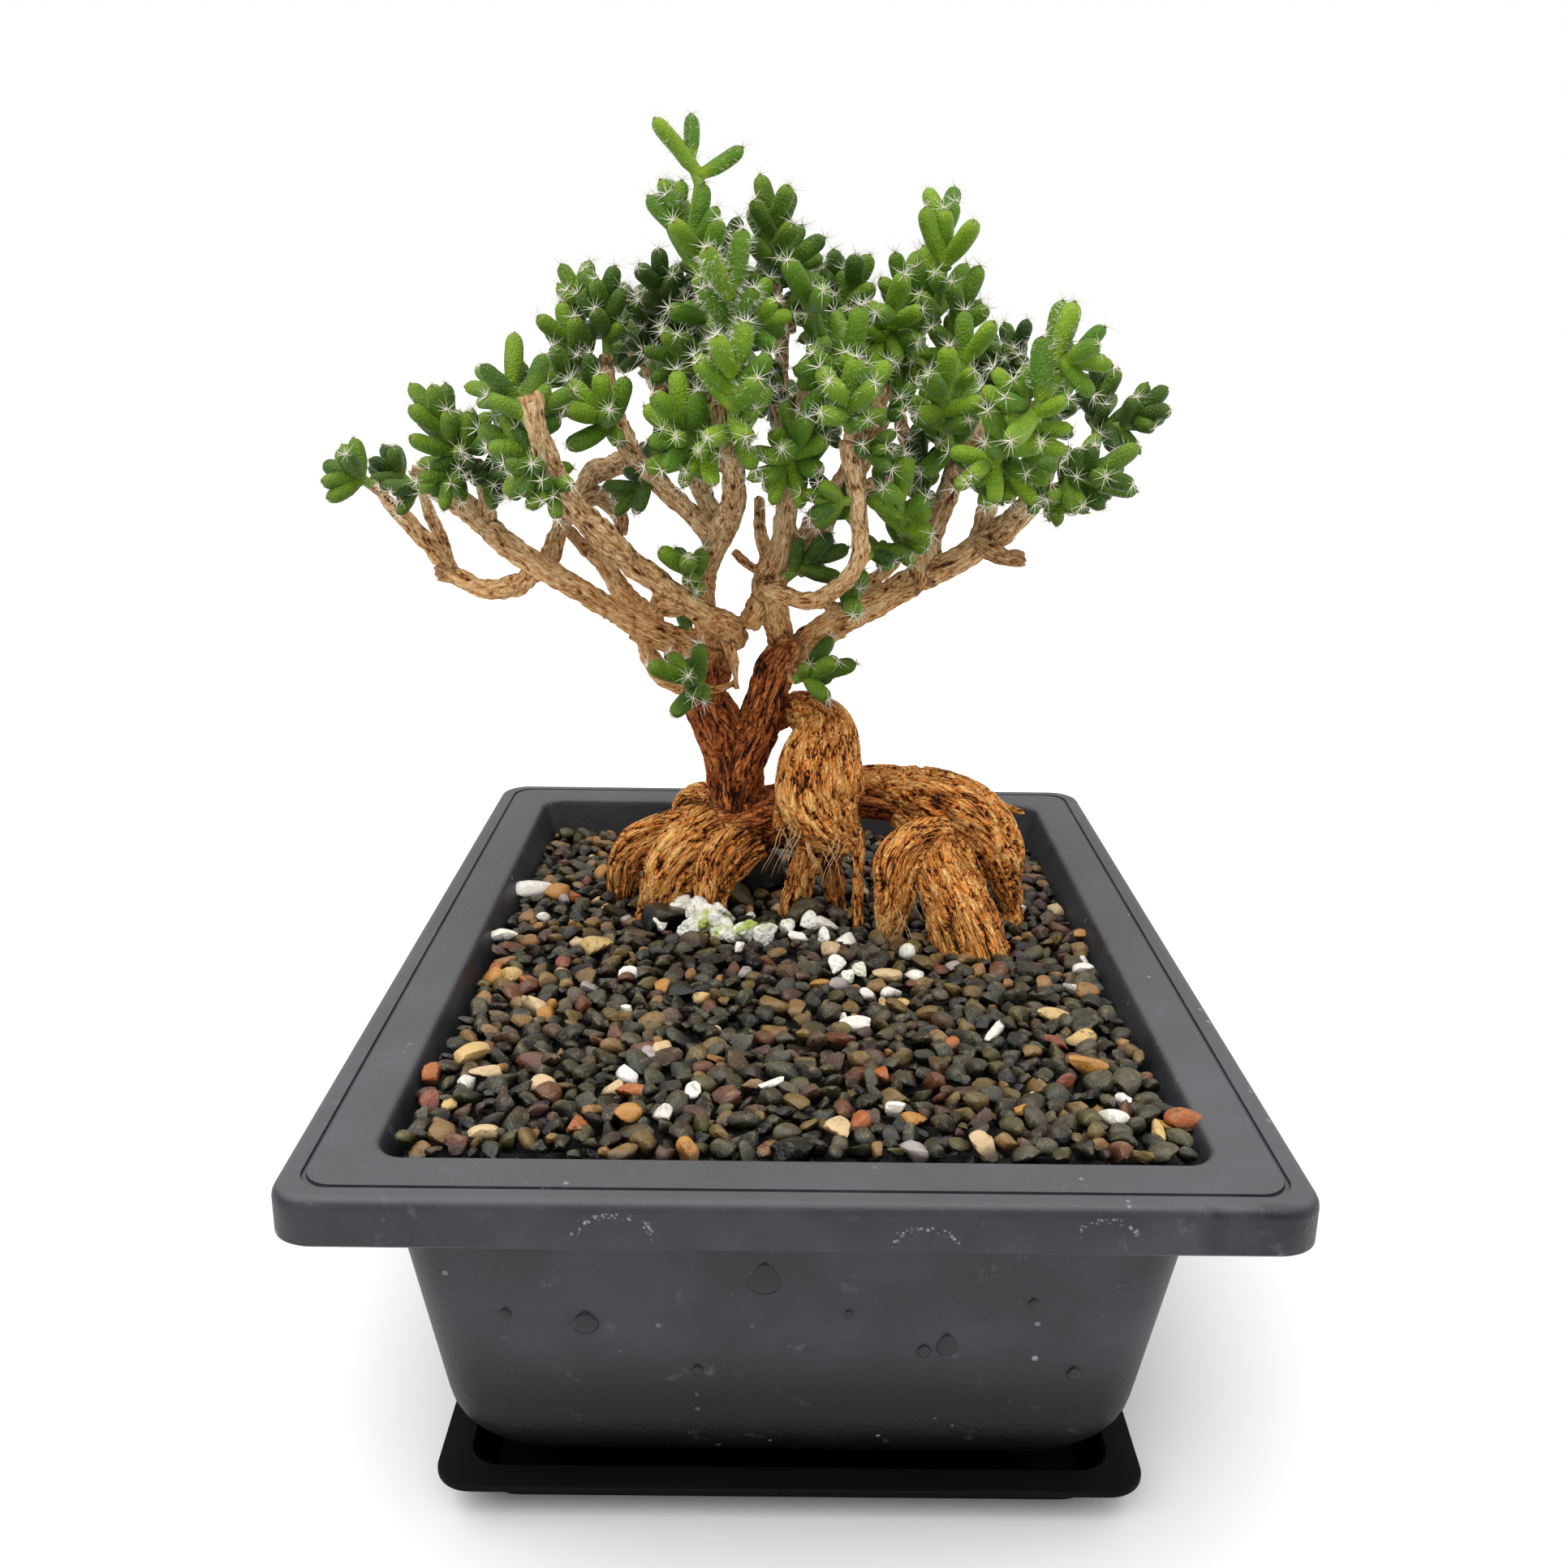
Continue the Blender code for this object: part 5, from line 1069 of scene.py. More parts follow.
def smooth_path(points: Sequence[Sequence[float]], step: float) -> list[list[float]]:
    """Rows resampled along a smooth curve through all of them.

    Args:
        points: rows of x, y, z and radius.
        step: distance between two samples, in millimetres.

    Returns:
        The new rows.
    """
    rows = np.array(points, float)
    wide = np.vstack([2 * rows[0] - rows[1], rows, 2 * rows[-1] - rows[-2]])
    made = []
    for i in range(len(rows) - 1):
        a, b, c, d = wide[i:i + 4]
        count = max(1, round(float(np.linalg.norm(c[:3] - b[:3])) / step))
        for t in np.arange(count) / count:
            made.append(0.5 * (2 * b + (c - a) * t + (2 * a - 5 * b + 4 * c - d) * t**2
                               + (3 * b - a - 3 * c + d) * t**3))
    made.append(rows[-1])
    return [list(row) for row in made]


def ride(obj: bpy.types.Object, *nodes: str) -> bpy.types.Object:
    """Fixes a piece to the body and reports it.

    Args:
        obj: the piece.
        nodes: the solids that it stands for.

    Returns:
        The piece.
    """
    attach(obj, "root")
    if nodes:
        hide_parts(*nodes)
    obj.data.calc_loop_triangles()
    log.info("%s: %d triangles", obj.name, len(obj.data.loop_triangles))
    return obj


def apply_modifiers(obj: bpy.types.Object) -> None:
    """Replaces the mesh of an object by its modified one, and drops the modifiers.

    Args:
        obj: the object.
    """
    graph = bpy.context.evaluated_depsgraph_get()
    mesh = bpy.data.meshes.new_from_object(obj.evaluated_get(graph))
    obj.modifiers.clear()
    obj.data = mesh


def coat(obj: bpy.types.Object, material: bpy.types.Material) -> None:
    """Gives an object one material in place of those it has."""
    obj.data.materials.clear()
    obj.data.materials.append(material)


def cut_out(obj: bpy.types.Object, cutters: Sequence[bpy.types.Object]) -> None:
    """Takes other objects out of one, and removes them.

    Args:
        obj: what stays.
        cutters: what is taken out.
    """
    group = bpy.data.collections.new("cutters")
    bpy.context.scene.collection.children.link(group)
    for cutter in cutters:
        bpy.context.scene.collection.objects.unlink(cutter)
        group.objects.link(cutter)
    boolean = obj.modifiers.new("cut", "BOOLEAN")
    boolean.operation, boolean.solver = "DIFFERENCE", "MANIFOLD"
    boolean.operand_type, boolean.collection = "COLLECTION", group
    apply_modifiers(obj)
    for cutter in cutters:
        bpy.data.objects.remove(cutter)
    bpy.data.collections.remove(group)


def rounded_rectangle(half_x: float, half_y: float, radius: float, z: float, steps: int = 12) -> list[tuple]:
    """A level ring of points round a rectangle with rounded corners.

    Args:
        half_x: half its width.
        half_y: half its length.
        radius: radius of its corners.
        z: its level.
        steps: how finely a corner is divided.

    Returns:
        The points.
    """
    ring = []
    for turn, (sx, sy) in enumerate(((1, 1), (-1, 1), (-1, -1), (1, -1))):
        for k in range(steps + 1):
            angle = math.radians(90 * turn + 90 * k / steps)
            ring.append((sx * (half_x - radius) + radius * math.cos(angle),
                         sy * (half_y - radius) + radius * math.sin(angle), z))
    return ring


@dataclass
class Tray:
    """The drip tray: a shallow dish with a narrow flat flange."""

    longer: float = 19.5
    half: float = 47.0
    top: float = 6.1
    base_half: float = 42.0
    flange: float = 4.2
    thick: float = 1.0
    floor: float = 1.5
    corner: float = 5.0

    def build(self) -> None:
        """Builds the tray over its solid."""
        inner, base = self.half - self.flange, self.base_half - 1.6
        rows = [
            (self.base_half - 1.0, 0.0, 5.0), (self.base_half - 0.3, 0.15, 5.1), (self.base_half, 0.6, 5.2),
            (inner + 0.9, self.top - self.thick, 4.6), (self.half - 0.2, self.top - self.thick, self.corner),
            (self.half, self.top - self.thick + 0.2, self.corner), (self.half, self.top - 0.3, self.corner),
            (self.half - 0.1, self.top - 0.1, self.corner), (self.half - 0.3, self.top, self.corner),
            (inner + 0.2, self.top, 4.4), (inner, self.top - 0.4, 4.3), (base, self.floor + 0.8, 4.3),
            (base - 0.3, self.floor + 0.2, 4.1), (base - 0.8, self.floor, 4.0),
        ]
        heap = Heap()
        heap.add(*skin([rounded_rectangle(half, half + self.longer, corner, z) for half, z, corner in rows]))
        ride(heap.build("drip_tray", [TrayPlastic().material()], 35), "tray")


@dataclass
class Pot:
    """The rectangular training pot with its broad rim, grooved edge and rounded foot, and its drops."""

    longer: float = 19.5
    rim_half: float = 60.5
    rim_top: float = 57.0
    rim_under: float = 50.9
    corner: float = 5.0
    fillet: float = 1.5
    lip: float = 1.2
    opening_half: float = 50.1
    groove_in: float = 2.9
    groove_wide: float = 0.6
    groove_deep: float = 0.4
    body_half: float = 50.0
    draft: float = 0.125
    foot_half: float = 28.0
    foot_z: float = 1.8
    foot_radius: float = 17.6
    wall: float = 1.8
    drain_radius: float = 4.0
    drain_at: tuple[float, float] = (15.0, 30.0)
    drop_sides: int = 20
    drop_sunk: float = 0.05
    # Drops on the front as (x, z, half width, height upwards, height downwards).
    drops: Table = (
        (-3.6, 38.4, 2.0, 2.6, 1.9), (-26.0, 31.6, 1.7, 1.6, 1.6), (16.7, 27.6, 0.9, 0.9, 1.0),
        (19.5, 28.2, 1.3, 1.9, 1.2), (-36.0, 33.0, 0.8, 0.8, 0.8), (30.0, 35.5, 0.7, 0.7, 0.9),
        (-12.0, 24.0, 0.7, 0.7, 0.8), (7.0, 33.5, 0.6, 0.6, 0.7), (36.0, 24.0, 0.9, 1.0, 0.9))

    def inner_half(self, z: float) -> float:
        """Half width of the inside.

        Args:
            z: a level above the foot.

        Returns:
            Half the width there.
        """
        bend = self.body_half - self.wall
        if z > self.rim_under:
            rise = (z - self.rim_under) / (self.rim_top - self.lip - self.rim_under)
            return bend + (self.opening_half - bend) * rise
        return bend - self.draft * (self.rim_under - z)

    def foot_rows(self, offset: float, steps: int = 12) -> list[tuple[float, float, float]]:
        """The section of the rounded foot, from above to its underside.

        Args:
            offset: how far it is moved inwards.
            steps: how finely it is divided.

        Returns:
            Half width, level and corner radius of each row.
        """
        radius, rows = self.foot_radius - offset, []
        for k in range(steps + 1):
            angle = math.radians(-7 - 83 * k / steps)
            half = self.foot_half + radius * math.cos(angle)
            rows.append((half, self.foot_z + self.foot_radius + radius * math.sin(angle),
                         self.corner + (self.body_half - half) * 0.35))
        return rows

    def rows(self) -> list[tuple[float, float, float]]:
        """The section of the wall, all the way round.

        Returns:
            Half width, level and corner radius of each row.
        """
        rows = list(reversed(self.foot_rows(0.0)))
        rows += [(half, z, self.corner) for half, z in (
            (self.body_half, self.rim_under), (self.rim_half - 0.3, self.rim_under),
            (self.rim_half, self.rim_under + 0.3), (self.rim_half, self.rim_top - self.fillet))]
        for angle in (18, 36, 54, 72, 90):
            inset = self.fillet * (1 - math.cos(math.radians(angle)))
            rise = self.fillet * (1 - math.sin(math.radians(angle)))
            rows.append((self.rim_half - inset, self.rim_top - rise, self.corner - 0.5 * inset))
        groove = self.rim_half - self.groove_in
        for inset, down in ((0.0, 0.0), (0.1, self.groove_deep), (self.groove_wide - 0.1, self.groove_deep),
                            (self.groove_wide, 0.0)):
            rows.append((groove - inset, self.rim_top - down, 3.6))
        for angle in (90, 68, 45, 22, 0):
            inset = self.lip * (1 - math.cos(math.radians(angle)))
            rise = self.lip * (1 - math.sin(math.radians(angle)))
            rows.append((self.opening_half + inset, self.rim_top - rise, 4.0))
        rows.append((self.inner_half(self.rim_under), self.rim_under, 4.0))
        return rows + [(half, z, corner - 1.0) for half, z, corner in self.foot_rows(self.wall)]

    def build(self) -> None:
        """Builds the pot over its solid, with its drain holes, and the drops."""
        heap = Heap()
        heap.add(*skin([rounded_rectangle(half, half + self.longer, corner, z)
                        for half, z, corner in self.rows()]))
        pot = heap.build("training_pot")
        drains = []
        for sx in (-1, 1):
            for sy in (-1, 1):
                hole = Heap()
                at = Vector((sx * self.drain_at[0], sy * self.drain_at[1], 0))
                x, y = Vector((1, 0, 0)), Vector((0, 1, 0))
                hole.add(*skin([ring_round(at + Vector((0, 0, z)), x, y, self.drain_radius, 32)
                                for z in (self.foot_z - 1.7, self.foot_z + self.wall + 2)]))
                drains.append(hole.build("drain"))
        cut_out(pot, drains)
        coat(pot, PotPlastic().material())
        pot.data.shade_smooth()
        pot.data.set_sharp_from_angle(angle=math.radians(35))
        ride(pot, "pot")
        self.build_drops()

    def front(self, z: float, rise: float) -> float:
        """Y of a point that stands out of the front face at a level."""
        return -(self.body_half - self.draft * (self.rim_under - z) + self.longer) - rise + self.drop_sunk

    def build_drops(self) -> None:
        """Water drops that cling to the front: low domes, some drawn out upwards."""
        heap = Heap()
        for x, z, wide, up, down in self.drops:
            rings, small = [], min(1.0, wide / 1.5)
            for share, rise in ((1.0, 0.0), (0.93, 0.14), (0.72, 0.3), (0.4, 0.4)):
                ring = []
                for k in range(self.drop_sides):
                    angle = math.tau * k / self.drop_sides
                    tall = up * (1.25 - 0.25 * abs(math.cos(angle))) if math.sin(angle) > 0 else down
                    px = x + wide * share * math.cos(angle) * (1 - 0.3 * max(0.0, math.sin(angle)))
                    pz = z + tall * share * math.sin(angle)
                    ring.append((px, self.front(pz, rise * small), pz))
                rings.append(ring)
            heap.add(*skin(rings, None, (x, self.front(z, 0.44 * small), z)))
        ride(heap.build("water_drops", [WetPlastic().material()], 80))


def clearance(start: Any, end: Any, radius: float, segments: Sequence[tuple]) -> float:
    """Free space between one round bar and others, by the nearest points of their centre lines.

    Args:
        start: where the bar starts.
        end: where it ends.
        radius: its radius.
        segments: the others as (start, end, radius).

    Returns:
        The smallest gap, below 0 where bars cross.
    """
    p, q = np.array(start, float), np.array(end, float)
    starts = np.array([s[0] for s in segments], float)
    ends = np.array([s[1] for s in segments], float)
    radii = np.array([s[2] for s in segments], float)
    d1, d2, r = q - p, ends - starts, p - starts
    a, e = max(float(d1 @ d1), 1e-9), np.maximum((d2 * d2).sum(1), 1e-9)
    b, c, f = d2 @ d1, r @ d1, (d2 * r).sum(1)
    bottom = a * e - b * b
    s = np.where(bottom > 1e-9, np.clip((b * f - c * e) / np.where(bottom > 1e-9, bottom, 1), 0, 1), 0.0)
    t = np.clip((b * s + f) / e, 0, 1)
    s = np.clip((b * t - c) / a, 0, 1)
    apart = np.linalg.norm(p + s[:, None] * d1 - starts - t[:, None] * d2, axis=1)
    return float((apart - radii - radius).min())


class WoodLines:
    """Centre lines of everything woody, used to aim the twigs and to keep leaves and stones clear."""

    def __init__(self) -> None:
        """Reads the tables of roots and branches."""
        self.segments: list[tuple] = []
        self.limbs: list[tuple] = []
        for table in (ROOTS, LIMBS):
            for points in table.values():
                for here, there in zip(points, points[1:]):
                    self.add(here[:3], there[:3], max(here[3], there[3]))
        self.roots = [s for s in self.segments if min(s[0][2], s[1][2]) < 64]
        for points in LIMBS.values():
            for here, there in zip(points, points[1:]):
                for k in range(3):
                    share = k / 2
                    self.limbs.append(([here[j] + (there[j] - here[j]) * share for j in range(4)],
                                       [there[j] - here[j] for j in range(3)]))

    def add(self, start: Any, end: Any, radius: float) -> None:
        """Adds one straight piece."""
        self.segments.append((tuple(start), tuple(end), radius))

    def nearest(self, at: Vector) -> tuple:
        """The nearest point (x, y, z, radius) on a branch, and the way the branch runs there."""
        return min(self.limbs, key=lambda row: (Vector(row[0][:3]) - at).length)


def spray_base(name: str, wood: WoodLines) -> tuple[Vector, Vector]:
    """Where a spray leaves its twig, clear of the branches.

    Args:
        name: the spray.
        wood: gives the branches.

    Returns:
        The place, and the direction in which the spray leaves.
    """
    path = SPRAYS[name][0][0]
    base = Vector(path[0])
    axis = (Vector(path[1]) - base).normalized()
    for _ in range(12):
        if clearance(base, base + axis * 0.5, 1.2, wood.segments) >= 0:
            break
        base = base + axis * 0.4
    return base, axis


def twig_points(base: Vector, axis: Vector, wood: WoodLines) -> list[Numbers]:
    """A bent twig from inside the nearest branch to the base of a spray.

    Args:
        base: where the spray starts.
        axis: the direction in which it starts.
        wood: gives the branches.

    Returns:
        Rows of x, y, z and radius.
    """
    (x, y, z, radius), run = wood.nearest(base)
    start, last = Vector((x, y, z)), base - axis * (TWIG_GAP / 2)
    end = last - axis * 0.8
    reach = (end - start).length
    first = start + (Vector(run).normalized() * 0.35 + (end - start).normalized() * 0.65) * reach * 0.35
    second = end - axis * reach * 0.35
    wide = min(radius * 0.8, TWIG_RADIUS * 1.25)
    points = []
    for share in (0.0, 0.5, 1.0) if reach > 3.5 else (0.0, 1.0):
        other = 1 - share
        at = start * other**3 + first * 3 * other**2 * share + second * 3 * other * share**2 + end * share**3
        points.append((*at, wide + (TWIG_RADIUS - wide) * share))
    return points + [(*last, TWIG_RADIUS)]


def stem_path(points: Sequence[tuple], base: Vector, axis: Vector, first: Sequence[tuple]) -> list[Vector]:
    """Path of one green stem. The first stem starts at the base; others of the base start inside it.

    Args:
        points: the stem's points in the table.
        base: where the spray starts.
        axis: the direction in which it starts.
        first: the points of the spray's first stem.

    Returns:
        The points of the path.
    """
    rest = [Vector(p) for p in points[1:]]
    if points[0] != first[0]:
        return [Vector(points[0])] + rest
    start = base + axis * (TWIG_GAP / 2)
    path = [start, start + axis * 1.3] if points is first else [start + axis * 1.2]
    for at in rest:
        if (at - path[-1]).length > 1.2:
            path.append(at)
    return path


def along(path: Sequence[Vector], distance: float) -> tuple[Vector, Vector]:
    """A point along a path.

    Args:
        path: its points.
        distance: how far along it.

    Returns:
        The point, and the direction there.
    """
    for here, there in zip(path, path[1:]):
        step = (there - here).length
        if distance <= step or there is path[-1]:
            break
        distance -= step
    return here + (there - here) * min(distance / step, 1.0), (there - here).normalized()


def leaf_line(root: Vector, axis: Vector, azimuth: float, spread: float, length: float) -> list[Vector]:
    """Three points along the middle of a leaf that leaves a stem and curves up towards its tip.

    Args:
        root: where it leaves the stem.
        axis: the direction of the stem.
        azimuth: its angle round the stem.
        spread: its angle to the stem.
        length: its length.

    Returns:
        Its root, middle and end.
    """
    side = axis.orthogonal().normalized()
    out = side * math.cos(azimuth) + axis.cross(side) * math.sin(azimuth)
    way = axis * math.cos(spread) + out * math.sin(spread)
    rise = (axis - way * axis.dot(way)) * 0.10 * length
    return [root, root + way * length * 0.5 + rise * 0.1, root + way * length * 0.97 + rise]


def leaf_bars(line: Sequence[Vector], thickness: float) -> list[tuple]:
    """The stout part of a leaf, for the clearance test.

    Args:
        line: its root, middle and end.
        thickness: its thickness.

    Returns:
        Two straight bars.
    """
    radius = thickness / 2
    neck = line[0] + (line[1] - line[0]) * 0.5
    shoulder = line[2] - (line[2] - line[1]).normalized() * radius * 0.7
    return [(tuple(neck), tuple(line[1]), radius), (tuple(line[1]), tuple(shoulder), radius)]


# Places that a leaf tries in turn, as (turn and tilt in degrees, share of its length).
TRIES = [(0, 0, 1), (15, 0, 1), (-15, 0, 1), (30, 0, 1), (-30, 0, 1), (0, 12, 1), (0, -14, 1), (0, -8, 0.86),
         (20, -14, 0.86), (-20, -14, 0.86), (0, -20, 0.72), (38, -22, 0.72), (-38, -22, 0.72)]


@dataclass(frozen=True)
class Leaf:
    """One leaf: the points along its middle, its kind, its thickness and the number of its stem."""

    line: list[Vector]
    kind: LeafKind
    thick: float
    stem: int


def path_length(path: Sequence[Vector]) -> float:
    """Length of a path."""
    return sum((there - here).length for here, there in zip(path, path[1:]))


class Growth:
    """Twigs, stems and leaves of every spray. Young sprays choose their place first, and a leaf that finds no
    clear place within a few tries is left out."""

    SLIM = 0.85  # thickness of a dressed leaf as a share of the solid one
    NEAR = -0.4  # how deep the bars of small leaves, stouter than the leaves, may sink into other sprays
    TOUCH = -1.4  # the same for their neighbours on the same stem, at their feet
    SHOOTS = 2  # side shoots that each stem above the lowest branches tries to grow
    LOWEST = 126.0  # height above which sprays have side shoots
    TUFTED = 124.0  # height above which small rosettes grow from the branches
    SLENDER = "top"  # a spray without side shoots
    BARE = (2, 3)  # its stems that have leaves in pairs only
    DWINDLE = 0.8  # size of the leaves of its stems from the first bare one on, as a share of the solid ones
    TUFTS = (("tufts_front", MID, -20.0, 14.0, 8), ("tufts_rear", DARK, 14.0, 60.0, 14))

    def __init__(self, wood: WoodLines) -> None:
        """Grows all sprays.

        Args:
            wood: the woody lines that they grow on, to which their twigs are added.
        """
        bases = {name: spray_base(name, wood) for name in SPRAYS}
        self.wood = wood
        self.twigs = {name: twig_points(*bases[name], wood) for name in SPRAYS}
        for points in self.twigs.values():
            for here, there in zip(points, points[1:]):
                wood.add(here[:3], there[:3], TWIG_RADIUS)
        self.kinds = {name: rows[0][5] for name, rows in SPRAYS.items()}
        self.leaves: dict[str, list[Leaf]] = {name: [] for name in SPRAYS}
        self.stems = {name: [stem_path(row[0], *bases[name], rows[0][0]) for row in rows]
                      for name, rows in SPRAYS.items()}
        self.stem_bars = {name: [(tuple(here), tuple(there), STEM_RADIUS)
                                 for path in paths for here, there in zip(path, path[1:])]
                          for name, paths in self.stems.items()}
        self.leaf_bars: dict[str, list[tuple]] = {name: [] for name in SPRAYS}
        for name in sorted(SPRAYS, key=lambda key: -self.kinds[key].value):
            self.pairs(name)
        for name, rows in SPRAYS.items():
            around = self.others(name), self.leaf_bars[name]
            self.fill(name, *around)
            for row, path in zip(rows, self.stems[name]):
                for _ in range(self.SHOOTS if path[0].z > self.LOWEST and name != self.SLENDER else 0):
                    self.branch_out(name, row[3], row[5], path, around)
        everything = self.others()
        for name, kind, low, high, count in self.TUFTS:
            self.tufts(name, kind, (low, high, count), everything)

    def others(self, but: str = "") -> list[tuple]:
        """The wood and the stems and leaves of the sprays.

        Args:
            but: a spray to leave out.

        Returns:
            All of them as bars.
        """
        bars = list(self.wood.segments)
        for name in SPRAYS:
            if name != but:
                bars += self.stem_bars[name] + self.leaf_bars[name]
        return bars

    def pairs(self, name: str) -> None:
        """Grows the leaves of one spray in pairs that stand across one another, smaller towards the tip.

        Args:
            name: the spray.
        """
        rng, others = random.Random(f"{SEED} {name}"), self.others(name)
        for number, (row, path) in enumerate(zip(SPRAYS[name], self.stems[name])):
            _, pairs, twist, length, spread, kind = row
            whole = path_length(path) - LAST_PAIR
            low = min(FIRST_PAIR, whole * 0.6)
            size = self.DWINDLE if name == self.SLENDER and number >= self.BARE[0] else 1.0
            for i in range(pairs):
                share = 1.0 if pairs == 1 else i / (pairs - 1)
                root, way = along(path, low + (whole - low) * share if pairs > 1 else whole)
                for half in (0, 1):
                    azimuth = twist + 90 * i + 180 * half + rng.uniform(-12, 12)
                    lean = spread * (1.0 - 0.5 * share * (pairs > 1)) + rng.uniform(-5, 5)
                    long = length * (1.0 - 0.14 * share * (pairs > 2)) * rng.uniform(0.92, 1.08)
                    for turn, tilt, scale in TRIES:
                        angles = math.radians(azimuth + turn), math.radians(lean + tilt)
                        line = leaf_line(root, way, *angles, long * scale)
                        bars = leaf_bars(line, kind.value)
                        if min(clearance(*bar, others) for bar in bars) >= GAP:
                            self.leaf_bars[name] += bars
                            line = [root + (at - root) * size for at in line]
                            self.leaves[name].append(Leaf(line, kind, kind.value * self.SLIM * size, number))
                            break

    def place(self, name: str, leaf: Leaf, others: list[tuple], own: list[tuple]) -> bool:
        """Adds a small leaf if it has room.

        Args:
            name: its spray.
            leaf: the leaf.
            others: what it keeps clear of, as bars.
            own: the spray's own leaves as bars, to which it is added.

        Returns:
            Whether it had room.
        """
        bars, line = leaf_bars(leaf.line, leaf.thick), leaf.line
        if (inside_share(line[0], line[2] + (line[2] - line[1]).normalized() * leaf.thick) < 1.0
                or min(clearance(*bar, others) for bar in bars) < self.NEAR
                or own and min(clearance(*bar, own) for bar in bars) < self.TOUCH):
            return False
        own += bars
        self.leaves[name].append(leaf)
        return True

    def fill(self, name: str, others: list[tuple], own: list[tuple]) -> None:
        """Adds smaller leaves to one spray: between and below its pairs and at the tip of each stem.

        Args:
            name: the spray.
            others: everything that they keep clear of, as bars.
            own: the spray's own leaves as bars, to which the new ones are added.
        """
        rng = random.Random(f"{SEED} fill {name}")
        for number, (row, path) in enumerate(zip(SPRAYS[name], self.stems[name])):
            if name == self.SLENDER and number in self.BARE:
                continue
            _, pairs, twist, length, spread, kind = row
            whole = path_length(path)
            low, high = min(FIRST_PAIR, whole * 0.5), whole - LAST_PAIR
            # Places along the stem as (distance, turn, share of the length, share of the spread).
            spots = [(low * 0.45, 45, 0.7, 1.0)]
            spots += [(low + (high - low) * (i + 0.5) / (pairs - 1), 45 + 90 * i, 0.82, 0.9)
                      for i in range(pairs - 1)]
            spots += [(whole - 0.3, 90 * pairs, 0.62, 0.3), (whole - 0.1, 90 * pairs + 60, 0.42, 0.15)]
            for at, turn, scale, open_share in spots:
                root, way = along(path, at)
                for half in (0, 1):
                    for swerve in (0, 24, -24, 45):
                        azimuth = math.radians(twist + turn + swerve + 180 * half + rng.uniform(-14, 14))
                        lean = math.radians(spread * open_share + rng.uniform(-8, 8))
                        line = leaf_line(root, way, azimuth, lean, length * scale * rng.uniform(0.88, 1.1))
                        thick = kind.value * self.SLIM * min(0.92, scale + 0.16)
                        if self.place(name, Leaf(line, kind, thick, number), others, own):
                            break

    def branch_out(self, name: str, length: float, kind: LeafKind, path: Sequence[Vector],
                   around: tuple[list[tuple], list[tuple]]) -> None:
        """Adds a short side shoot with small leaves, towards the freest of a few directions, if it has room.

        Args:
            name: the spray.
            length: length of the leaves on the stem.
            kind: their kind.
            path: the stem or branch that it grows from.
            around: bars to keep clear of, and the spray's own leaves, to which the new ones are added.
        """
        others, own = around
        rng = random.Random(f"{SEED} side {name} {len(self.stems[name])} {len(own)}")
        root, way = along(path, rng.uniform(0.1, 0.9) * path_length(path))
        side, choices = way.orthogonal().normalized(), []
        for _ in range(14):
            angle, lean = rng.uniform(0, math.tau), math.radians(rng.uniform(35, 88))
            out = side * math.cos(angle) + way.cross(side) * math.sin(angle)
            ray, reach = way * math.cos(lean) + out * math.sin(lean), rng.uniform(5.5, 8.5)
            room = clearance(root + ray * 3.2, root + ray * reach, 1.5, others + own)
            choices.append((room, tuple(ray), reach))
        room, ray, reach = max(choices)
        ray = Vector(ray)
        if room < -0.8 or inside_share(root, root + ray * reach) < 1.0:
            return
        number = len(self.stems[name])
        self.stems[name].append([root, root + ray * reach * 0.5])
        turn, length = rng.uniform(0, 180), min(length, 7.4)
        for share, lean, scale in ((0.45, 66, 0.88), (0.75, 56, 0.84), (1.0, 36, 0.72), (1.0, 12, 0.5)):
            turn += 90
            thick = kind.value * self.SLIM * min(0.86, scale + 0.06)
            for half in (0, 1):
                azimuth = math.radians(turn + 180 * half + rng.uniform(-14, 14))
                spread = math.radians(lean + rng.uniform(-8, 8))
                line = leaf_line(root + ray * reach * 0.5 * share, ray, azimuth, spread,
                                 length * scale * rng.uniform(0.9, 1.1))
                self.place(name, Leaf(line, kind, thick, number), others, own)

    def tufts(self, name: str, kind: LeafKind, where: tuple[float, float, int], others: list[tuple]) -> None:
        """Adds small rosettes that grow straight from the upper branches.

        Args:
            name: what the rosettes are called together.
            kind: the kind of their leaves.
            where: how far back they start and end, and how many there are at most.
            others: everything that they keep clear of, as bars, to which their leaves are added.
        """
        low, high, most = where
        self.kinds[name], self.stems[name], self.leaves[name] = kind, [], []
        rng, own = random.Random(f"{SEED} {name}"), []
        spots = [points for points in LIMBS.values() for _ in range(6)]
        rng.shuffle(spots)
        for points in spots:
            path = [Vector(p[:3]) for p in points if p[2] > self.TUFTED and low <= p[1] < high]
            if len(path) > 1 and len(self.stems[name]) < most:
                self.branch_out(name, rng.uniform(6.0, 7.2), kind, path, (others, own))


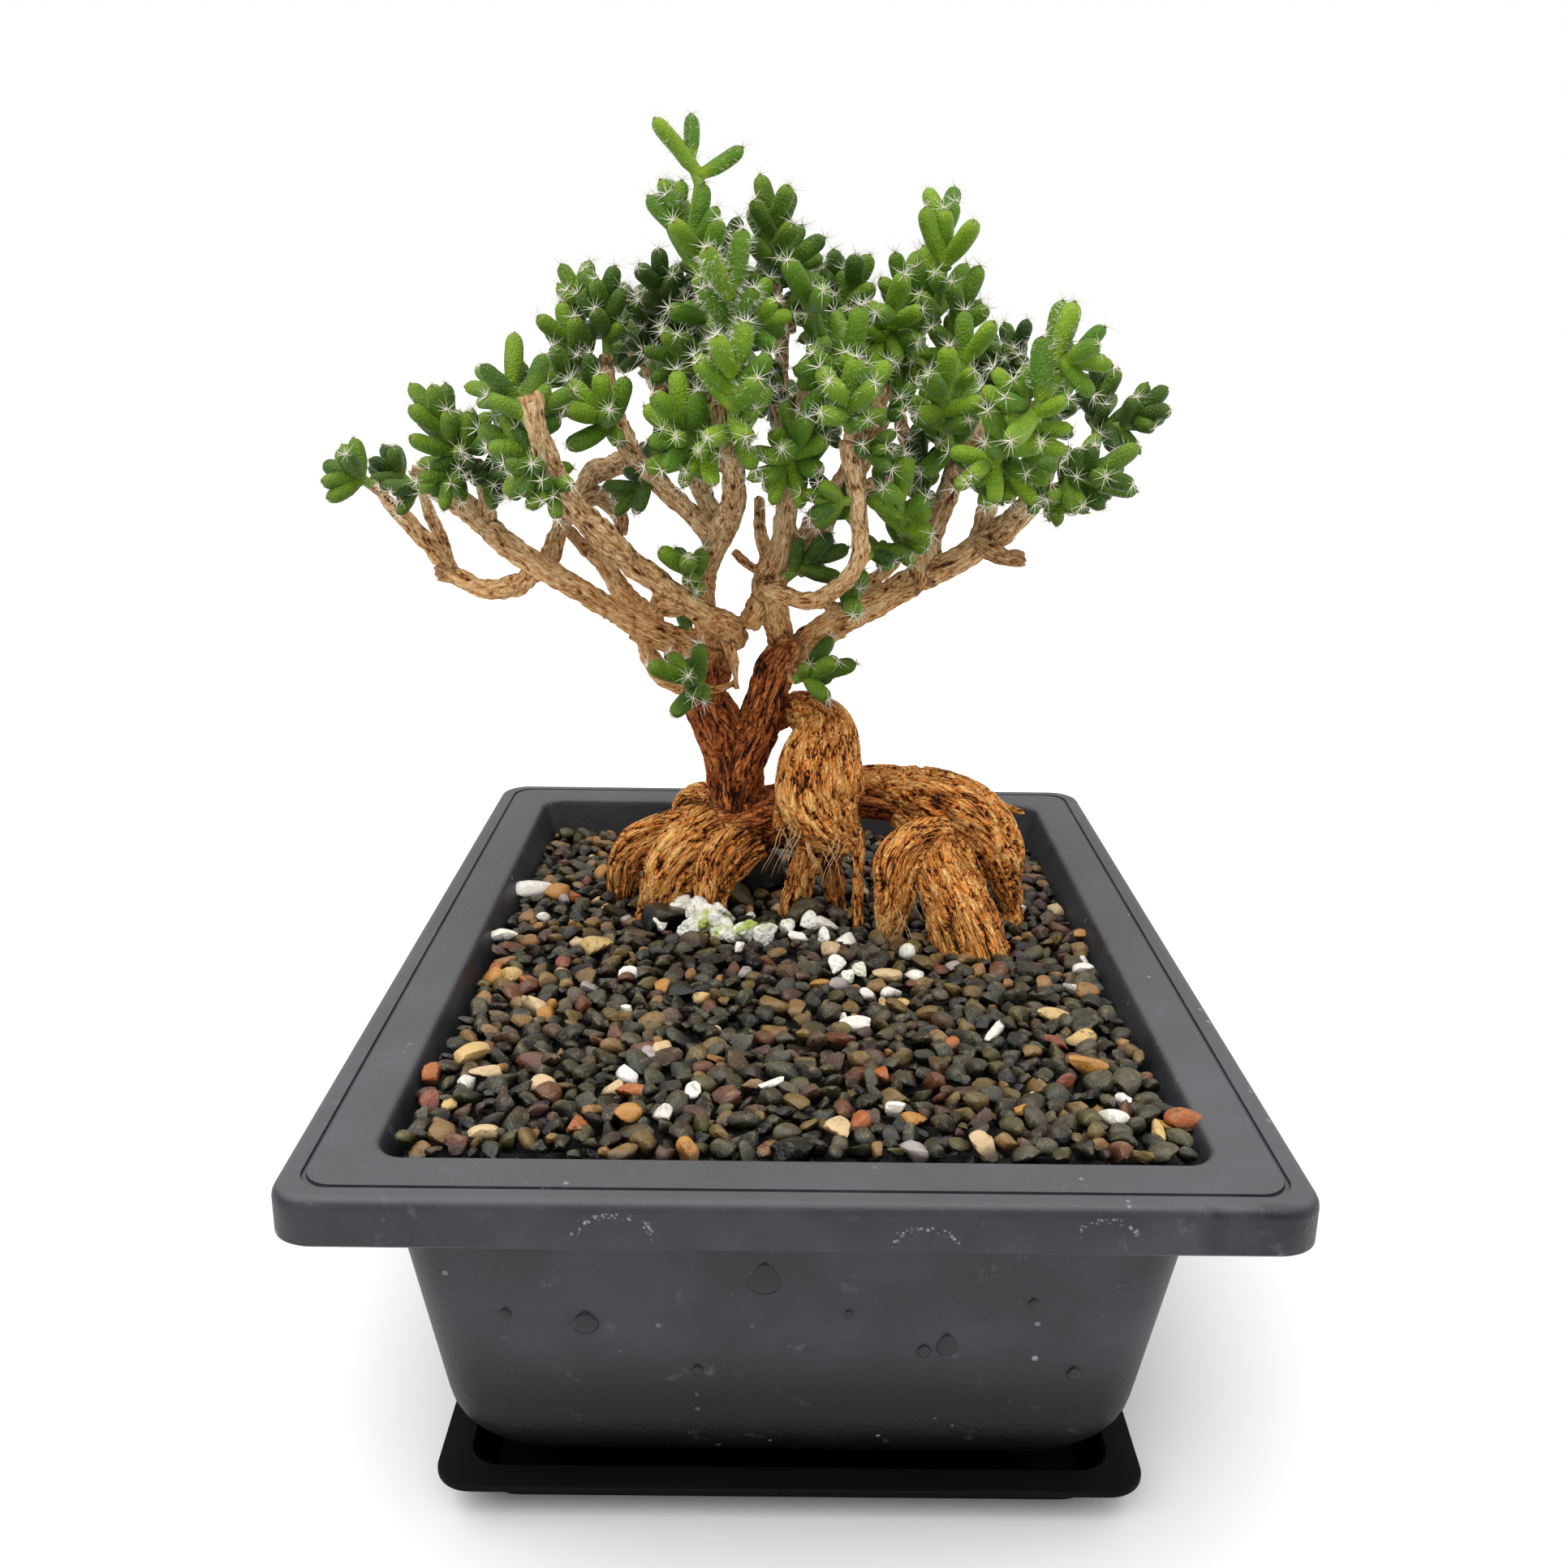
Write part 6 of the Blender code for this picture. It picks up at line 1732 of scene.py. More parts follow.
@dataclass
class Foliage:
    """The leafy sprays: fleshy leaves on green stems, each leaf with a star of bristles at its tip."""

    sides: int = 12
    small_sides: int = 9
    bristles: tuple[int, int] = (11, 15)
    bristle_length: tuple[float, float] = (1.5, 3.0)
    bristle_radius: float = 0.065
    hair_radius: float = 0.035
    areole: float = 0.34
    # Sprays with soft hairs on their leaves, with the number of the first hairy stem and the hairs of a leaf.
    hairy: tuple[tuple[str, int, int], ...] = (("top", 2, 60), ("bud", 0, 220), ("front_right", 2, 150),
                                               ("front_centre", 0, 30), ("front_right_pair", 0, 24))

    def leaf_rings(self, line: Sequence[Vector], radius: float, axis: Vector,
                   sides: int) -> tuple[list, list[float], Vector]:
        """Rings of one leaf, widest in the middle and blunt at its tip, a little flattened above.

        Args:
            line: root, middle and tip of the leaf.
            radius: half its thickness.
            axis: the way its stem points.
            sides: points of each ring.

        Returns:
            The rings, the share of the length at each, and the direction of the tip.
        """
        a, c = line[0], line[2]
        b = line[1] * 2 - (a + c) / 2
        blunt = 1.5 * (c - a).length / radius / 2 + 1.2
        shares = [0.0, 0.1, 0.25, 0.45, 0.62, 0.76, 0.87, 0.94, 0.98, 0.997]
        if sides < self.sides:
            shares = [0.0, 0.14, 0.36, 0.6, 0.79, 0.91, 0.97, 0.996]
        path = [a * (1 - s)**2 + b * 2 * s * (1 - s) + c * s * s for s in shares]
        frames = frames_along(path + [c])
        rings = []
        for at, (tangent, _, _), share in zip(path, frames, shares):
            up = (axis - tangent * axis.dot(tangent)).normalized()
            side = tangent.cross(up)
            grow = min(1.0, share / 0.45)
            body = 0.7 + 0.3 * grow * grow * (3 - 2 * grow)
            if share > 0.5:
                body = math.sqrt(1 - ((share - 0.5) / 0.5)**blunt)
            ring = []
            for k in range(sides):
                angle = math.tau * k / sides
                tall = math.sin(angle) * (0.86 if math.sin(angle) > 0 else 1.0)
                ring.append(at + (side * -math.cos(angle) + up * tall) * radius * body)
            rings.append(ring)
        return rings, shares, frames[-1][0]

    def add_leaf(self, heap: Heap, leaf: Leaf, axis: Vector, rng: random.Random, hairs: int) -> None:
        """Adds one leaf with its areole and bristles.

        Args:
            heap: the spray that it belongs to.
            leaf: the leaf.
            axis: the way its stem points.
            rng: the spray's own draws.
            hairs: how many soft hairs cover it.
        """
        root, middle, end = leaf.line
        longer = (end - middle) * 0.18
        tip = end + longer * inside_share(end, end + longer * 3)
        line, radius = [root, middle, tip], leaf.thick / 2
        small = leaf.thick < leaf.kind.value * Growth.SLIM
        sides = self.small_sides if small else self.sides
        rings, shares, way = self.leaf_rings(line, radius, axis, sides)
        values = [s for s in shares for _ in range(sides)] + [0.0, 1.0]
        heap.add(*skin(rings, line[0], tip), slot=0, along=values, lot=rng.random())
        side = way.orthogonal().normalized()
        over = way.cross(side)
        areole = ring_round(tip + way * 0.02, side, over, self.areole, 6)
        heap.add(*skin([areole], tip - way * 0.2, tip + way * 0.16), slot=2)
        count, turn = rng.randint(*self.bristles) - 3 * small, rng.uniform(0, math.tau)
        start = tip + way * 0.05
        for k in range(count):
            angle = turn + math.tau * (k + rng.uniform(-0.35, 0.35)) / count
            rise = math.radians(rng.uniform(0, 36) if k % 3 else rng.uniform(30, 70))
            out = side * math.cos(angle) + over * math.sin(angle)
            ray = way * math.sin(rise) + out * math.cos(rise)
            long = rng.uniform(*self.bristle_length) * (0.85 if leaf.kind is DARK else 1.0)
            long *= inside_share(start, start + ray * long)
            if long > 0.25:
                thread(heap, [start, start + ray * long], self.bristle_radius, 3)
        self.add_hairs(heap, line, radius, hairs, rng)

    def add_hairs(self, heap: Heap, line: Sequence[Vector], radius: float, hairs: int,
                  rng: random.Random) -> None:
        """Adds soft hairs over one leaf.

        Args:
            heap: the spray that it belongs to.
            line: root, middle and tip of the leaf.
            radius: half its thickness.
            hairs: how many hairs.
            rng: the spray's own draws.
        """
        way = (line[2] - line[0]).normalized()
        side = way.orthogonal().normalized()
        for _ in range(hairs):
            share, angle = rng.uniform(0.15, 1.0), rng.uniform(0, math.tau)
            at = line[0] * (1 - share) + line[2] * share if share < 0.5 else (
                line[1] * (2 - 2 * share) + line[2] * (2 * share - 1))
            out = side * math.cos(angle) + way.cross(side) * math.sin(angle)
            start = at + out * radius * 0.9 - way * (0.6 if share > 0.9 else 0.0)
            ray = (out + way * rng.uniform(-0.1, 0.8)).normalized() * rng.uniform(0.7, 1.5)
            if inside_share(start, start + ray) == 1.0:
                thread(heap, [start, start + ray], self.hair_radius, 3)

    def build(self, growth: Growth) -> None:
        """Builds every spray over its solid.

        Args:
            growth: where its stems and leaves are.
        """
        finishes = {
            YOUNG: LeafFinish("young_leaf", srgb(166, 196, 40), srgb(76, 116, 12), srgb(188, 208, 50),
                              srgb(224, 236, 140)),
            MID: LeafFinish("green_leaf", srgb(148, 182, 36), srgb(56, 90, 9), srgb(166, 190, 42),
                            srgb(204, 220, 128)),
            DARK: LeafFinish("dark_leaf", srgb(116, 150, 32), srgb(40, 68, 8), srgb(128, 156, 34),
                             srgb(176, 198, 110)),
        }
        leaves = {kind: finish.material() for kind, finish in finishes.items()}
        stem = LeafFinish("green_stem", srgb(156, 184, 76), srgb(106, 138, 48), srgb(146, 148, 76),
                          srgb(206, 220, 150)).material()
        dot = FibreFinish("areole", srgb(126, 76, 38), srgb(66, 38, 20), 0.7).material()
        bristle = FibreFinish("bristle", srgb(252, 250, 242), srgb(228, 220, 198)).material()
        hairy = {name: (first, count) for name, first, count in self.hairy}
        for name, kind in growth.kinds.items():
            rng, heap = random.Random(f"{SEED} dress {name}"), Heap()
            for path in growth.stems[name]:
                foot = path[0] - (path[1] - path[0]).normalized() * (TWIG_GAP + 0.4)
                fine = smooth_path([(*at, 0.0) for at in (foot, *path)], 1.2)
                points = [Vector(row[:3]) for row in fine]
                count = len(points) - 1
                rings = [ring_round(at, u, v, STEM_RADIUS + (STEM_TIP_RADIUS - STEM_RADIUS) * i / count, 9)
                         for i, (at, (_, u, v)) in enumerate(zip(points, frames_along(points)))]
                heap.add(*skin(rings), slot=1, along=0.5, lot=0.5)
            for leaf in growth.leaves[name]:
                path = growth.stems[name][leaf.stem]
                axis = (path[-1] - path[0]).normalized()
                first, hairs = hairy.get(name, (0, 0))
                grown = first <= leaf.stem < len(SPRAYS.get(name, ()))
                self.add_leaf(heap, leaf, axis, rng, hairs if grown else 0)
            piece = heap.build("leafy_" + name, [leaves[kind], stem, dot, bristle], 60)
            ride(piece, *(["spray_" + name] if name in SPRAYS else []))


class Fibres:
    """Samples along every member, which tell how its fibres run at a point of the joined skin."""

    CHUNK = 4000  # points that are looked up at a time
    BLEND = 0.8  # distance in millimetres over which the tones of members that meet blend
    TORN = 1.3  # radius from which a branch has a torn end

    def __init__(self, members: Sequence[tuple]) -> None:
        """Lists the samples.

        Args:
            members: smooth rows of x, y, z and radius of each, with its kind of bark.
        """
        parts: list[list[Any]] = [[] for _ in range(8)]
        for number, (member, zone) in enumerate(members):
            path, gone, last = [Vector(row[:3]) for row in member], 0.0, len(member) - 1
            for i, (at, (way, side, over)) in enumerate(zip(path, frames_along(path))):
                gone += (at - path[i - 1]).length if i else 0.0
                torn = i == last and zone is Zone.LIMB and member[last][3] > self.TORN
                sample = (member[i], way, side, over, gone, zone.value, number, 1.0 if torn else 0.0)
                for part, value in zip(parts, sample):
                    part.append(value)
        self.rows, self.ways, self.sides, self.overs = (np.array(part, float) for part in parts[:4])
        self.spans, self.tones, self.owner, self.ends = (np.array(part, float) for part in parts[4:])

    def nearest(self, points: np.ndarray) -> tuple[np.ndarray, np.ndarray]:
        """The member that each point belongs to.

        Args:
            points: the points.

        Returns:
            The number of the nearest sample of each, and its tone, blended where members meet.
        """
        near, tone = np.empty(len(points), int), np.empty(len(points))
        for start in range(0, len(points), self.CHUNK):
            part = slice(start, start + self.CHUNK)
            apart = np.linalg.norm(points[part, None] - self.rows[None, :, :3], axis=2)
            apart -= self.rows[None, :, 3]
            near[part] = apart.argmin(1)
            weight = np.exp(-np.maximum(apart - apart.min(1)[:, None], 0) / self.BLEND)
            tone[part] = (weight * self.tones).sum(1) / weight.sum(1)
        return near, tone


@dataclass
class Wood:
    """Roots and trunk as one weathered body and the branches as another, with cut ends and loose rootlets."""

    voxel: float = 0.42
    sides: int = 20
    # Tone from which bark is corky, and how far the fibres of one member are shifted from those of the last.
    corky: float = 0.75
    shift: float = 37.0
    root_triangles: int = 190_000
    branch_triangles: int = 120_000
    trunk: tuple[str, ...] = ("left_stem", "right_stem", "crown")

    def members(self, growth: Growth) -> list[tuple[list[list[float]], Zone]]:
        """Every round member, made smooth.

        Args:
            growth: gives the twigs.

        Returns:
            Rows of x, y, z and radius of each member, with its kind of bark.
        """
        made = [(points, Zone.TRUNK if name in self.trunk else Zone.ROOT) for name, points in ROOTS.items()]
        made += [(points, Zone.LIMB) for points in [*LIMBS.values(), *growth.twigs.values()]]
        return [(smooth_path(points, 0.8), zone) for points, zone in made]

    def body(self, name: str, members: Sequence[tuple], most: int) -> bpy.types.Object:
        """Joins members into one skin without folds.

        Args:
            name: the piece's name.
            members: the smooth rows of each, with its kind of bark.
            most: number of triangles that it may have.

        Returns:
            The object.
        """
        heap, turns = Heap(), [math.tau * k / self.sides for k in range(self.sides)]
        for rows, zone in members:
            path = [Vector(row[:3]) for row in rows]
            flute = 0.0 if zone is Zone.LIMB else ROOT_FLUTE
            rings = []
            for at, (_, u, v), row in zip(path, frames_along(path), rows):
                rings.append([at + (u * math.cos(turn) + v * math.sin(turn))
                              * (row[3] * (1 + flute * math.cos(3 * turn + 0.6))) for turn in turns])
            heap.add(*skin(rings))
        obj = heap.build(name)
        remesh = obj.modifiers.new("join", "REMESH")
        remesh.mode, remesh.voxel_size, remesh.adaptivity = "VOXEL", self.voxel * MM, 0.0
        apply_modifiers(obj)
        obj.data.calc_loop_triangles()
        share = most / len(obj.data.loop_triangles)
        if share < 1:
            obj.modifiers.new("thin", "DECIMATE").ratio = share
            apply_modifiers(obj)
        return obj

    def furrowed(self, x: float, y: float, z: float) -> tuple[float, float]:
        """The long fibres of roots and trunk.

        Args:
            x: place across the member, in millimetres.
            y: place across the member, the other way.
            z: place along it.

        Returns:
            Depth of the furrow there and lift of the surface.
        """
        wave = noise.noise((x * 0.25, y * 0.25, z * 0.12))
        line = 1 - abs(noise.noise((x * 0.62 + wave * 1.6, y * 0.62 - wave, z * 0.09))) * 2
        fine = noise.noise((x * 0.9 + wave, y * 0.9, z * 0.17))
        plate = noise.noise((x * 1.2 + 7, y * 1.2, z * 0.4))
        deep = max(0.0, (line - 0.72) / 0.28)
        furrow = min(1.0, deep * deep * (0.9 + fine * 0.5) + max(0.0, -fine - 0.22) * 1.6)
        return furrow, wave * 0.6 + fine * 0.9 + plate * 0.4 - deep * deep + 0.2

    def pitted(self, x: float, y: float, z: float) -> tuple[float, float]:
        """The corky bark of the branches, with pits and short cracks.

        Args:
            x: place across the member, in millimetres.
            y: place across the member, the other way.
            z: place along it.

        Returns:
            Depth of the furrow there and lift of the surface.
        """
        wave = noise.noise((x * 0.5, y * 0.5, z * 0.22))
        fine = noise.noise((x * 1.2, y * 1.2, z * 0.75))
        pit = max(0.0, noise.noise((x * 0.8 + 9, y * 0.8, z * 0.35)) - 0.36)
        line = max(0.0, 1 - abs(noise.noise((x * 0.7, y * 0.7 + 5, z * 0.13))) * 2 - 0.86) / 0.14
        furrow = min(1.0, pit * 3.4 + line * 0.6 + max(0.0, -fine - 0.2) * 1.6)
        return furrow, wave * 0.4 + fine * 0.38 - pit * 1.2 - line * 0.3

    def carve(self, obj: bpy.types.Object, fibres: Fibres) -> None:
        """Cuts fibrous ridges and furrows along each member and stores what the bark needs to follow them.

        Args:
            obj: the joined body.
            fibres: how they run along its members.
        """
        mesh = obj.data
        count = len(mesh.vertices)
        points, normals = np.empty(count * 3, np.float32), np.empty(count * 3, np.float32)
        mesh.vertices.foreach_get("co", points)
        mesh.vertex_normals.foreach_get("vector", normals)
        points, normals = points.reshape(-1, 3) / MM, normals.reshape(-1, 3)
        near, tone = fibres.nearest(points)
        rows, ways, lot, ends = fibres.rows[near], fibres.ways[near], fibres.owner[near], fibres.ends[near]
        apart = points - rows[:, :3]
        u, v = (apart * fibres.sides[near]).sum(1), (apart * fibres.overs[near]).sum(1)
        run = fibres.spans[near] + (apart * ways).sum(1)
        radius, around = np.maximum(np.hypot(u, v), 1e-3), rows[:, 3]
        grain = np.stack([u / radius * around, v / radius * around, run + lot * self.shift], 1)
        relief = [self.pitted(*at) if corky else self.furrowed(*at)
                  for at, corky in zip(grain, tone >= self.corky)]
        furrow, lift = np.array(relief).T
        thin = np.clip(around / 1.6, 0.25, 1.0)
        points = points + normals * np.clip(lift * thin, -1.1, 0.5)[:, None]
        # Torn ends: hollow in the middle, with a ragged rim.
        facing = ends * np.clip(((normals * ways).sum(1) - 0.3) / 0.4, 0, 1)
        angle = np.arctan2(v, u)
        ragged = 0.5 * np.sin(3 * angle + lot) + 0.35 * np.sin(7 * angle + 2.0 * lot)
        sunk = ragged * 0.9 - 1.3 * np.clip(1.0 - radius / around, 0, 1)
        points += ways * (facing * sunk)[:, None]
        low, high = (np.array(corner) / MM for corner in CAD_BOX)
        points = np.clip(points, low + INSIDE, high - INSIDE)
        mesh.vertices.foreach_set("co", (points * MM).astype(np.float32).ravel())
        cut = ends * (np.abs((points - rows[:, :3]) @ np.ones(3)) < 9)
        for label, value in (("tone", tone), ("furrow", np.clip(furrow, 0, 1)), ("cut", cut)):
            made = mesh.attributes.new(label, "FLOAT", "POINT")
            made.data.foreach_set("value", value.astype(np.float32))
        made = mesh.attributes.new("grain", "FLOAT_VECTOR", "POINT")
        made.data.foreach_set("vector", grain.astype(np.float32).ravel())
        mesh.update()

    def rootlets(self) -> None:
        """Fine pale rootlets that hang from the tuber and from the arching root."""
        rng, heap = random.Random(SEED + 5), Heap()
        starts = [(1, 9.5, 71, -1), (0, 10, 72, -1), (2.5, 8.5, 70, 1), (3, 9, 69.5, 1), (5.5, 8.5, 69, 1),
                  (7, 8.6, 70, -1), (8, 8.8, 69, -1), (-1.5, 11, 71, -1), (-2, 12, 70.5, 1), (10, 9, 66, 1),
                  (17, 4, 60, 1), (18.5, 4.5, 58, -1), (15.5, 5, 58.5, -1), (20, 4.5, 64, 1)]
        for x, y, z, lean in starts:
            for _ in range(2):
                at = Vector((x, y, z)) + Vector([rng.uniform(-0.8, 0.8) for _ in range(3)])
                drop, path = rng.uniform(3.5, 9), [at]
                for k in range(1, 6):
                    sway = math.sin(k * 1.3 + x) * 0.5
                    path.append(at + Vector((lean * k * drop * 0.08 + sway * 0.6, -0.5 - 0.15 * k,
                                             -drop * k / 5 + sway * 0.3)))
                thread(heap, path, rng.uniform(0.08, 0.16), 0, 4)
        finish = FibreFinish("rootlet", srgb(222, 190, 140), srgb(158, 104, 58), 0.7)
        ride(heap.build("rootlets", [finish.material()], 80))

    def build(self, growth: Growth) -> None:
        """Builds the body over its solid, and the rootlets.

        Args:
            growth: gives the twigs.
        """
        members, bark = self.members(growth), Bark().material()
        fibres, rooted = Fibres(members), len(ROOTS)
        for name, group, most, nodes in (
                ("weathered_roots", members[:rooted], self.root_triangles, ["wood"]),
                ("weathered_branches", members[rooted:], self.branch_triangles, [])):
            obj = self.body(name, group, most)
            self.carve(obj, fibres)
            coat(obj, bark)
            obj.data.shade_smooth()
            ride(obj, *nodes)
        self.rootlets()


class Tint(Enum):
    """Pale and bright stone colours, each with its place in the palette."""

    OCHRE, CREAM, WHITE, RUST, SAND, BRICK, CHALK, LILAC = range(8)


OCHRE, CREAM, WHITE, RUST, SAND, BRICK, CHALK, LILAC = Tint


def rotation(angle: float, axis: str = "Z") -> Matrix:
    """A turn about an axis."""
    return Matrix.Rotation(angle, 3, axis)


@dataclass
class Ground:
    """Soil, the dark bed under the stones, the stones and the pale pumice lumps."""

    bottom: float = 44.0
    middle: float = 52.7
    slope: float = 0.04
    # The mound round the roots as (height, reach, x, y).
    mound: tuple[float, float, float, float] = (1.2, 30.0, 5.0, 15.0)
    pumice_floor: float = 52.2
    # Half sizes of stones, from the largest on, as (radius, number of tries).
    sizes: tuple[tuple[float, int], ...] = (
        (1.9, 160), (1.65, 1400), (1.45, 7000), (1.2, 12000), (0.98, 15000))
    dark: Table = (
        srgb(22, 23, 21), srgb(40, 39, 28), srgb(16, 17, 17), srgb(54, 52, 36), srgb(32, 33, 24),
        srgb(68, 64, 48), srgb(34, 26, 24), srgb(44, 46, 36))
    brown: Table = (
        srgb(92, 76, 42), srgb(108, 84, 44), srgb(70, 50, 32), srgb(96, 54, 34), srgb(128, 98, 58),
        srgb(70, 66, 34), srgb(74, 50, 44), srgb(146, 104, 58))
    bright: Table = (
        srgb(184, 128, 60), srgb(206, 172, 112), srgb(240, 236, 224), srgb(168, 92, 46), srgb(206, 178, 136),
        srgb(124, 62, 46), srgb(246, 242, 234), srgb(164, 154, 152))
    # Crumbs of pumice on the stones as (x, y, radius, bloom of algae from 0 to 1).
    crumbs: Table = (
        (-4.2, 3.8, 2.3, 1.0), (-0.9, 6.8, 1.9, 1.0), (3.4, 9.2, 2.1, 0.1), (5.2, 2.4, 1.6, 0.0),
        (6.8, -9.4, 1.7, 0.1), (8.6, -13.4, 1.4, 0.7), (10.8, -10.9, 1.5, 0.3), (-8.6, -2.2, 1.2, 0.1),
        (-22.2, 9.4, 1.7, 0.0))
    # Large dark and olive stones as (x, y, z, three half sizes, turn in degrees, colour group, lot).
    large: tuple[tuple, ...] = (
        (-10.0, 21.3, 54.5, (4.6, 3.4, 2.6), -15, 1, 0.05), (-22.2, 11.5, 54.2, (4.0, 3.2, 2.8), 20, 0, 0.3),
        (-5.1, 29.6, 56.0, (4.6, 3.6, 4.6), 40, 0, 0.5), (2.4, 13.5, 54.4, (3.2, 2.8, 2.6), 0, 0, 0.7))
    # Pale and bright stones as (x, y, half length, half width, turn in degrees, tint).
    pale: tuple[tuple, ...] = (
        (5.4, 8.0, 3.0, 1.8, 5, WHITE), (-32, -1, 2.6, 2.5, 30, CREAM), (-44, -13, 1.9, 1.6, 0, CREAM),
        (-48, 4, 2.6, 1.5, -10, WHITE), (-47, 28, 3.4, 2.4, 20, CHALK), (-42, 26, 2.5, 2.0, 0, OCHRE),
        (-36, -8, 2.2, 1.4, 90, BRICK), (-44, -42, 2.6, 1.8, 50, CREAM), (-48, -48, 2.0, 1.6, 90, RUST),
        (-41, -47, 2.1, 1.2, 5, SAND), (-21, -59, 1.8, 1.6, 70, OCHRE), (-16.5, -58, 2.6, 1.4, 100, WHITE),
        (-13, -51, 2.2, 1.1, 80, WHITE), (-3, -49, 2.9, 0.8, 25, WHITE), (-21, -52, 2.2, 1.3, 10, RUST),
        (-20, -17, 2.1, 1.2, 80, OCHRE), (-20, -40, 1.4, 0.9, 110, LILAC), (-38, -64, 1.9, 1.2, 0, SAND),
        (-27, -62, 2.0, 1.5, 100, RUST), (29, -31, 3.6, 0.9, 66, WHITE), (9, -30, 2.4, 1.3, 15, WHITE),
        (38, -26, 2.4, 1.3, -5, CREAM), (37, -35, 2.3, 1.2, -50, BRICK), (40, -43, 2.8, 2.0, -10, OCHRE),
        (13, -56, 1.9, 1.3, 80, WHITE), (5, -62, 2.2, 1.7, -60, SAND), (40, -58, 2.1, 1.3, -20, WHITE),
        (45, -61.5, 2.4, 1.0, 80, CREAM), (49, -58.5, 2.1, 1.7, 0, RUST), (19, -12, 1.6, 1.1, -10, WHITE),
        (15, -13, 2.7, 1.5, -15, SAND), (46, -8, 1.7, 1.3, 10, WHITE), (43, -15, 1.9, 0.9, -50, WHITE),
        (9, 1, 1.9, 1.7, 40, CHALK), (6, -3, 1.9, 1.7, 0, SAND), (1, 3, 1.9, 1.4, 20, CHALK),
        (49, 8, 1.6, 1.2, 0, OCHRE), (29, -56, 1.5, 1.1, 0, OCHRE))

    def level(self, x: float, y: float) -> float:
        """Height of the ground without its stones, at a place."""
        height, reach, at_x, at_y = self.mound
        return self.middle - self.slope * y + height * math.exp(-((x - at_x)**2 + (y - at_y)**2) / reach**2)

    def build_bed(self, pot: Pot) -> None:
        """The dark bed under the stones, with a hole for each root.

        Args:
            pot: gives the walls.
        """
        foot, half_x = (pot.inner_half(z) - 0.5 for z in (self.bottom, self.middle))
        half_y = half_x + pot.longer
        rings = [rounded_rectangle(half, half + pot.longer, 4.0, z, 4)
                 for half, z in ((foot, self.bottom), (half_x, self.middle - 3.0))]
        for share in (0.985, 0.94, 0.87, 0.78, 0.67, 0.54, 0.4, 0.25, 0.1):
            ring = rounded_rectangle(half_x * share, half_y * share, 4.0 * share, 0.0, 4)
            rings.append([(x, y, self.level(x, y) - 1.0) for x, y, _ in ring])
        heap = Heap()
        heap.add(*skin(rings))
        bed = heap.build("stone_bed")
        cutters = []
        for points in ROOTS.values():
            path = [Vector(p[:3]) for p in points]
            frames = frames_along(path)
            path[0] -= frames[0][0] * ROOT_CLEARANCE
            path[-1] += frames[-1][0] * ROOT_CLEARANCE
            hole = Heap()
            hole.add(*skin([ring_round(at, u, v, p[3] * 1.12 + ROOT_CLEARANCE, 12)
                            for at, (_, u, v), p in zip(path, frames, points)]))
            cutters.append(hole.build("hole"))
        cut_out(bed, cutters)
        # The bed's near-black colour is partly dark earth and partly painted shade for the gaps between the
        # stones.
        coat(bed, EarthFinish("stone_bed", srgb(20, 18, 15), srgb(5, 5, 4)).material())
        ride(bed, "gravel")

    def stone_shapes(self, rounds: int, count: int,
                     edges: tuple[float, float] = (16, 70)) -> tuple[np.ndarray, list[np.ndarray]]:
        """Faces and several versions of a worn stone: a ball cut by planes and worn round.

        Args:
            rounds: how fine the ball is.
            count: how many versions.
            edges: how crisp the edges between the planes are, from the roundest to the sharpest version.

        Returns:
            The faces, and the points of each version.
        """
        bm = bmesh.new()
        bmesh.ops.create_icosphere(bm, subdivisions=rounds, radius=1.0)
        ball = np.array([v.co for v in bm.verts])
        faces = np.array([[v.index for v in f.verts] for f in bm.faces])
        bm.free()
        rng, shapes = np.random.default_rng(SEED), []
        for _ in range(count):
            ways = rng.normal(size=(8, 3))
            ways /= np.linalg.norm(ways, axis=1)[:, None]
            cuts, crisp = rng.uniform(0.42, 0.84, 8), rng.uniform(*edges)
            reach = np.maximum(ball @ ways.T, 1e-3) / cuts
            radius = (1 + (reach**crisp).sum(1)) ** (-1 / crisp)
            shapes.append(ball * radius[:, None] * 1.2)
        return faces, shapes

    def scatter(self, pot: Pot, wood: WoodLines, seed: int, sink: float) -> list[Numbers]:
        """Throws stones of falling size until the ground is covered.

        Args:
            pot: gives the walls.
            wood: gives the roots to keep clear of.
            seed: seed of the draws.
            sink: how far the layer lies below the top one.

        Returns:
            Rows of x, y, z and radius.
        """
        rng, cell, kept = random.Random(seed), 5.0, []
        grid: dict[tuple[int, int], list[Numbers]] = {}
        ring = [(i, j) for i in (-1, 0, 1) for j in (-1, 0, 1)]
        taken = [(x, y, size[0] * 0.8) for x, y, _, size, *_ in self.large]
        taken += [(x, y, half * 0.62) for x, y, half, *_ in self.pale]
        taken += [(x, y, radius) for x, y, radius, *_ in PUMICE + list(self.crumbs)]
        for radius, tries in self.sizes:
            for _ in range(tries if not sink else tries // 2):
                reach = radius * rng.uniform(0.86, 1.12)
                half = pot.inner_half(self.middle) - 0.4 - reach * 0.8
                x, y = rng.uniform(-half, half), rng.uniform(-half - pot.longer, half + pot.longer)
                key = (int(x // cell), int(y // cell))
                near = [stone for i, j in ring for stone in grid.get((key[0] + i, key[1] + j), ())]
                if any((x - a)**2 + (y - b)**2 < (0.84 * (reach + r))**2 for a, b, _, r in near):
                    continue
                if any((x - a)**2 + (y - b)**2 < (r + reach * 0.5)**2 for a, b, r in taken):
                    continue
                z = self.level(x, y) + (rng.uniform(0.1, 1.0) if not sink else -sink + rng.uniform(-0.2, 0.4))
                if clearance((x, y, z), (x, y, z + 0.4), reach * 0.72, wood.roots) < 0:
                    continue
                row = (x, y, z, reach)
                grid.setdefault(key, []).append(row)
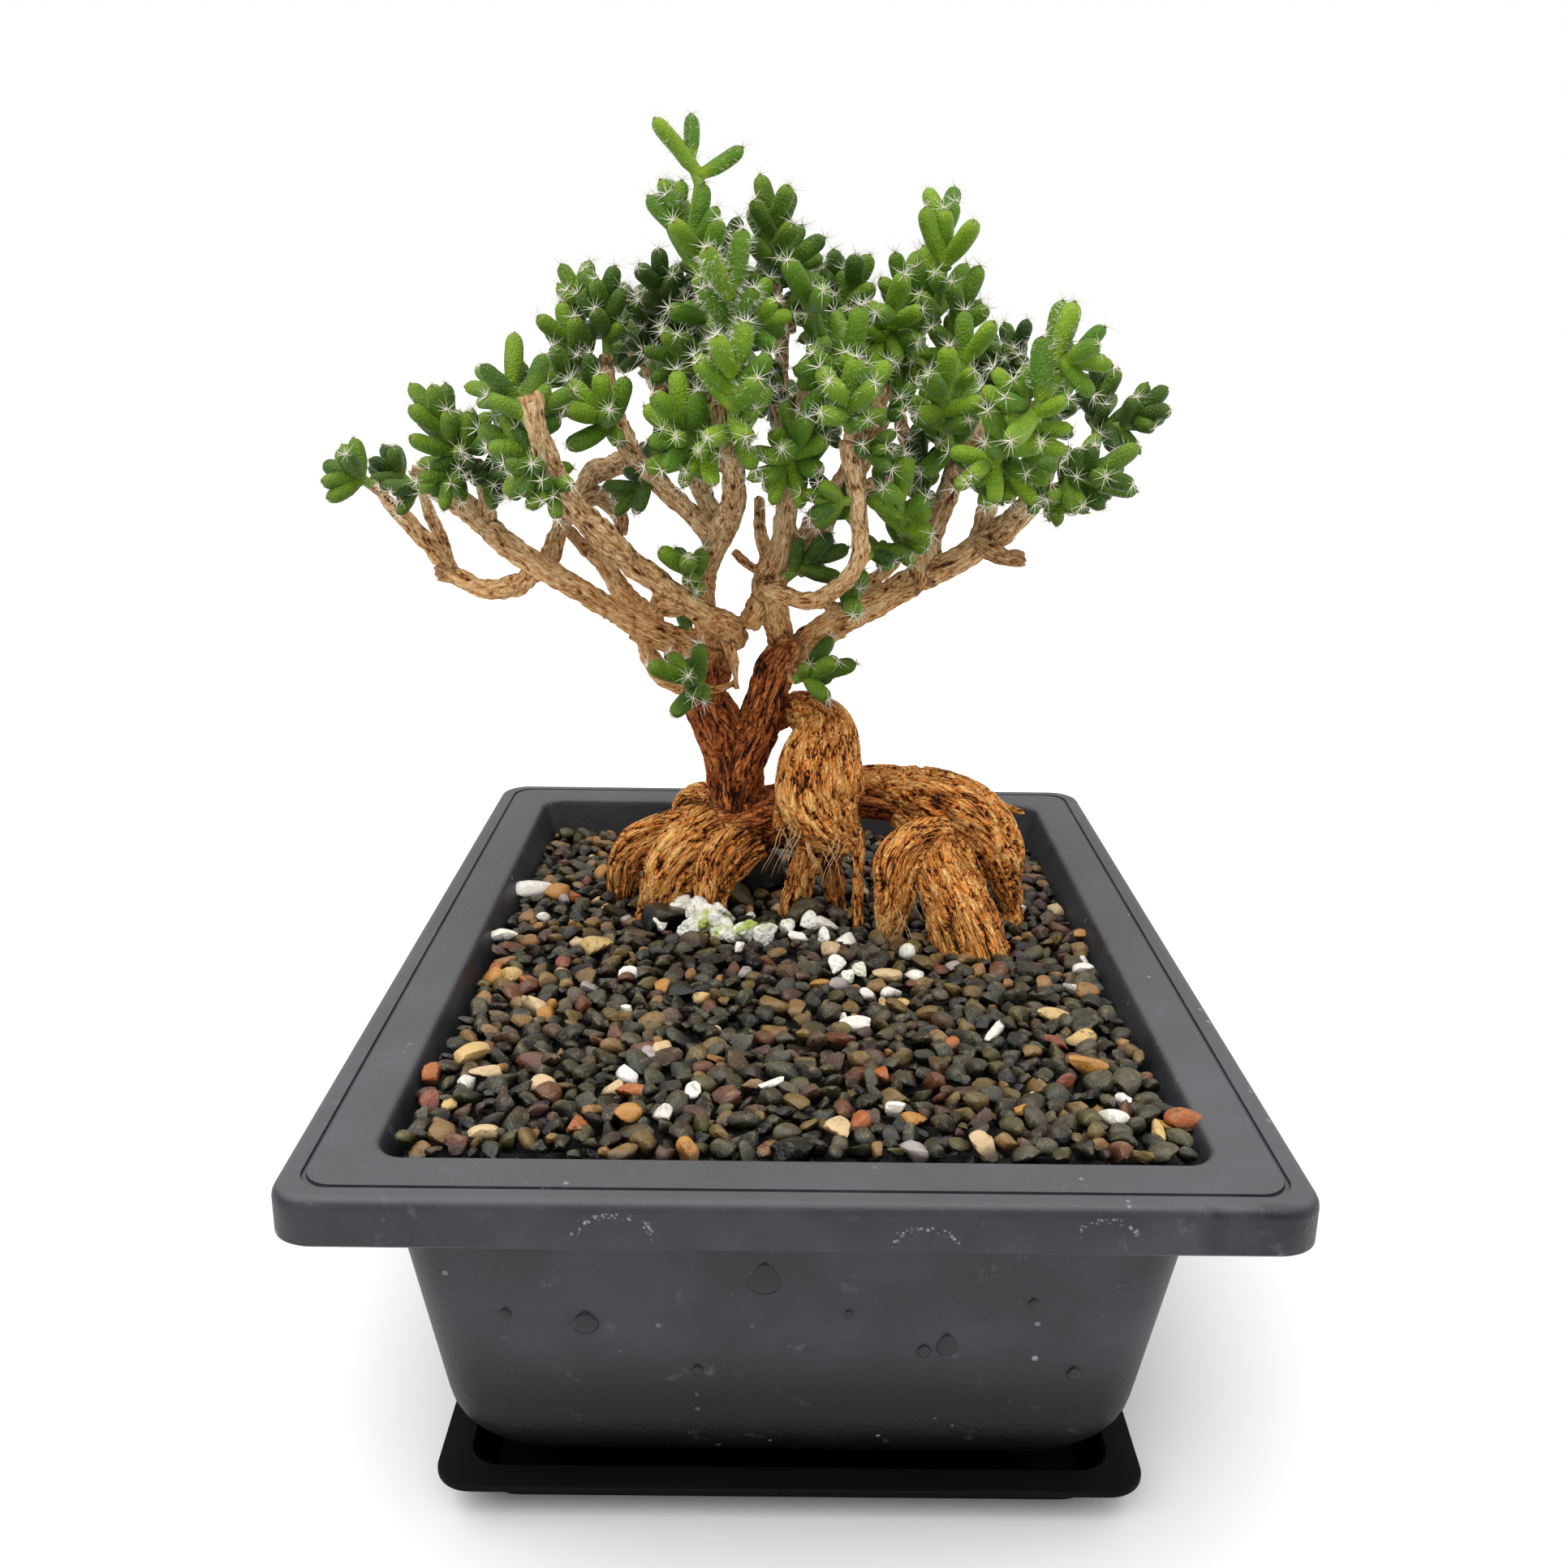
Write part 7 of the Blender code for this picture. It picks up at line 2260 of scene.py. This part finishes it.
                kept.append(row)
        return kept

    def build_stones(self, pot: Pot, wood: WoodLines) -> None:
        """The stones in two layers, as one piece for each group of colours.

        Args:
            pot: gives the walls.
            wood: gives the roots to keep clear of.
        """
        rng, heaps = random.Random(SEED + 2), [Heap(), Heap(), Heap()]
        fine, coarse, plain = self.stone_shapes(3, 24), self.stone_shapes(2, 24), self.stone_shapes(1, 12)
        rows = [(row, False) for row in self.scatter(pot, wood, SEED, 0.0)]
        rows += [(row, True) for row in self.scatter(pot, wood, SEED + 3, 1.7)]
        for (x, y, z, radius), lower in rows:
            faces, shapes = plain if lower else fine if radius > 1.2 and y < -12 else coarse
            size = [radius * rng.uniform(*share) for share in ((1.0, 1.35), (0.8, 1.0), (0.6, 0.9))]
            turned = (rotation(rng.uniform(0, math.tau)) @ rotation(rng.gauss(0, 0.34), "X")
                      @ rotation(rng.gauss(0, 0.34), "Y"))
            draw = rng.random()
            # Stones of the lower layer are all dark and carry no height, so the painted shade of their finish
            # darkens them fully: they stand for the shade in the gaps of the top layer.
            group = 0 if draw < 0.57 or lower else 1 if draw < 0.94 else 2
            lot = 0.3 if lower else self.lot(rng.randrange(len(Tint)))
            shape = (shapes[rng.randrange(len(shapes))] * size) @ np.array(turned).T
            heaps[group].add(shape + (x, y, z), [faces], lot=lot, rise=0.0 if lower else shape[:, 2] / radius)
        faces, shapes = self.stone_shapes(4, 8)
        for (x, y, z, size, angle, group, lot), shape in zip(self.large, shapes):
            shape = shape * size @ np.array(rotation(math.radians(angle))).T
            heaps[group].add(shape + (x, y, z), [faces], lot=lot, rise=shape[:, 2] / size[2])
        faces, shapes = fine
        for i, (x, y, half, wide, angle, tint) in enumerate(self.pale):
            thick = min(wide * 0.75, 1.5)
            flat = shapes[i % len(shapes)] * (half, wide, thick)
            shape = flat @ np.array(rotation(math.radians(angle))).T
            at = (x, y, self.level(x, y) + 0.9 + thick * 0.4)
            heaps[2].add(shape + at, [faces], lot=self.lot(tint.value), rise=shape[:, 2] / thick + 0.2)
        finishes = (StoneFinish("dark_stone", self.dark, 0.3), StoneFinish("brown_stone", self.brown, 0.34),
                    StoneFinish("bright_stone", self.bright, 0.4))
        for heap, finish in zip(heaps, finishes):
            ride(heap.build(finish.name + "s", [finish.material()], 34))

    def lot(self, number: int) -> float:
        """The middle of one colour's place in a palette, from 0 to 1."""
        return (number + 0.5) / len(Tint)

    def build_pumice(self) -> None:
        """White porous lumps beside the roots, and crumbs of the same stone on the gravel."""
        rng, pile = random.Random(SEED + 1), []
        for x, y, radius in PUMICE:
            angle, bloom = rng.uniform(0, math.tau), 0.1 + 0.9 * (x > -14)
            z = self.pumice_floor + 0.7 * radius + rng.uniform(0.0, 0.8)
            pile.append((x, y, z, radius * 0.94, bloom))
            pile.append((x + math.cos(angle) * 1.8, y + math.sin(angle) * 1.8,
                         self.pumice_floor + rng.uniform(3.2, 4.2), radius * rng.uniform(0.46, 0.62), bloom))
        crumbs = [(x, y, self.level(x, y) + 1.5, radius, bloom) for x, y, radius, bloom in self.crumbs]
        faces, shapes = self.stone_shapes(4, 4, (4, 8))
        stone = PumiceFinish().material()
        for name, lumps, nodes in (("pumice_lumps", pile, ["pumice"]), ("pumice_crumbs", crumbs, [])):
            heap = Heap()
            for i, (x, y, z, radius, bloom) in enumerate(lumps):
                ball = shapes[i % 4]
                grown = np.empty(len(ball))
                for k, point in enumerate(ball):
                    place = Vector(point) * 1.3 + Vector((i * 5.0, z, 0))
                    pore = max(0.0, noise.noise(place * 3.2) - 0.15)
                    grown[k] = 1 + 0.14 * noise.noise(place) - 0.5 * pore + 0.07 * noise.noise(place * 7)
                size = np.array([1.0, rng.uniform(0.82, 0.96), rng.uniform(0.8, 0.95)]) * radius
                turned = np.array(rotation(rng.uniform(0, math.tau)))
                heap.add((ball * grown[:, None] * size) @ turned.T + (x, y, z), [faces], lot=bloom)
            ride(heap.build(name, [stone], 80), *nodes)

    def build(self, pot: Pot, wood: WoodLines) -> None:
        """Builds everything in the pot below the plant.

        Args:
            pot: gives the walls.
            wood: gives the roots to keep clear of.
        """
        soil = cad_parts["soil"]
        for slot in soil.material_slots:
            slot.material = EarthFinish("soil", srgb(74, 54, 40), srgb(26, 18, 13)).material()
        self.build_bed(pot)
        self.build_stones(pot, wood)
        self.build_pumice()


@dataclass
class Studio:
    """A plain pale floor, soft light from above and a camera at the photograph's viewing angle."""

    # The focal length is the picture's width over twice the tangent of half its angle, in pixels of it.
    focal: float = 1874.46
    width: float = 1932.0
    pitch: float = 0.2963
    yaw: float = 0.0049
    roll: float = -0.0132
    at: tuple[float, float, float] = (-2.7926, -229.7455, 152.3514)
    # Soft lights as (where the light comes from, width in degrees, strength).
    lights: tuple[tuple, ...] = (((-0.25, -0.22, 0.95), 75, 2.8), ((0.75, -0.15, 0.60), 80, 0.6))
    glow: float = 0.58

    def camera(self) -> None:
        """Places the camera."""
        cp, sp, cy, sy = math.cos(self.pitch), math.sin(self.pitch), math.cos(self.yaw), math.sin(self.yaw)
        ahead, right = Vector((sy * cp, cy * cp, -sp)), Vector((cy, -sy, 0))
        down = ahead.cross(right)
        cr, sr = math.cos(self.roll), math.sin(self.roll)
        turned = Matrix((right * cr + down * sr, right * sr - down * cr, -ahead)).transposed().to_4x4()
        turned.translation = Vector(self.at) * MM
        lens = bpy.data.cameras.new("camera")
        lens.sensor_width = 36.0
        lens.lens = self.focal * 36.0 / self.width
        lens.clip_start = 0.01
        camera = bpy.data.objects.new("camera", lens)
        camera.matrix_world = turned
        bpy.context.scene.collection.objects.link(camera)
        bpy.context.scene.camera = camera

    def floor(self) -> None:
        """Lays the floor."""
        finish = Finish("floor", Roughness=0.6)
        bench = finish.bench
        cloud = bench.noise(bench.here(), 3.0)
        finish.feed("Base Color", bench.mix(cloud, srgb(252, 252, 252), srgb(249, 249, 249)))
        mesh = bpy.data.meshes.new("floor")
        reach = 30.0
        mesh.from_pydata([(-reach, -reach, 0), (reach, -reach, 0), (reach, reach, 0), (-reach, reach, 0)], [],
                         [(0, 1, 2, 3)])
        mesh.materials.append(finish.material)
        obj = bpy.data.objects.new("floor", mesh)
        bpy.context.scene.collection.objects.link(obj)

    def light(self) -> None:
        """Sets the white surroundings and the soft lights."""
        world = bpy.data.worlds.new("white_room")
        world.use_nodes = True
        bench = Bench(world.node_tree)
        seen = bench.place("LightPath", out="Is Camera Ray")
        background = world.node_tree.nodes["Background"]
        background.inputs["Color"].default_value = (1.0, 1.0, 1.0, 1.0)
        strength = bench.scaled(seen, 1.0 - self.glow, self.glow)
        world.node_tree.links.new(strength, background.inputs["Strength"])
        bpy.context.scene.world = world
        for i, (source, width, strength) in enumerate(self.lights):
            lamp = bpy.data.lights.new(f"soft_light_{i + 1}", "SUN")
            lamp.angle, lamp.energy = math.radians(width), strength
            obj = bpy.data.objects.new(lamp.name, lamp)
            obj.rotation_euler = Vector(source).to_track_quat("Z", "Y").to_euler()
            bpy.context.scene.collection.objects.link(obj)
        bpy.context.scene.view_settings.view_transform = "Standard"

    def build(self) -> None:
        """Sets up the studio."""
        self.camera()
        self.floor()
        self.light()


def main() -> None:
    """Builds the studio and every piece in order."""
    logging.basicConfig(level=logging.INFO, format="%(name)s %(message)s")
    Studio().build()
    pot, wood = Pot(), WoodLines()
    growth = Growth(wood)
    Tray().build()
    pot.build()
    Ground().build(pot, wood)
    Wood().build(growth)
    Foliage().build(growth)


if __name__ == "__main__":
    main()
